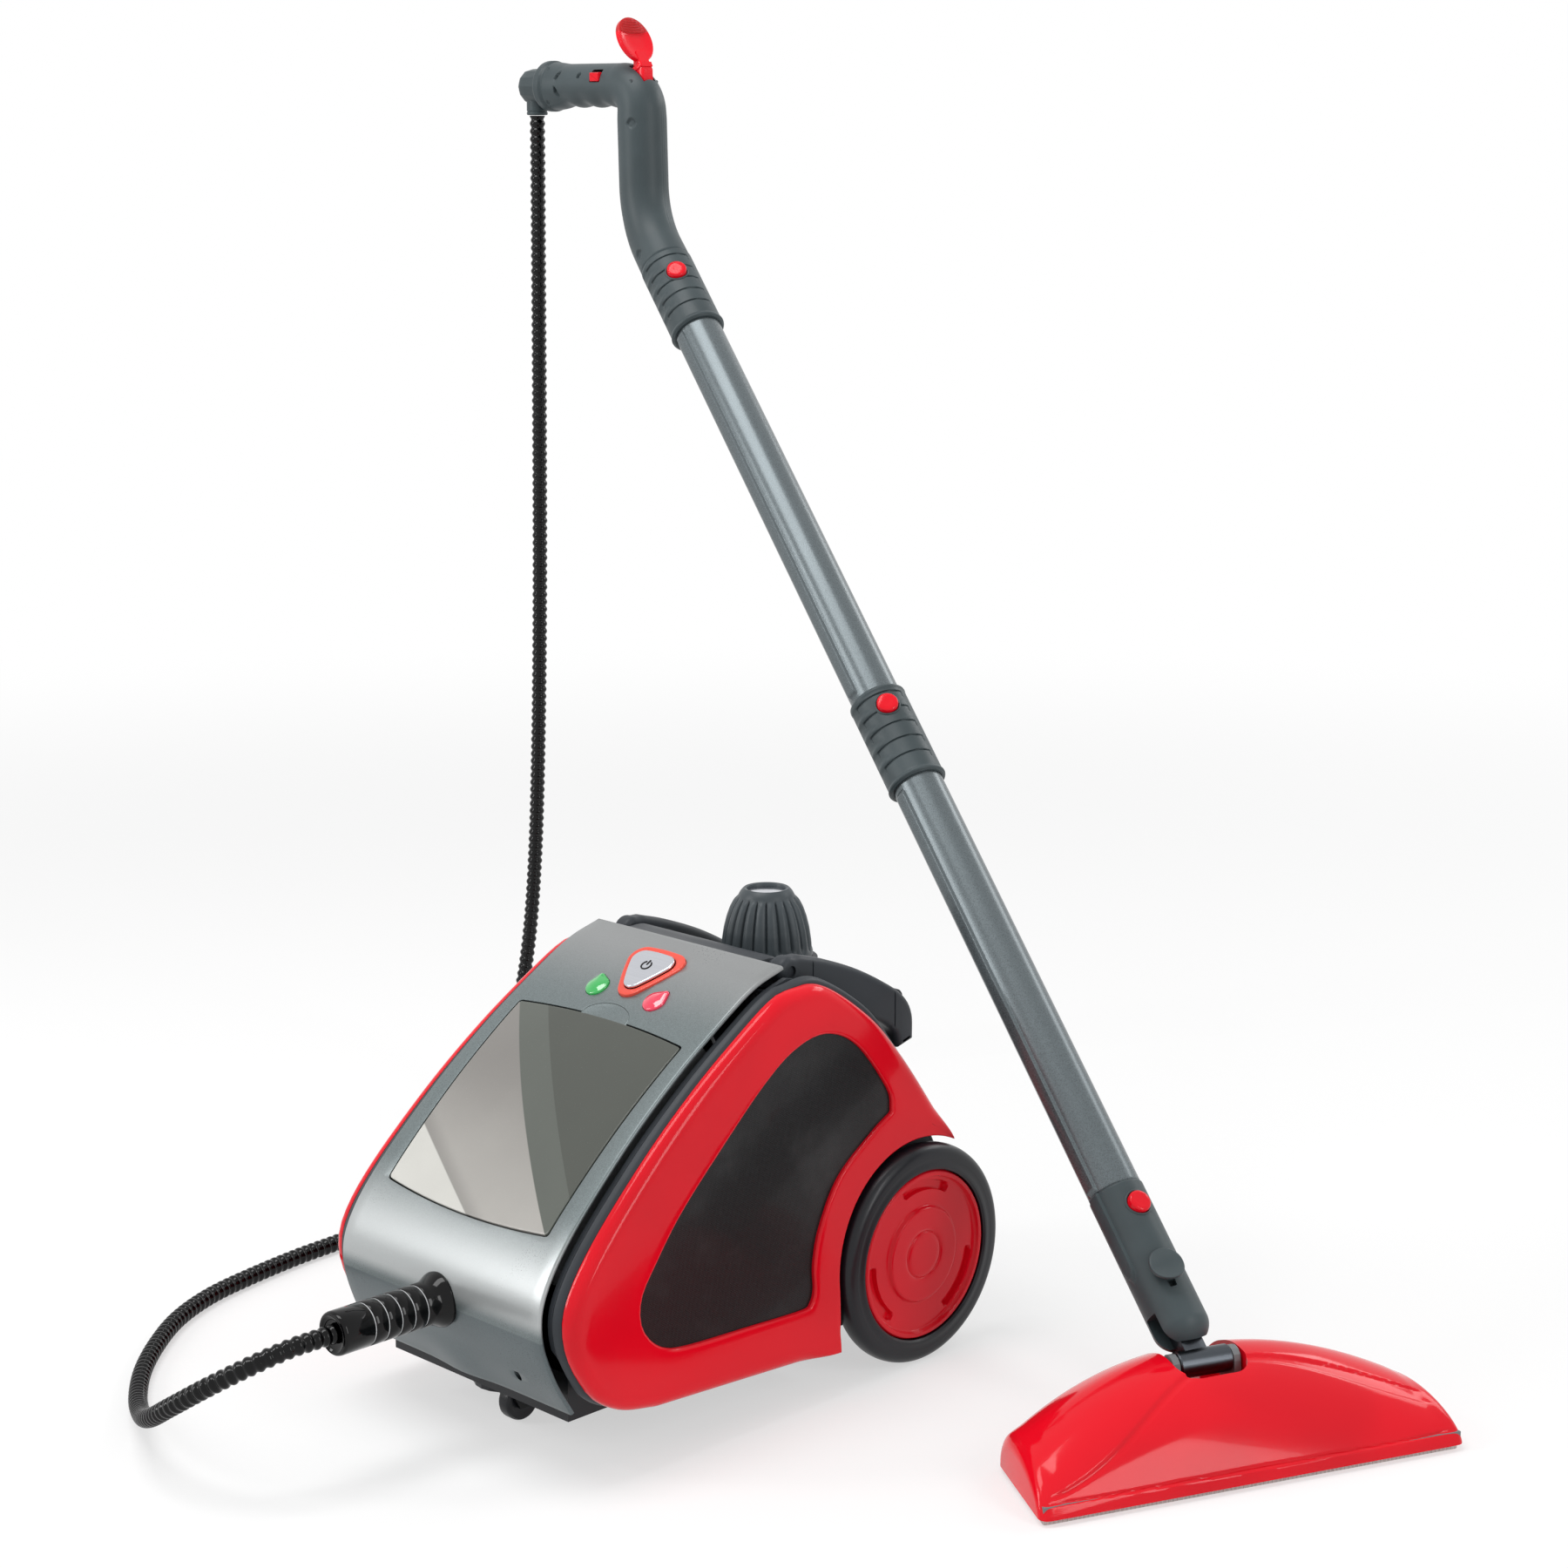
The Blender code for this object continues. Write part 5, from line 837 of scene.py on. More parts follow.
def door_painted_reflections():
    """Smoked gloss with painted studio reflections: four tones that meet along swept lines, a pale corner,
    and a painted shadow beside it.
    """
    n = Nodes("smoked_gloss_painted_reflections")
    point, (x, y, z) = n.place()
    middle, up = [float(v) for v in DOOR[:3, 3]], [float(v) for v in DOOR[:3, 1]]
    rise = (y - middle[1]) * up[1] + (z - middle[2]) * up[2]
    u = (x - middle[0] + DOOR_HALF) / (2 * DOOR_HALF)
    v = (rise + DOOR_REACH) / (2 * DOOR_REACH)
    # u runs across the door and v up it; each painted reflection tone ends where one of these curves is zero.
    sweep = u - 0.985 + v * 1.12 - v * v * 0.135
    second = u - 1.195 + v * 1.10 - v * v * 0.09
    corner = u - 0.464 + v * 1.657
    # The left tone is a painted reflection, pale at the bottom and darker up the door.
    left = n.mixed(v.ramp(0.0, 0.75), srgb(176, 173, 168), srgb(138, 135, 131))
    reflection_band, right, pale = srgb(97, 101, 95), srgb(82, 85, 79), srgb(212, 211, 205)
    # A painted shadow darkens the tone beside the pale corner.
    base = n.mixed(corner.ramp(0.16, 0.0) * 0.35, left, srgb(96, 94, 91))
    # The swept bands and the pale corner are painted reflections.
    base = n.mixed(sweep.ramp(-0.004, 0.004), base, reflection_band)
    base = n.mixed(second.ramp(-0.004, 0.004), base, right)
    base = n.mixed(corner.ramp(-0.008, 0.008), pale, base)
    slow = n.noise(point, 18, 3.0)
    dust = n.noise(point, 2200, 1.0).ramp(0.72, 0.82)
    base = n.mixed(slow.ramp(0.3, 0.7) * 0.06, base, (0.02, 0.02, 0.02))
    n.set(Base_Color=n.mixed(dust * 0.10, base, (0.7, 0.7, 0.7)),
          Roughness=0.20 + slow * 0.05 + dust * 0.2, Metallic=0.15, Specular_IOR_Level=0.30,
          Coat_Weight=0.12, Coat_Roughness=0.06)
    n.bump(n.noise(point, 300, 2.0), 0.00002)
    return n.material


LOOKS["smoked_gloss"] = door_painted_reflections()
show("door_panel", [put(over_cover(slab), DOOR)] + knuckles, "smoked_gloss", "storage_door",
     replaces=["storage_door"])

# %% Button, ring and lamps
ring_steps = [(-0.0040, 0), (0.0004, 0), (0.0010, 0.0003), (0.0013, 0.0009), (0.0013, 0.0014)]
ring = plate(triangle(0.0261), ring_steps, "Z")
show("button_ring", [put(ring, CONTROL)], "coral", ROOT, replaces=["button_bezel"],
     cuts=[block(triangle(0.0199), -0.02, 0.02, CONTROL)], edge=0.0006)
button_shares = (0.97, 0.85, 0.7, 0.5, 0.3, 0.15, 0.0)
button = cushion(triangle(0.0196), slab_rings(0.0018, 0.0036, 0.0010, button_shares, 0.0006))
show("button_cap", [put(button, CONTROL)], "silver", "power_button", replaces=["power_button"])
skirt = plate(triangle(0.0194), [(-0.0055, 0), (0.0017, 0)], "Z")
show("button_skirt", [put(skirt, CONTROL)], "black_gloss", "power_button")


def power_mark(radius, wide):
    """The usual on and off sign: an open circle and a bar through its gap."""
    at = CONTROL @ place((0, 0.0022, 0.00405))
    half = wide / 2
    rim = np.concatenate([arc((0, 0), radius + half, 122, 418, 40), arc((0, 0), radius - half, 418, 122, 40)])
    bar = np.array([(-half, 0.0002), (half, 0.0002), (half, radius + wide), (-half, radius + wide)])
    return [put(plate(shape, [(0, 0), (0.0004, 0)], "Z"), at) for shape in (rim, bar)]


show("power_sign", power_mark(0.0038, 0.0011), "black_gloss", "power_button")
for (name, side, look), at in zip(LAMPS, LAMP_FRAMES):
    lens_rings = slab_rings(-0.0045, 0.0016, 0.0014, (0.95, 0.8, 0.6, 0.4, 0.2, 0.0), 0.0016)
    lens = cushion(teardrop(0.0088, side), lens_rings)
    show(name + "_lens", [put(lens, at)], look, ROOT, replaces=[name])

# %% [markdown]
# ## Sides
#
# Each flank is four layers: a dark wall, a dark band that shows as a deep groove beside the
# cover, a thick red panel whose outer edge rolls over, and a mesh window sunk into the panel.
# Grooves cut into one block would stay shallow; real layers cast real shadows in their gaps.
# Panel and window share one knitted surface plan: four anchor points tie the outer outline to
# the window's.

# %% Side walls
wall_outline = flank([(0.1545, 0.080), (0.1525, 0.036), (0.1430, 0.030)])
wall_low = COVER_HALF + GAP
for name, side in SIDES:
    steps = [(wall_low, 0.0090), (wall_low + WALL_THICK, 0.0090)]
    wall = plate(wall_outline, [(side * level, inset) for level, inset in steps])
    show("wall_" + name, [put(leaned(wall), CANISTER)], "dark_trim", ROOT, replaces=["side_wall_" + name],
         cuts=[post(0.0044, -0.2, 0.2, AXLE, "X"),
               post(0.0800, side * 0.1069, side * 0.2, AXLE, "X", 96)])

# %% Red panels
WINDOW = curve_through([(0.075, 0.185), (0.056, 0.175), (0.022, 0.152), (0.002, 0.122), (-0.0055, 0.098),
                        (-0.0060, 0.080), (-0.0100, 0.0712), (-0.0190, 0.0688), (-0.070, 0.0712),
                        (-0.122, 0.0740), (-0.1420, 0.0782), (-0.1555, 0.0880), (-0.1620, 0.1010),
                        (-0.1600, 0.1170), (-0.1480, 0.1340), (-0.124, 0.162), (-0.086, 0.196),
                        (-0.046, 0.229), (-0.016, 0.247), (0.014, 0.252), (0.044, 0.238), (0.072, 0.202),
                        (0.075, 0.185)],
                       8)[:-1]
PANEL_REAR = [(0.0160, 0.2840), (0.0590, 0.2555), (0.0868, 0.2255), (0.1125, 0.1905), (0.140, 0.148),
              (0.152, 0.120)]


def rear_edge(points, first):
    """The flank's edge behind the cover, from its first point down to the wheel arch."""
    line = curve_through([tuple(first)] + points, 8)[1:]
    free = np.hypot(line[:, 0] - AXLE_Y, line[:, 1] - AXLE_Z) >= ARCH + 0.004
    return line[:int(np.argmin(free))]


wall_end = rear_edge(FLANK_REAR, stepped(COVER_LINE, WALL_PROUD)[-1])[-1]
arch_start = math.degrees(math.atan2(wall_end[1] - AXLE_Z, wall_end[0] - AXLE_Y))
arch_line = arc((AXLE_Y, AXLE_Z), ARCH, arch_start - 4, 184, 40)
RED_FOOT = [(0.017, 0.030), (-0.150, 0.0395), (-0.178, 0.0455), (-0.1985, 0.0580), (-0.2105, 0.0745)]
BAND_FOOT = [(0.017, 0.031), (-0.155, 0.0405), (-0.184, 0.0475), (-0.203, 0.0595), (-0.2130, 0.0745)]
band_rear = rear_edge([(0.016, 0.2885)] + FLANK_REAR[1:], stepped(COVER_LINE, BAND_SINK)[LEAVE_AT])
band_outline = flank(arch_line, band_rear, BAND_SINK, BAND_FOOT)
panel_rear = rear_edge(PANEL_REAR, stepped(COVER_LINE, PANEL_SINK)[LEAVE_AT])
panel_outline = flank(arch_line, panel_rear, PANEL_SINK, RED_FOOT)
band_low = wall_low + WALL_THICK + GAP
for name, side in SIDES:
    steps = [(band_low, 0.0012), (band_low + 0.0004, 0.0004), (band_low + 0.0012, 0.0),
             (band_low + 0.0050, 0.0006), (band_low + 0.0068, 0.0020), (band_low + 0.0074, 0.0032)]
    band = plate(band_outline, [(side * level, inset) for level, inset in steps])
    show("band_" + name, [put(leaned(band), CANISTER)], "dark_trim", ROOT)


def between(line, anchors, counts):
    """A closed line read afresh: even steps between the points nearest to the anchors."""
    at = [int(np.argmin(np.linalg.norm(line - anchor, axis=1))) for anchor in anchors]
    parts = []
    for start, end, count in zip(at, at[1:] + at[:1], counts):
        span = np.arange(start, end + 1 + (len(line) if end <= start else 0)) % len(line)
        parts.append(even(line[span], count + 1)[:-1])
    return np.concatenate(parts)


counts = (60, 40, 60, 70)
outer = between(panel_outline, [(0.137, 0.155), (0.0, 0.2985), (-0.200, 0.055), (0.017, 0.030)], counts)
inner = between(WINDOW[::-1], [(0.075, 0.190), (0.014, 0.252), (-0.158, 0.085), (-0.010, 0.069)], counts)
PANEL_LOW = band_low + 0.0077
PANEL_FACE = COVER_HALF + WALL_THICK + 2 * GAP + PANEL_THICK
from_axle = np.hypot(outer[:, 0] - AXLE_Y, outer[:, 1] - AXLE_Z)
roll = 0.0012 + (0.0088 - 0.0012) * ease(from_axle, ARCH + 0.001, ARCH + 0.022)
from_foot = np.hypot(outer[:, 0] - 0.017, outer[:, 1] - 0.030)
roll = np.minimum(roll, 0.0014 + 0.0074 * ease(from_foot, 0.004, 0.040))
RIM_ROLL = 0.0022


def panel_rows(side):
    """Rows from the back of the panel, round its outer edge, over its face and down its rim."""
    rows = [(inner, PANEL_LOW), (outer, PANEL_LOW)]
    for t in np.radians(np.linspace(0, 90, 9)):
        level = PANEL_FACE - roll * (1 - math.sin(t))
        rows.append((stepped(outer, roll * (1 - math.cos(t)), True), level))
    edge, rim = rows[-1][0], stepped(inner, -RIM_ROLL, True)
    for share in np.linspace(0, 1, 9)[1:]:
        rows.append((edge * (1 - share) + rim * share, PANEL_FACE))
    for t in np.radians(np.linspace(0, 90, 6)[1:]):
        level = PANEL_FACE - RIM_ROLL * (1 - math.cos(t))
        rows.append((stepped(inner, -RIM_ROLL * (1 - math.sin(t)), True), level))
    rows.append((inner, PANEL_LOW))
    grid = [np.column_stack([np.broadcast_to(side * level, len(line)), line]) for line, level in rows]
    return looped(np.array(grid))


for name, side in SIDES:
    show("panel_" + name, [put(leaned(panel_rows(side)), CANISTER)], "gloss_red", ROOT,
         replaces=["side_panel_" + name])
    face = PANEL_FACE - 0.0035
    pane_steps = [(face - 0.0050, 0), (face - 0.0004, 0), (face, 0.0004)]
    pane = plate(inner[::-1], [(side * level, inset) for level, inset in pane_steps])
    show("window_" + name, [put(leaned(pane), CANISTER)], "smoked_window", ROOT,
         replaces=["side_window_" + name])

# %% [markdown]
# ## Wheels
#
# A wheel is a profile turned about the axle.  Slots cut out of the hub would have hard edges, so
# its three slots, its groove and its raised middle are written as depths over the polar grid,
# and the turned surface carries them with soft ones.

# %% Wheels
HUB_R, SLOT_R, SLOT_REACH = 0.0605, 0.0490, 0.0205


def hub_grid():
    """The hub's face as height over radius and angle: steps, a groove and three arc slots."""
    r = np.concatenate([np.linspace(0, 0.0150, 6), np.linspace(0.0157, 0.0173, 6),
                        np.linspace(0.019, 0.0315, 5), np.linspace(0.0325, 0.0350, 6),
                        np.linspace(0.0362, 0.0435, 5), np.linspace(0.0442, 0.0540, 16),
                        np.linspace(0.0545, 0.0602, 12)])
    t = np.linspace(0, 2 * math.pi, 289)
    rr, tt = np.meshgrid(r, t, indexing="ij")
    face = 0.0078 - 0.0030 * ease(rr, 0.0325, 0.0350) - 0.0011 * np.exp(-((rr - 0.0165) / 0.0007) ** 2)
    face += 0.0036 * ease(rr, 0.0546, 0.0562) - 0.0026 * ease(rr, 0.0580, 0.0602) ** 2
    degrees = np.degrees(tt)
    away = np.min([np.abs((degrees - middle + 180) % 360 - 180) for middle in (85, 205, 325)], axis=0)
    along = np.maximum(np.radians(away) * SLOT_R - SLOT_REACH, 0)
    from_slot = np.hypot(along, np.maximum(np.abs(rr - SLOT_R) - 0.0009, 0))
    face -= 0.0050 * (1 - ease(from_slot, 0.0016, 0.0026))
    return np.stack([face, rr * np.cos(tt), rr * np.sin(tt)], -1)


def flipped(points, side):
    """The left wheel is the right one seen in a mirror."""
    out = np.array(points)
    out[..., 0] *= side
    return out


hub_rim = [(0.0602, 0.0066), (0.0602, -0.0080), (0.0560, -0.0085), (0.0530, 0.0010), (0.0115, 0.0010),
           (0.0105, -0.0095), (0.00406, -0.0095), (0.00406, 0.0052), (0.0, 0.0052)]
tread = curve_through([(0.0680, 0.0095), (0.0730, 0.0088), (0.0762, 0.0066), (0.0776, 0.0034), (0.0780, 0.0)],
                      5)
tyre = np.concatenate([[(HUB_R, 0.0086), (0.0618, 0.0098), (0.0640, 0.0099), (0.0654, 0.0092)], tread])
tyre = np.concatenate([tyre, (tyre * (1, -1))[::-1][1:]])
for name, side in SIDES:
    axle = place(joint_point(f"wheel_{name}_spin"))
    hub_face = hub_grid()
    rest = revolved([(0.0602, float(hub_face[-1, 0, 0]))] + hub_rim[1:], 288, "X")
    whole = np.concatenate([hub_face, rest[1:]])
    show("hub_" + name, [put(flipped(whole, side), axle)], "hub_red", "wheel_" + name,
         replaces=["wheel_hub_" + name], crease=50)
    ring = revolved(np.concatenate([tyre, tyre[:1]]), 160, "X")
    show("tread_" + name, [put(flipped(ring, side), axle)], "black_rubber", "wheel_" + name,
         replaces=["tyre_" + name])

# %% [markdown]
# ## Back, deck, handle and cap
#
# The deck between the handle's arms is an extruded line with soft edges, a shallow oval well
# and a half collar round the filler.  The cap is a bell with many ribs.  They could be bars
# set round a cone, but a turned profile that is drawn in between its ribs lets them fade into
# the crown.

# %% Rear cover and deck
def on_back(x, z):
    """A frame on the rear cover's line, at a height."""
    return CANISTER @ place((x, float(np.interp(z, BACK_LINE[::-1, 1], BACK_LINE[::-1, 0])), z))


TANK = CANISTER @ place((0, TANK_Y, 0))
back = strip(BACK_LINE, COVER_HALF, COVER_THICK, 0.0012, 15)
cord_at = on_back(0.055, 0.070)
vent = filleted([(-0.0300, -0.0011), (0.0300, -0.0011), (0.0300, 0.0011), (-0.0300, 0.0011)], [0.001] * 4)
vents = [block(vent, -0.004, 0.004, on_back(0, z) @ place(turns=turn(90, "X")))
         for z in np.arange(0.092, 0.140, 0.008)]
show("back_cover", [put(leaned(back), CANISTER)], "dark_trim", ROOT, replaces=["rear_cover"],
     cuts=[post(0.0160, 0.2, 0.32, TANK), post(0.0088, -0.02, 0.02, cord_at, "Y")] + vents, edge=0.0004)
grommet = [(0.0038, -0.0045), (0.0085, -0.0045), (0.0085, 0.0003), (0.0112, 0.0006), (0.0114, 0.0020),
           (0.0108, 0.0040), (0.0094, 0.0056), (0.0080, 0.0062), (0.0048, 0.0062), (0.0038, 0.0056),
           (0.0038, -0.0045)]
show("grommet", [put(revolved(grommet, 64, "Y"), cord_at)], "black_rubber", ROOT, replaces=["cord_grommet"])

HUMP_HALF = 0.0665
hump = curve_through([(-0.0035, 0.2975), (0.014, 0.296), (0.034, 0.282), (0.060, 0.272),
                      (0.088, 0.2655), (0.0965, 0.255), (0.0985, 0.240), (0.104, 0.206)], 6)
under = BACK_LINE[BACK_LINE[:, 0] < 0.102] + (0, GAP)
deck_outline = np.concatenate([under, hump[::-1]])
round_side = [(-HUMP_HALF, 0.0040), (-HUMP_HALF + 0.0012, 0.0012), (-HUMP_HALF + 0.0040, 0.0)]
deck = plate(deck_outline, round_side + [(0.0, 0.0)] + [(-a, b) for a, b in round_side[::-1]])
collar_line = np.concatenate([arc((0, 0), 0.0295, -28, 208, 48), arc((0, 0), 0.0345, 208, -28, 48)])
half_collar = plate(collar_line, rounding(0.2560, 0.2737, 0.0014), "Z")
PIVOT = CANISTER @ place((0, 0.010, 0.290))
oval = np.stack([0.0200 * np.cos(np.linspace(0, 2 * math.pi, 33)[:-1]),
                 0.0062 * np.sin(np.linspace(0, 2 * math.pi, 33)[:-1])], 1)
slot_frame = CANISTER @ place((-0.022, 0.0245, 0.2900), turn(-34, "X"))
bosses = [post(0.0053, side * (HUMP_HALF - 0.002), side * 0.0697, PIVOT, "X") for side in (-1, 1)]
show("deck", [put(deck, CANISTER)], "dark_trim", ROOT, replaces=["top_deck"], crease=32,
     joins=[[put(half_collar, TANK)], post(0.004, -0.0822, 0.0822, PIVOT, "X")] + bosses,
     cuts=[post(0.0355, 0.2737, 0.34, TANK), post(0.0160, 0.2, 0.35, TANK),
           block(oval, -0.0045, 0.02, slot_frame)],
     edge=0.0005)

# %% Filler cap
CAP_RIBS = 20


def cap_grid():
    """A bell over angle and height: wide hollows between narrow ribs, which fade at the crown."""
    height = np.concatenate([np.linspace(0, 0.004, 5), np.linspace(0.006, 0.040, 22),
                             np.linspace(0.0412, 0.0470, 8)])
    bell = np.array([(0, 0.0325), (0.0022, 0.0325), (0.004, 0.0319), (0.010, 0.0312), (0.018, 0.0300),
                     (0.026, 0.0280), (0.033, 0.0255), (0.038, 0.0228), (0.0412, 0.0200),
                     (0.0440, 0.0186), (0.0460, 0.0170), (0.0470, 0.0158)])
    radius = np.interp(height, bell[:, 0], bell[:, 1])
    t = np.linspace(0, 2 * math.pi, CAP_RIBS * 24 + 1)
    hh, tt = np.meshgrid(height, t, indexing="ij")
    rr = np.broadcast_to(radius[:, None], hh.shape)
    turn_share = (tt * CAP_RIBS / (2 * math.pi)) % 1
    groove = np.exp(-((turn_share - 0.5) / 0.085) ** 2)
    lobes = -0.0006 * np.cos(turn_share * 2 * math.pi)
    faded = ease(hh, 0.0025, 0.0075) * (1 - ease(hh, 0.0385, 0.0415))
    depth = (0.0017 * groove + 0.0003 + lobes) * faded
    rr = rr - depth
    return np.stack([rr * np.cos(tt), rr * np.sin(tt), hh], -1)


CAP = place(joint_point("cap_turn"))
cap_side = cap_grid()
cap_inside = revolved([(0.0158, 0.0470), (0.0140, 0.0466), (0.0134, 0.0455), (0.0134, 0.0410),
                       (0.0083, 0.0410), (0.0083, 0.0320), (0.0195, 0.0320), (0.0275, 0.0100),
                       (0.0280, 0.0006), (0.0290, 0.0), (0.0325, 0.0)], 480)
show("cap_bell", [put(np.concatenate([cap_side, cap_inside]), CAP)], "cap_grey", "filler_cap",
     replaces=["cap_shell"], crease=42)
disc = revolved([(0.0, 0.0412), (0.0129, 0.0412), (0.0129, 0.0436), (0.0124, 0.0443), (0.0105, 0.0446),
                 (0.0, 0.0447)], 96)
show("cap_disc", [put(disc, CAP)], "silver", "filler_cap")

# %% Carry handle
BAIL_TOP = [(0.020, 0.2990), (0.045, 0.2915), (0.074, 0.2800), (0.100, 0.2665), (0.122, 0.2520),
            (0.1315, 0.2375), (0.1325, 0.2180)]
BAIL_UNDER = [(0.1170, 0.2140), (0.1130, 0.2260), (0.102, 0.2350), (0.086, 0.2435), (0.060, 0.2610),
              (0.030, 0.2780), (0.014, 0.2800)]
arm_line = np.concatenate([curve_through(BAIL_TOP, 6), curve_through(BAIL_UNDER, 6),
                           arc((0.010, 0.290), 0.0100, 250, 66, 20)])
arm_line = even(arm_line, 160, True)[::-1]
arm_faces = rounding(0.0772, 0.0842, 0.0046, 6)
arms = []
for side in (-1, 1):
    near = [(2 * 0.0771 - level, inset) for level, inset in arm_faces[::-1]]
    arms.append(put(plate(arm_line, [(side * level, inset) for level, inset in near + arm_faces]), CANISTER))
bar_line = np.concatenate([arc((0.1235, 0.2460), 0.0078, -20, 200, 14),
                           arc((0.1255, 0.2240), 0.0068, 190, 350, 14)])
bar = put(plate(bar_line, [(-0.0735, 0), (0.0735, 0)]), CANISTER)


def seam(side, y):
    """A shallow groove across an arm, where its outer shell is parted."""
    line = [(y - 0.0007, 0.20), (y + 0.0007, 0.20), (y + 0.0007, 0.32), (y - 0.0007, 0.32)]
    return [put(plate(line, [(side * 0.0836, 0), (side * 0.09, 0)]), CANISTER)]


seams = [seam(side, y) for side in (-1, 1) for y in (0.0305, 0.1120)]
show("bail", arms, "dark_trim", "carry_handle", replaces=["carry_handle"],
     cuts=[post(0.00406, -0.2, 0.2, PIVOT, "X")] + seams)
show("bail_bar", [bar], "dark_trim", "carry_handle")

# %% [markdown]
# ## Wand
#
# Tubes, collars and adapter are all radius maps: how far the surface stands from the wand's
# axis, for every height and angle.  A rail, a slot or a grip groove could be joined on or cut,
# but as one more term in the map it blends into the surface as a moulded one does.

# %% Radius maps round the wand
RAIL = math.radians(96)
TUBE_R, COLLAR_R, ADAPTER_R = 0.0185, 0.0212, 0.0192


def skin(heights, radius, angles=None, inner=None):
    """A grid from a radius map; with an inner radius it closes as a tube."""
    t = np.linspace(0, 2 * math.pi, 241) if angles is None else angles
    hh, tt = np.meshgrid(heights, t, indexing="ij")
    rr = radius(hh, tt)
    rr[:, -1] = rr[:, 0]
    grid = np.stack([rr * np.cos(tt), rr * np.sin(tt), hh], -1)
    if inner is not None:
        low, high = (np.stack([inner * np.cos(t), inner * np.sin(t), np.full_like(t, height)], -1)
                     for height in (heights[0], heights[-1]))
        grid = np.concatenate([[low], grid, [high, low]])
    return grid


def turned_by(angles, middle):
    """How far an angle lies from a middle one, from -pi to pi."""
    return (angles - middle + math.pi) % (2 * math.pi) - math.pi


def rail_rise(hh, tt, low, high, radius, half=0.0045, proud=0.0022, fade=0.004):
    """The rail: a flat-topped ridge along the tube, sloping down at its two ends."""
    across = np.abs(turned_by(tt, RAIL)) * radius
    ridge = proud * (1 - ease(across, half - 0.0006, half + 0.0006))
    return ridge * ease(hh, low, low + fade) * (1 - ease(hh, high - fade, high))


def stations(low, high, step, *fine):
    """Heights from low to high, with extra ones packed round the given places."""
    extra = [at + np.linspace(-reach, reach, 9) for at, reach in fine]
    heights = np.concatenate([np.arange(low, high, step), [high]] + extra)
    return np.unique(np.round(heights[(heights >= low) & (heights <= high)], 6))


def tube(name, node, low, high, rail_low, rail_high):
    """A wand tube: its radius is even, with the rail's ridge added and both ends drawn in."""
    rail_t = RAIL + np.concatenate([-np.linspace(0.18, 0.30, 8)[::-1], np.linspace(0.18, 0.30, 8)])
    t = np.unique(np.concatenate([np.linspace(0, 2 * math.pi, 121), rail_t]))
    heights = stations(low, high, 0.030, (low, 0.0015), (high, 0.0015), (rail_low, 0.005), (rail_high, 0.005))

    def radius(hh, tt):
        ends = 0.0006 * (1 - ease(hh, low, low + 0.0009)) + 0.0006 * ease(hh, high - 0.0009, high)
        return TUBE_R + rail_rise(hh, tt, rail_low, rail_high, TUBE_R) - ends

    grid = skin(heights, radius, t, 0.0170)
    show(name, [put(grid, WAND)], "tube_paint", ROOT, replaces=[node], crease=30)


ADAPTER_TOP, MID_LOW, MID_HIGH, SOCKET_LOW, SOCKET_HIGH, INSERT = 0.127, 0.467, 0.545, 0.916, 0.990, 0.034
BUTTON_UPPER, BUTTON_MIDDLE, BUTTON_LOWER = 0.966, 0.528, 0.109
tube("tube_lower", "lower_tube", ADAPTER_TOP, MID_LOW + INSERT, ADAPTER_TOP + 0.0005, MID_LOW - 0.004)
tube("tube_upper", "upper_tube", MID_HIGH - INSERT, SOCKET_LOW + INSERT, MID_HIGH + 0.004,
     SOCKET_LOW - 0.0005)


def around(degrees, radius, height):
    """A frame on the wand: Z points straight out at that angle, X down the wand."""
    t = math.radians(degrees)
    return WAND @ place((radius * math.cos(t), radius * math.sin(t), height),
                        turn(degrees, "Z") @ turn(90, "Y"))


# %% Collars
# The middle collar and its button stand 60 mm lower on the wand than their solids.
def collar_map(low, high, flare):
    """Grip texture as depths on the radius.

    Five arc slots, each with a hook at both ends, five notches round the back, and soft swells
    above the slots on the far side.
    """
    slots = np.linspace(low + 0.016, high - 0.008, 5)

    def radius(hh, tt):
        rr = COLLAR_R + flare(hh)
        rr = rr - 0.0008 * (1 - ease(hh, low, low + 0.0012)) - 0.0008 * ease(hh, high - 0.0012, high)
        front, back = turned_by(tt, math.radians(150)), turned_by(tt, math.radians(58))
        far_side = ease(-front, 0.30, 0.75) * (1 - ease(-front, 1.3, 1.6))
        hook_line = 1 - ease(np.abs(np.abs(front) - 0.95) * COLLAR_R, 0.0004, 0.0009)
        for at in slots:
            tilt = at + 0.0016 * np.cos(front)
            slot = 1 - ease(np.abs(hh - tilt), 0.0004, 0.0009)
            slot = slot * (1 - ease(np.abs(front), 0.93, 0.97))
            hook = hook_line * ease(hh, tilt - 0.0048, tilt - 0.0040) * (1 - ease(hh, tilt, tilt + 0.0008))
            swell = 0.0010 * np.exp(-((hh - tilt - 0.0030) / 0.0026) ** 2) * far_side
            notch = np.hypot(back * COLLAR_R / 0.0015, (hh - at + 0.006) / 0.0042)
            rr = rr - 0.0011 * np.maximum(slot, hook) + swell - 0.0012 * (1 - ease(notch, 0.75, 1.05))
        return rr

    return radius


def collar(name, node, low, high, button, flare):
    """A collar: its textured skin over a straight bore, with the hole for its release button."""
    t = np.linspace(0, 2 * math.pi, 361)
    heights = np.unique(np.concatenate([np.arange(low, high, 0.00045), [high],
                                        low + np.linspace(0, 0.0014, 6)]))
    grid = skin(heights, collar_map(low, high, flare), t, 0.0188)
    cuts = [post(0.0081, 0.0130, 0.05, around(160, 0, button))]
    show(name, [put(grid, WAND)], "wand_grey", ROOT, replaces=[node], cuts=cuts, crease=38)


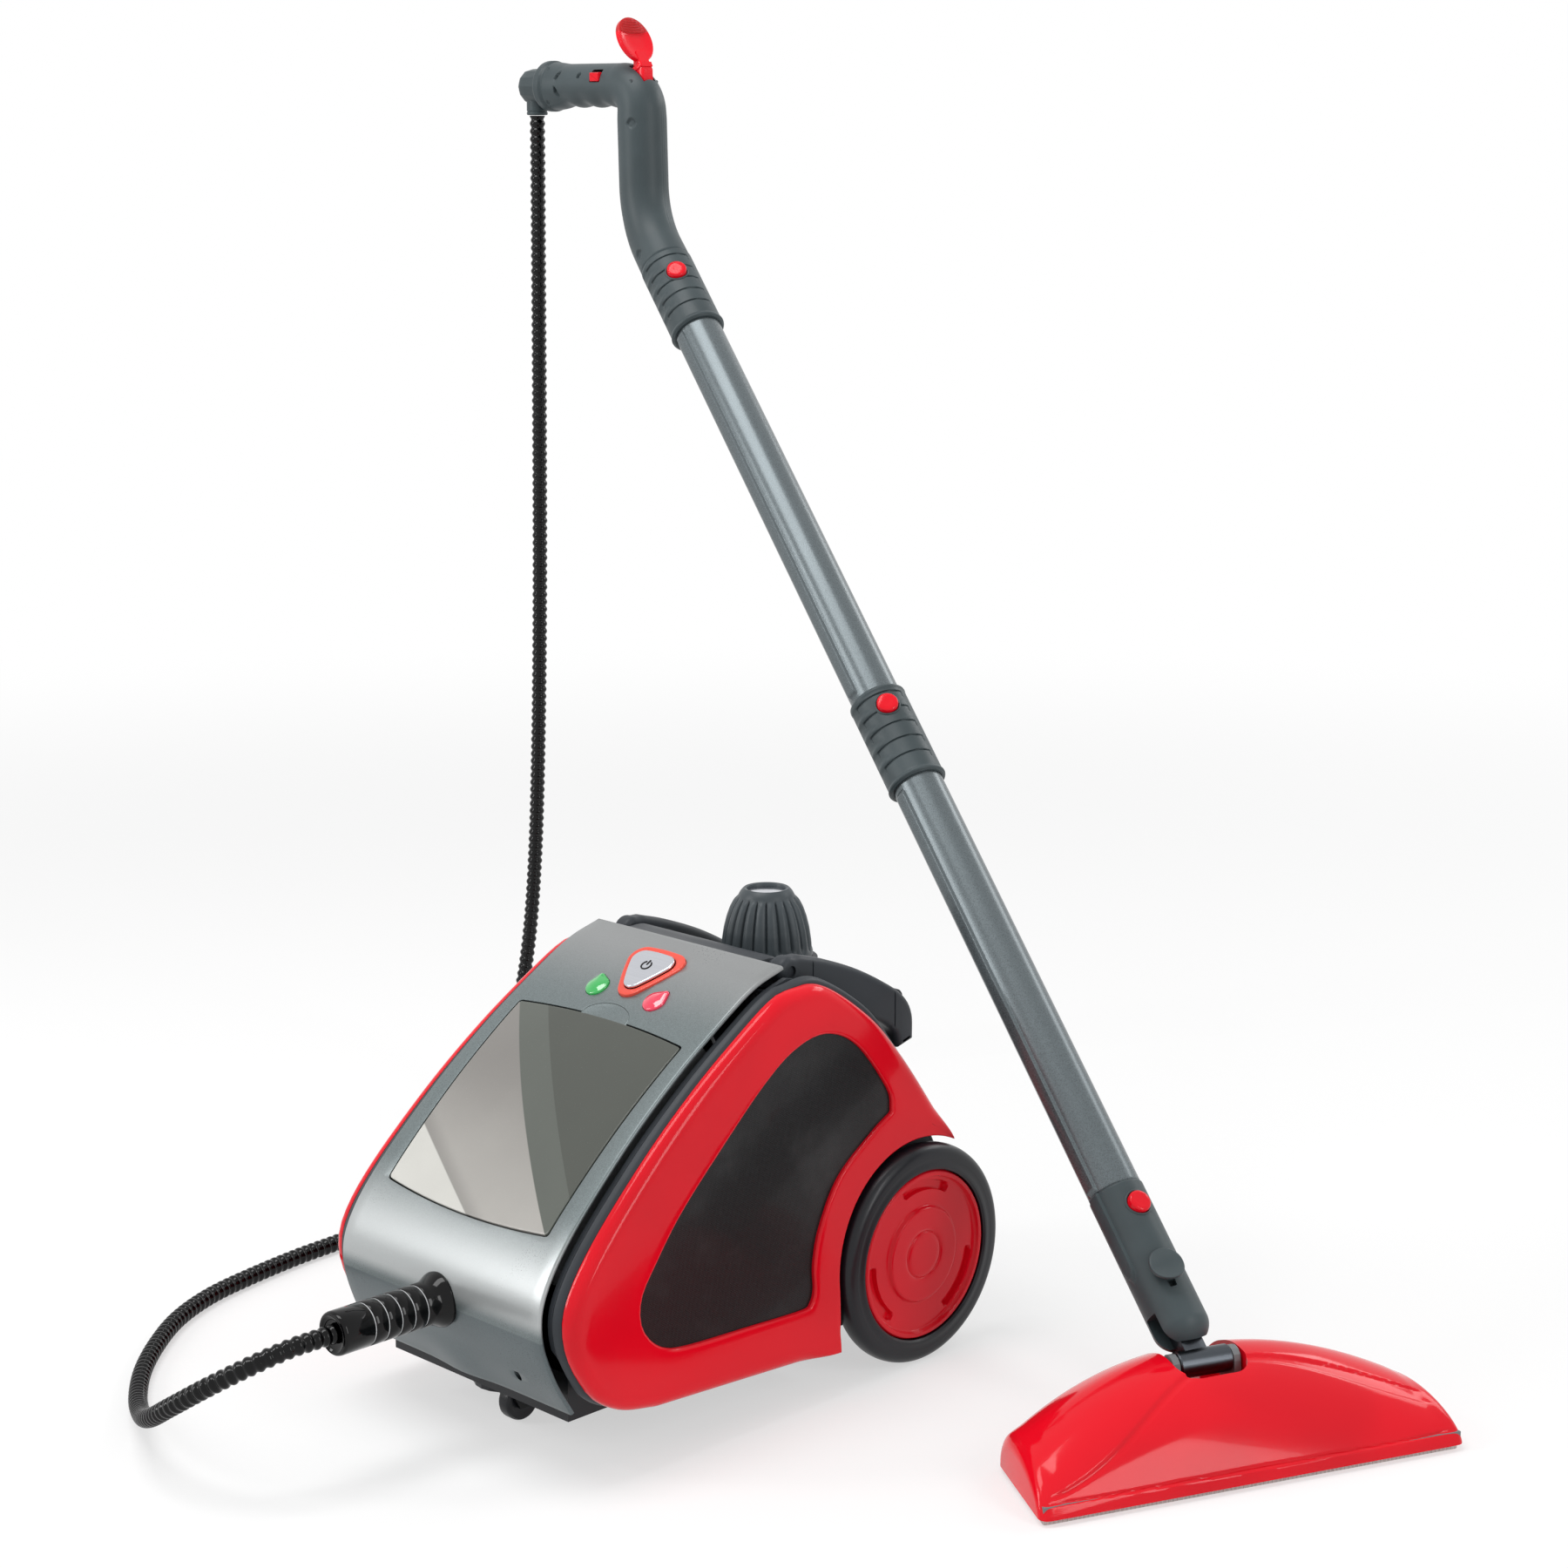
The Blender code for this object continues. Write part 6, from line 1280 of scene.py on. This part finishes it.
def lip(hh, low):
    """A low rounded ridge just above a collar's foot."""
    return 0.0009 * np.exp(-((hh - low - 0.0022) / 0.0014) ** 2)


def middle_flare(hh):
    """The middle collar has a second, smaller ridge at its top."""
    return lip(hh, MID_LOW) + 0.0004 * np.exp(-((hh - MID_HIGH + 0.002) / 0.0012) ** 2)


collar("collar_middle", "middle_collar", MID_LOW, MID_HIGH, BUTTON_MIDDLE, middle_flare)
collar("collar_upper", "handle_socket", SOCKET_LOW, SOCKET_HIGH, BUTTON_UPPER, lambda hh: lip(hh, SOCKET_LOW))

# %% Release buttons
for name, height, degrees, radius in (("release_button_upper", BUTTON_UPPER, 160, COLLAR_R),
                                      ("release_button_middle", BUTTON_MIDDLE, 160, COLLAR_R),
                                      ("release_button_lower", BUTTON_LOWER, 180, ADAPTER_R)):
    top = radius + 0.0030
    cap = [(0.0, 0.0152), (0.0078, 0.0152), (0.0078, top - 0.0016), (0.0076, top - 0.0009),
           (0.0071, top - 0.0003), (0.0062, top), (0.0050, top + 0.0001), (0.0030, top + 0.0001), (0.0, top)]
    at = around(degrees, 0, height)
    show(name + "_cap", [put(revolved(cap, 64), at)], "gloss_red", name.replace("release_", ""),
         replaces=[name])
    rim_r = 0.0089
    t = np.linspace(0, 2 * math.pi, 73)
    small = np.linspace(0, 2 * math.pi, 13)
    spread, rise = rim_r + 0.0008 * np.cos(small)[None, :], 0.0007 * np.sin(small)[None, :]
    x, y = spread * np.cos(t)[:, None], spread * np.sin(t)[:, None]
    z = np.sqrt(np.maximum(radius ** 2 - y ** 2, 1e-6)) + rise
    show(name + "_rim", [put(np.stack([x, y, z + 0 * x], -1), at)], "wand_grey", ROOT)

# %% Adapter and its lever
FOOT_R, RAIL_TOP = 0.0160, 0.1255


def adapter_map(hh, tt):
    """A tube on a rounded foot; the rail runs down it and ends in a wedge."""
    foot = np.sqrt(np.clip(1 - ((NECK_RISE - hh) / FOOT_R) ** 2, 0, 1))
    rr = ADAPTER_R * np.where(hh < NECK_RISE, foot, 1.0)
    rr = rr - 0.0007 * ease(hh, RAIL_TOP, RAIL_TOP + 0.0012)
    across = np.abs(turned_by(tt, RAIL)) * ADAPTER_R
    wedge = 0.0045 * ease(hh, 0.060, 0.070)
    return rr + 0.0020 * (1 - ease(across, wedge - 0.0006, wedge + 0.0006)) * ease(hh, 0.060, 0.066)


low_part = NECK_RISE - FOOT_R * np.cos(np.radians(np.linspace(0, 88, 26)))
adapter_heights = np.unique(np.concatenate([low_part, np.arange(NECK_RISE, RAIL_TOP, 0.0018),
                                            RAIL_TOP + np.linspace(0, 0.0012, 6)]))
adapter_body = skin(adapter_heights, adapter_map)
inside = revolved([(ADAPTER_R - 0.0007, 0.1267), (0.0166, 0.1267), (0.0166, 0.1550), (0.0126, 0.1550),
                   (0.0126, 0.0560), (0.0, 0.0560)], 240)
LEVER = around(168, 0.0150, 0.0620)
flat_half = 0.0060
shelf = [(-flat_half, -0.05), (flat_half, -0.05), (flat_half, 0.05), (-flat_half, 0.05)]
cuts = [[put(plate(shelf, [(-0.02, 0), (NECK_RISE + 0.0105, 0)], "Z"), WAND)],
        [put(revolved([(0, -0.06), (0.0155, -0.06), (0.0155, 0.06), (0, 0.06)], 64, "Y"), WAND)],
        block([(-0.0072, -0.0036), (0.0075, -0.0036), (0.0075, 0.0036), (-0.0072, 0.0036)], -0.0010, 0.0150,
              LEVER),
        post(0.0081, 0.0085, 0.05, around(180, 0, BUTTON_LOWER)),
        block(filleted([(0.0100, -0.0030), (0.0150, -0.0024), (0.0150, 0.0024), (0.0100, 0.0030)],
                       [0.001] * 4),
              -0.0010, 0.0150, LEVER)]
show("adapter", [put(np.concatenate([adapter_body, inside]), WAND)], "wand_grey", ROOT,
     replaces=["floor_adapter"],
     cuts=cuts, crease=40)

leaf = np.stack([0.0125 * np.cos(np.linspace(0, 2 * math.pi, 49)[:-1]),
                 0.0116 * np.sin(np.linspace(0, 2 * math.pi, 49)[:-1])], 1)
saddle = cushion(leaf, slab_rings(0.0, 0.0022, 0.0009, (0.96, 0.85, 0.7, 0.55, 0.4, 0.25, 0.1, 0.0)))
saddle_x, saddle_y = saddle[..., 0], saddle[..., 1]
front_fall, back_rise = -14 * np.minimum(saddle_x + 0.001, 0) ** 2, 16 * np.maximum(saddle_x, 0) ** 2
saddle[..., 2] += front_fall + back_rise - 7 * saddle_y ** 2
saddle = put(saddle, place((0.0010, 0, 0.0082), turn(-6, "Y")))
stem = plate([(-0.0030, 0.0), (0.0030, 0.0), (0.0036, 0.0095), (-0.0026, 0.0095)],
             [(-0.0028, 0), (0.0028, 0)], "Y")
show("lever", [put(stem, LEVER)], "wand_grey", "swivel_lock_lever", replaces=["swivel_lock"],
     joins=[[put(saddle, LEVER)]], crease=40)

# %% [markdown]
# ## Handle
#
# The real handle is two moulded halves with an even, rounded bend.  It could be built from
# joined tubes, but one radius map carried along a bent centre line has no seam at the bend.
# Finger hollows, leaf dimples, screw wells and the flange at its end are terms of the map.  The
# trigger's pocket and the lock's slot have straight walls, so they are cut afterwards.

# %% Handle body
def rounded_path(corners, radii, steps=24):
    """A path through corners, each inner one replaced by an arc that meets both sides smoothly."""
    c = np.array(corners, float)
    parts = [c[:1]]
    for before, at, after, radius in zip(c, c[1:], c[2:], radii):
        a, b = (before - at) / np.linalg.norm(before - at), (after - at) / np.linalg.norm(after - at)
        half = math.acos(float(a @ b)) / 2
        centre = at + (a + b) / np.linalg.norm(a + b) * radius / math.sin(half)
        start, end = at + a * radius / math.tan(half) - centre, at + b * radius / math.tan(half) - centre
        t, span = np.linspace(0, 1, steps + 1)[:, None], math.pi - 2 * half
        parts.append(centre + (np.sin((1 - t) * span) * start + np.sin(t * span) * end) / math.sin(span))
    return np.concatenate(parts + [c[-1:]])


ELBOW, GRIP_END = np.array((-0.0391, 0.0102, 0.1425)), np.array((-0.1501, 0.0102, 0.1435))
handle_line = even(rounded_path([wand_z * GAP, wand_z * 0.050, ELBOW, GRIP_END], (0.075, 0.0215)), 330)
middle, along, first, second = carried(handle_line, (0, -1, 0))
share = np.linspace(0, 1, len(middle))[:, None]
run = share * float(np.linalg.norm(np.diff(handle_line, axis=0), axis=1).sum())
grip_u = (ELBOW[0] - middle[:, 0])[:, None] * (share > 0.55)
tt = np.linspace(0, 2 * math.pi, 193)[None, :]
thickness = np.array([(0, 0.0207), (0.20, 0.0200), (0.50, 0.0200), (0.66, 0.0178), (0.90, 0.0178),
                      (0.965, 0.0196), (1.0, 0.0196)])
rr = np.interp(share, thickness[:, 0], thickness[:, 1]) + 0 * tt
rr -= 0.0007 * (1 - ease(run, 0, 0.0014))
# Three finger hollows under the grip, then the groove and the flange near its end.
for at in (0.036, 0.058, 0.080):
    rr -= 0.0021 * np.exp(-((grip_u - at) / 0.0068) ** 2) * np.maximum(-np.sin(tt), 0) ** 1.5
rr += 0.0010 * ease(grip_u, 0.1035, 0.1045) - 0.0010 * np.exp(-((grip_u - 0.1020) / 0.0008) ** 2)
rr -= 0.0006 * ease(grip_u, 0.1098, 0.1110)


def well(along_at, degrees, long, wide, depth, from_elbow=True, lean=0.0):
    """A leaf-shaped hollow at a distance along the handle and an angle round it."""
    x = (grip_u if from_elbow else run) - along_at
    y = turned_by(tt, math.radians(degrees)) * 0.0190
    x, y = x * math.cos(lean) + y * math.sin(lean), y * math.cos(lean) - x * math.sin(lean)
    reach = np.abs(x / long) ** 1.4 + np.abs(y / wide) ** 1.4
    return -depth * (1 - ease(reach, 0.60, 1.05))


for along_at, degrees, long, wide, depth, lean in (
        (0.0844, 28, 0.0056, 0.0022, 0.0024, 115), (0.0580, 27, 0.0038, 0.0020, 0.0022, 108),
        (0.0850, -18, 0.0062, 0.0023, 0.0026, 72), (0.0985, 46, 0.0024, 0.0014, 0.0012, 20),
        (0.0985, -44, 0.0028, 0.0018, 0.0012, 100)):
    rr += well(along_at, degrees, long, wide, depth, True, math.radians(lean))
    rr += well(along_at, 180 - degrees, long, wide, depth, True, -math.radians(lean))
elbow_run = float(run[-1, 0]) - 0.111 + 0.006
for along_at, degrees in ((elbow_run - 0.028, 21), (0.0125, -8)):
    rr += well(along_at, degrees, 0.0044, 0.0046, 0.0017, False)
# Six fine lines run up the straight part, on the side away from the grip.
straight = ease(run, 0.006, 0.030) * (1 - ease(run, elbow_run - 0.030, elbow_run - 0.006))
for k in range(6):
    side_line = turned_by(tt, math.radians(98 + 7 * k)) * 0.0200
    rr -= 0.00022 * np.exp(-(side_line / 0.00045) ** 2) * straight
ring_out = np.cos(tt)[..., None] * first[:, None] + np.sin(tt)[..., None] * second[:, None]
handle = middle[:, None] + rr[..., None] * ring_out
PIN = GRIP @ place(ELBOW + (0.0029, 0, 0.0029))
LOCK = GRIP @ place(ELBOW + (-0.0370, 0, 0.0078))
pocket = [(-0.0105, -0.0085), (0.0075, -0.0085), (0.0075, 0.03), (-0.0105, 0.03)]
lock_slot = filleted([(-0.0062, -0.0050), (0.0062, -0.0050), (0.0062, 0.0052), (-0.0062, 0.0052)],
                     [0.0012] * 4)
show("handle_body", [put(handle, GRIP)], "wand_grey", ROOT,
     replaces=["handle_half_front", "handle_half_back"],
     cuts=[block(pocket, -0.0065, 0.0065, PIN, "Y"), block(lock_slot, -0.05, 0.05, LOCK, "Y")], crease=48)

# %% Cuff at the grip's end
END = GRIP @ place(GRIP_END)
length = np.array([0.0003, 0.0003, 0.0010, 0.0022, 0.0030, 0.0036, 0.0044, 0.0052, 0.0060, 0.0120, 0.0180,
                   0.0225, 0.0240, 0.0256, 0.0270, 0.0282, 0.0289, 0.0290, 0.0290])
reach_r = np.array([0.0, 0.0124, 0.0122, 0.0122, 0.0124, 0.0146, 0.0150, 0.0142, 0.0142, 0.0142, 0.0142,
                    0.0141, 0.0138, 0.0131, 0.0120, 0.0104, 0.0088, 0.0070, 0.0])
facets = 12
t = np.linspace(0, 2 * math.pi, facets * 12 + 1)
flat_side = math.cos(math.pi / facets) / np.cos((t + 1e-9) % (2 * math.pi / facets) - math.pi / facets)
share_flat = (ease(length, 0.0052, 0.0075) * (1 - ease(length, 0.0256, 0.0286)))[:, None]
cuff_r = reach_r[:, None] * (1 - share_flat + share_flat * flat_side[None, :] * 1.015)
cuff = np.stack([-length[:, None] + 0 * t, cuff_r * np.cos(t), cuff_r * np.sin(t)], -1)
outlet = revolved([(0, 0), (0.0084, 0), (0.0087, -0.0120), (0.0087, -0.0196), (0.0083, -0.0200),
                   (0.0083, -0.0206),
                   (0.0087, -0.0210), (0.0087, -0.0224), (0.0082, -0.0231), (0.0070, -0.0232), (0, -0.0232)],
                  64)
show("cuff", [put(cuff, END)], "wand_grey", ROOT, replaces=["hose_cuff"], crease=28,
     joins=[[put(outlet, END @ place((-0.0175, 0, 0)))]])

# %% Trigger and its lock
PADDLE_TILT = 27
PADDLE = PIN @ place(turns=turn(-PADDLE_TILT, "Y"))
LEAF_A, LEAF_B, LEAF_RISE = 0.0172, 0.0195, 0.0337
BORDER, BORDER_BEND = 0.0048, 10.0
angles = np.linspace(0, 2 * math.pi, 97)[:-1]
leaf = np.stack([LEAF_A * np.sin(angles), LEAF_B * np.cos(angles)], 1)[::-1]
shares = tuple(np.linspace(0.985, 0.0, 40))
paddle = cushion(leaf, slab_rings(-0.0020, 0.0020, 0.0009, shares), (0, 0))
# Only the rows of the upper face are shaped: a dish, and ribs beyond its curved border.
upper = np.arange(paddle.shape[0])[:, None] >= len(shares) + 5
a, b = paddle[..., 0], paddle[..., 1]
edge_share = np.clip((a / LEAF_A) ** 2 + (b / LEAF_B) ** 2, 0, 1)
border = BORDER + BORDER_BEND * a ** 2
ribbed = ease(b - border, -0.0003, 0.0003)
dish = -0.0016 * (1 - ease(edge_share, 0.05, 0.92)) * (1 - ribbed)
waves = np.maximum(np.sin((b - border) / 0.0023 * 2 * math.pi - 1.0), -0.2)
ribs_up = 0.0006 * waves * ribbed * (1 - ease(edge_share, 0.72, 0.88))
paddle[..., 2] += np.where(upper, dish + ribs_up, 0)
paddle = paddle[..., [2, 0, 1]] + (0.0060, 0, LEAF_RISE)
stem = plate([(-0.0045, -0.0045), (0.0045, -0.0045), (0.0095, 0.0060), (0.0080, 0.0230), (0.0042, 0.0230),
              (-0.0040, 0.0060)],
             [(-0.0054, 0.0008), (-0.0048, 0), (0.0048, 0), (0.0054, 0.0008)], "Y")
foot = plate([(-0.0085, 0.0085), (0.0100, 0.0085), (0.0100, 0.0125), (-0.0085, 0.0125)],
             [(-0.0062, 0.0008), (-0.0056, 0), (0.0056, 0), (0.0062, 0.0008)], "Y")


def paddle_finish():
    """Red lacquer; the ribbed third near the tip is a deeper red."""
    n = Nodes("paddle_lacquer")
    point, (x, y, z) = n.place()
    origin, tilt = [float(v) for v in PADDLE[:3, 3]], math.radians(PADDLE_TILT)
    rise = (z - origin[2]) * math.cos(tilt) - (x - origin[0]) * math.sin(tilt)
    off = y - origin[1]
    tip = (rise - LEAF_RISE - BORDER - off * off * BORDER_BEND).ramp(-0.0002, 0.0002)
    slow = n.noise(point, 60, 2.0)
    n.set(Base_Color=n.mixed(tip, RED, srgb(190, 22, 26)), Roughness=0.16 + tip * 0.10 + slow * 0.05,
          Specular_IOR_Level=0.16, Coat_Weight=0.15, Coat_Roughness=0.04)
    n.bump(n.noise(point, 420, 2.0), 0.00002)
    return n.material


show("paddle", [put(paddle, PADDLE)], paddle_finish(), "trigger", replaces=["steam_trigger"],
     joins=[[put(stem, PADDLE)], [put(foot, PADDLE)]], crease=40)
bar_outline = filleted([(-0.0054, -0.0044), (0.0054, -0.0044), (0.0054, 0.0028), (-0.0054, 0.0028)],
                       [0.0008] * 4)
bar_steps = [(-0.0184, 0.0008), (-0.0180, 0.0003), (-0.0172, 0.0), (0.0140, 0.0), (0.0148, 0.0006)]
show("lock_bar", [put(plate(bar_outline, bar_steps, "Y"), LOCK)], "gloss_red", "lock_slide",
     replaces=["trigger_lock"], crease=30)

# %% [markdown]
# ## Floor head
#
# The head could be lofted from a few drawn sections; here one formula gives the section at any
# distance along it, so the crown, the end slant and the two swept creases stay smooth.  The
# notch for the neck is cut last.

# %% Head shell
HEAD_HALF, HEAD_FRONT, HEAD_BACK, HEAD_FOOT = 0.155, -0.068, 0.052, 0.0042


def head_surface():
    """Rows along the head; each runs from the front lip over the crown to the back lip.

    The section is two quarter ovals that meet on the ridge.  Near the ends the whole section
    shrinks along a quarter circle, which rounds the rim of the flat end faces.
    """
    rim = 0.0070
    t = np.radians(np.linspace(0, 90, 9))
    level = np.linspace(-(HEAD_HALF - rim), HEAD_HALF - rim, 151)
    right = HEAD_HALF - rim + rim * np.sin(t[1:])
    x = np.concatenate([-right[::-1], level, right])
    rounded = rim * (1 - np.cos(t[1:]))
    shrink = np.concatenate([rounded[::-1], np.zeros(len(level)), rounded])
    x, shrink = x[:, None], shrink[:, None]
    crown = 0.0680 - 1.55 * x ** 2
    front, back = HEAD_FRONT + shrink, HEAD_BACK - 0.030 * (x / HEAD_HALF) ** 2 - shrink
    ridge = front + (back - front) * 0.60
    rise = crown - shrink - HEAD_FOOT
    u = np.linspace(0, 1, 97)[None, :]
    v = np.linspace(0, 1, 57)[None, 1:]
    fy = front + (ridge - front) * (1 - np.cos(u * math.pi / 2)) ** 0.9
    fz = HEAD_FOOT + rise * np.sin(u * math.pi / 2) ** 1.15
    by = ridge + (back - ridge) * np.sin(v * math.pi / 2)
    bz = HEAD_FOOT + rise * np.cos(np.minimum(v, 0.99999) * math.pi / 2) ** 0.75
    y, z = np.concatenate([fy, by], 1), np.concatenate([fz, bz], 1)
    depth = np.concatenate([u + 0 * x, 1 + v + 0 * x], 1)
    lift = z - HEAD_FOOT
    lip = 0.0012 * (1 - ease(lift, 0.0072, 0.0086)) - 0.0007 * np.exp(-((lift - 0.0090) / 0.0007) ** 2)
    sweep = 0.30 + 0.55 * ease(x, -0.150, 0.010) - 0.18 * ease(x, 0.010, 0.150)
    second = sweep - 0.045 - 0.10 * ease(x, 0.0, 0.150)
    swoosh = 0.0011 * ease(depth - sweep, -0.012, 0.012) * (1 - ease(depth, 1.0, 1.25))
    swoosh -= 0.0006 * ease(depth - second, -0.010, 0.010) * (1 - ease(depth - sweep, -0.010, 0.010))
    keep = 1 - ease(np.abs(x), HEAD_HALF - 0.020, HEAD_HALF - 0.004)
    out = (lip + swoosh * keep - 0.0010) * keep
    along_y, along_z = np.gradient(y, axis=1), np.gradient(z, axis=1)
    size = np.maximum(np.hypot(along_y, along_z), 1e-9)
    y, z = y - along_z / size * out, np.maximum(z + along_y / size * out, HEAD_FOOT)
    share = (y - HEAD_FRONT) / (HEAD_BACK - HEAD_FRONT)
    x = x - np.sign(x) * 0.020 * (np.clip(np.abs(x), 0, HEAD_HALF) / HEAD_HALF) ** 2 * share
    grid = np.stack([x, y, z], -1)
    return np.concatenate([grid, grid[:, :1]], 1)


notch_half, corner, notch_front = 0.0262, 0.0145, -0.0240
notch = np.concatenate([arc((NECK_SHIFT - notch_half + corner, notch_front + corner), corner, 180, 270, 10),
                        arc((NECK_SHIFT + notch_half - corner, notch_front + corner), corner, 270, 360, 10),
                        [(NECK_SHIFT + notch_half, 0.2), (NECK_SHIFT - notch_half, 0.2)]])
show("head_shell_skin", [put(head_surface(), HEAD)], "gloss_red", "floor_head", replaces=["head_shell"],
     cuts=[block(notch, 0.0320, 0.2, HEAD)], crease=35)

# %% Pad
def head_plan(inset, count=61):
    """The head's outline seen from above, stepped in, its corners rounded."""
    x = np.linspace(-(HEAD_HALF - inset), HEAD_HALF - inset, count)
    y = HEAD_BACK - 0.030 * (x / HEAD_HALF) ** 2 - inset
    slant = x - np.sign(x) * 0.020 * (x / HEAD_HALF) ** 2 * (y - HEAD_FRONT) / (HEAD_BACK - HEAD_FRONT)
    line = np.concatenate([np.stack([x, 0 * x + HEAD_FRONT + inset], 1), np.stack([slant, y], 1)[::-1]])
    radii = np.zeros(len(line))
    radii[[0, count - 1, count, -1]] = 0.004
    return filleted(line, radii)


pad = cushion(head_plan(0.004), slab_rings(0.0001, 0.0061, 0.0022, (0.99, 0.9, 0.7, 0.4, 0.0)), (0, -0.01))
pad_piece = show("pad_pile", [put(pad, HEAD)], "pad_cloth", "floor_head", replaces=["floor_pad"])

# %% Neck joint
NECK_AT = HEAD @ place((NECK_SHIFT, 0, 0.0600))
barrel = revolved([(0.0032, -0.0190), (0.0082, -0.0190), (0.0090, -0.0182), (0.0090, 0.0182),
                   (0.0082, 0.0190), (0.0032, 0.0190), (0.0032, -0.0190)], 72, "X")
tongue_line = np.concatenate([arc((0, NECK_RISE), 0.0085, 0, 180, 24),
                              [(-0.0085, 0.0), (-0.0060, -0.004), (0.0060, -0.004), (0.0085, 0.0)]])
tongue = plate(tongue_line, [(-0.0055, 0.0009), (-0.0049, 0.0), (0.0049, 0.0), (0.0055, 0.0009)])
pin_bores = [post(0.0032, -0.1, 0.1, at, "X") for at in (NECK_AT, WAND @ place((0, 0, NECK_RISE)))]
show("neck_link", [put(barrel, NECK_AT)], "dark_steel", "neck", replaces=["neck_joint"],
     joins=[[put(tongue, WAND)]], cuts=pin_bores, crease=40)

# %% Caster
roller = joint_point("caster_roll")
half_tread = [(0.0, 0.0078), (0.0016, 0.0078), (0.0016, 0.0055), (0.0100, 0.0055), (0.0106, 0.0057),
              (0.0124, 0.0055), (0.0133, 0.0042), (0.0135, 0.0028)]
roll_profile = [(radius, -x) for radius, x in half_tread] + half_tread[::-1]
show("caster_tyre", [put(revolved(roll_profile, 72, "X"), place(roller))], "black_rubber", "caster_roller",
     replaces=["caster_wheel"])

# %% [markdown]
# ## What stays as the solids made it
#
# Inner parts whose shape is right keep their solids and only get a finish: pins, pipes, the
# boiler and its fittings, the tray and the bin.  New surfaces for them would hardly be seen.

# %% Finishes of the kept solids
kept = 0
for node_name, node in frame["nodes"].items():
    if node.hide_render:
        continue
    look = LOOKS["wand_grey" if node_name == "trigger_pin" else node.data.materials[0].name.split(".")[0]]
    for material_slot in node.material_slots:
        material_slot.link = "OBJECT"
        material_slot.material = look
    kept += 1
print("finished", kept, "kept solids")

# %% [markdown]
# ## Floor and studio light
#
# The floor is plain matt paint.  For the camera and in mirrors it is plain white light, so that
# it fades into the backdrop.

# %% Floor
def studio_floor():
    """Matt paint whose emission and colour depend on the kind of ray and on the distance."""
    n = Nodes("studio_floor")
    point, (x, y, _) = n.place()
    slow = n.noise(point, 3, 2.0)
    ray = n.add("ShaderNodeLightPath", None, out="Is Camera Ray")
    kinds = [Wire(n, ray.socket.node.outputs[kind]) for kind in ("Is Glossy Ray", "Is Transmission Ray")]
    seen = ray.most(kinds[0]).most(kinds[1])
    far = (x * x + y * y).root().ramp(1.1, 3.2)
    near = n.mixed(far, (0.45, 0.45, 0.45), (0.0, 0.0, 0.0))
    n.set(Base_Color=n.mixed(seen, (0.80, 0.80, 0.80), near), Roughness=0.80 + slow * 0.1,
          Specular_IOR_Level=0.0,
          Emission_Color=(1.0, 1.0, 1.0), Emission_Strength=seen * (far * 0.45 + 0.55))
    n.bump(n.noise(point, 40, 2.0), 0.0002)
    return n.material


floor_mesh = bpy.data.meshes.new("floor")
reach = 9.0
corners = [(-reach, -reach, 0), (reach, -reach, 0), (reach, reach, 0), (-reach, reach, 0)]
floor_mesh.from_pydata(corners, [], [(0, 1, 2, 3)])
floor = bpy.data.objects.new("floor", floor_mesh)
floor.data.materials.append(studio_floor())
scene.collection.objects.link(floor)

# %% Lamps and world
def soft_lamp(name, spot, target, size, power):
    """A rectangular soft box that faces a target."""
    light = bpy.data.lights.new(name, "AREA")
    light.shape, light.size, light.size_y = "RECTANGLE", size[0], size[1]
    light.energy = power
    lamp = bpy.data.objects.new(name, light)
    aim = (Vector(target) - Vector(spot)).to_track_quat("-Z", "Y")
    lamp.location, lamp.rotation_mode, lamp.rotation_quaternion = spot, "QUATERNION", aim
    scene.collection.objects.link(lamp)


soft_lamp("top_box", (-0.3, -0.6, 2.6), (0, 0, 0.2), (0.9, 1.6), 30)
soft_lamp("left_box", (-1.5, -2.1, 1.4), (0, 0, 0.3), (0.5, 1.6), 22)
soft_lamp("right_box", (2.5, 0.2, 1.2), (0.1, 0.1, 0.3), (0.5, 1.6), 15)
soft_lamp("back_box", (0.4, 2.4, 1.7), (0, 0, 0.4), (1.6, 0.6), 12)
# The white world is seen at full strength by the camera and in mirrors, and lights less.
world = bpy.data.worlds.new("studio")
world.use_nodes = True
scene.world = world
sky = world.node_tree
ray = sky.nodes.new("ShaderNodeLightPath")
direct = sky.nodes.new("ShaderNodeMath")
direct.operation = "MAXIMUM"
sky.links.new(ray.outputs["Is Camera Ray"], direct.inputs[0])
sky.links.new(ray.outputs["Is Transmission Ray"], direct.inputs[1])
mirrored = sky.nodes.new("ShaderNodeMath")
mirrored.operation = "MAXIMUM"
sky.links.new(direct.outputs[0], mirrored.inputs[0])
sky.links.new(ray.outputs["Is Glossy Ray"], mirrored.inputs[1])
shade = sky.nodes.new("ShaderNodeMapRange")
sky.links.new(mirrored.outputs[0], shade.inputs["Value"])
shade.inputs["To Min"].default_value = 0.45
shade.inputs["To Max"].default_value = 1.0
background = sky.nodes["Background"]
background.inputs["Color"].default_value = (1, 1, 1, 1)
sky.links.new(shade.outputs["Result"], background.inputs["Strength"])
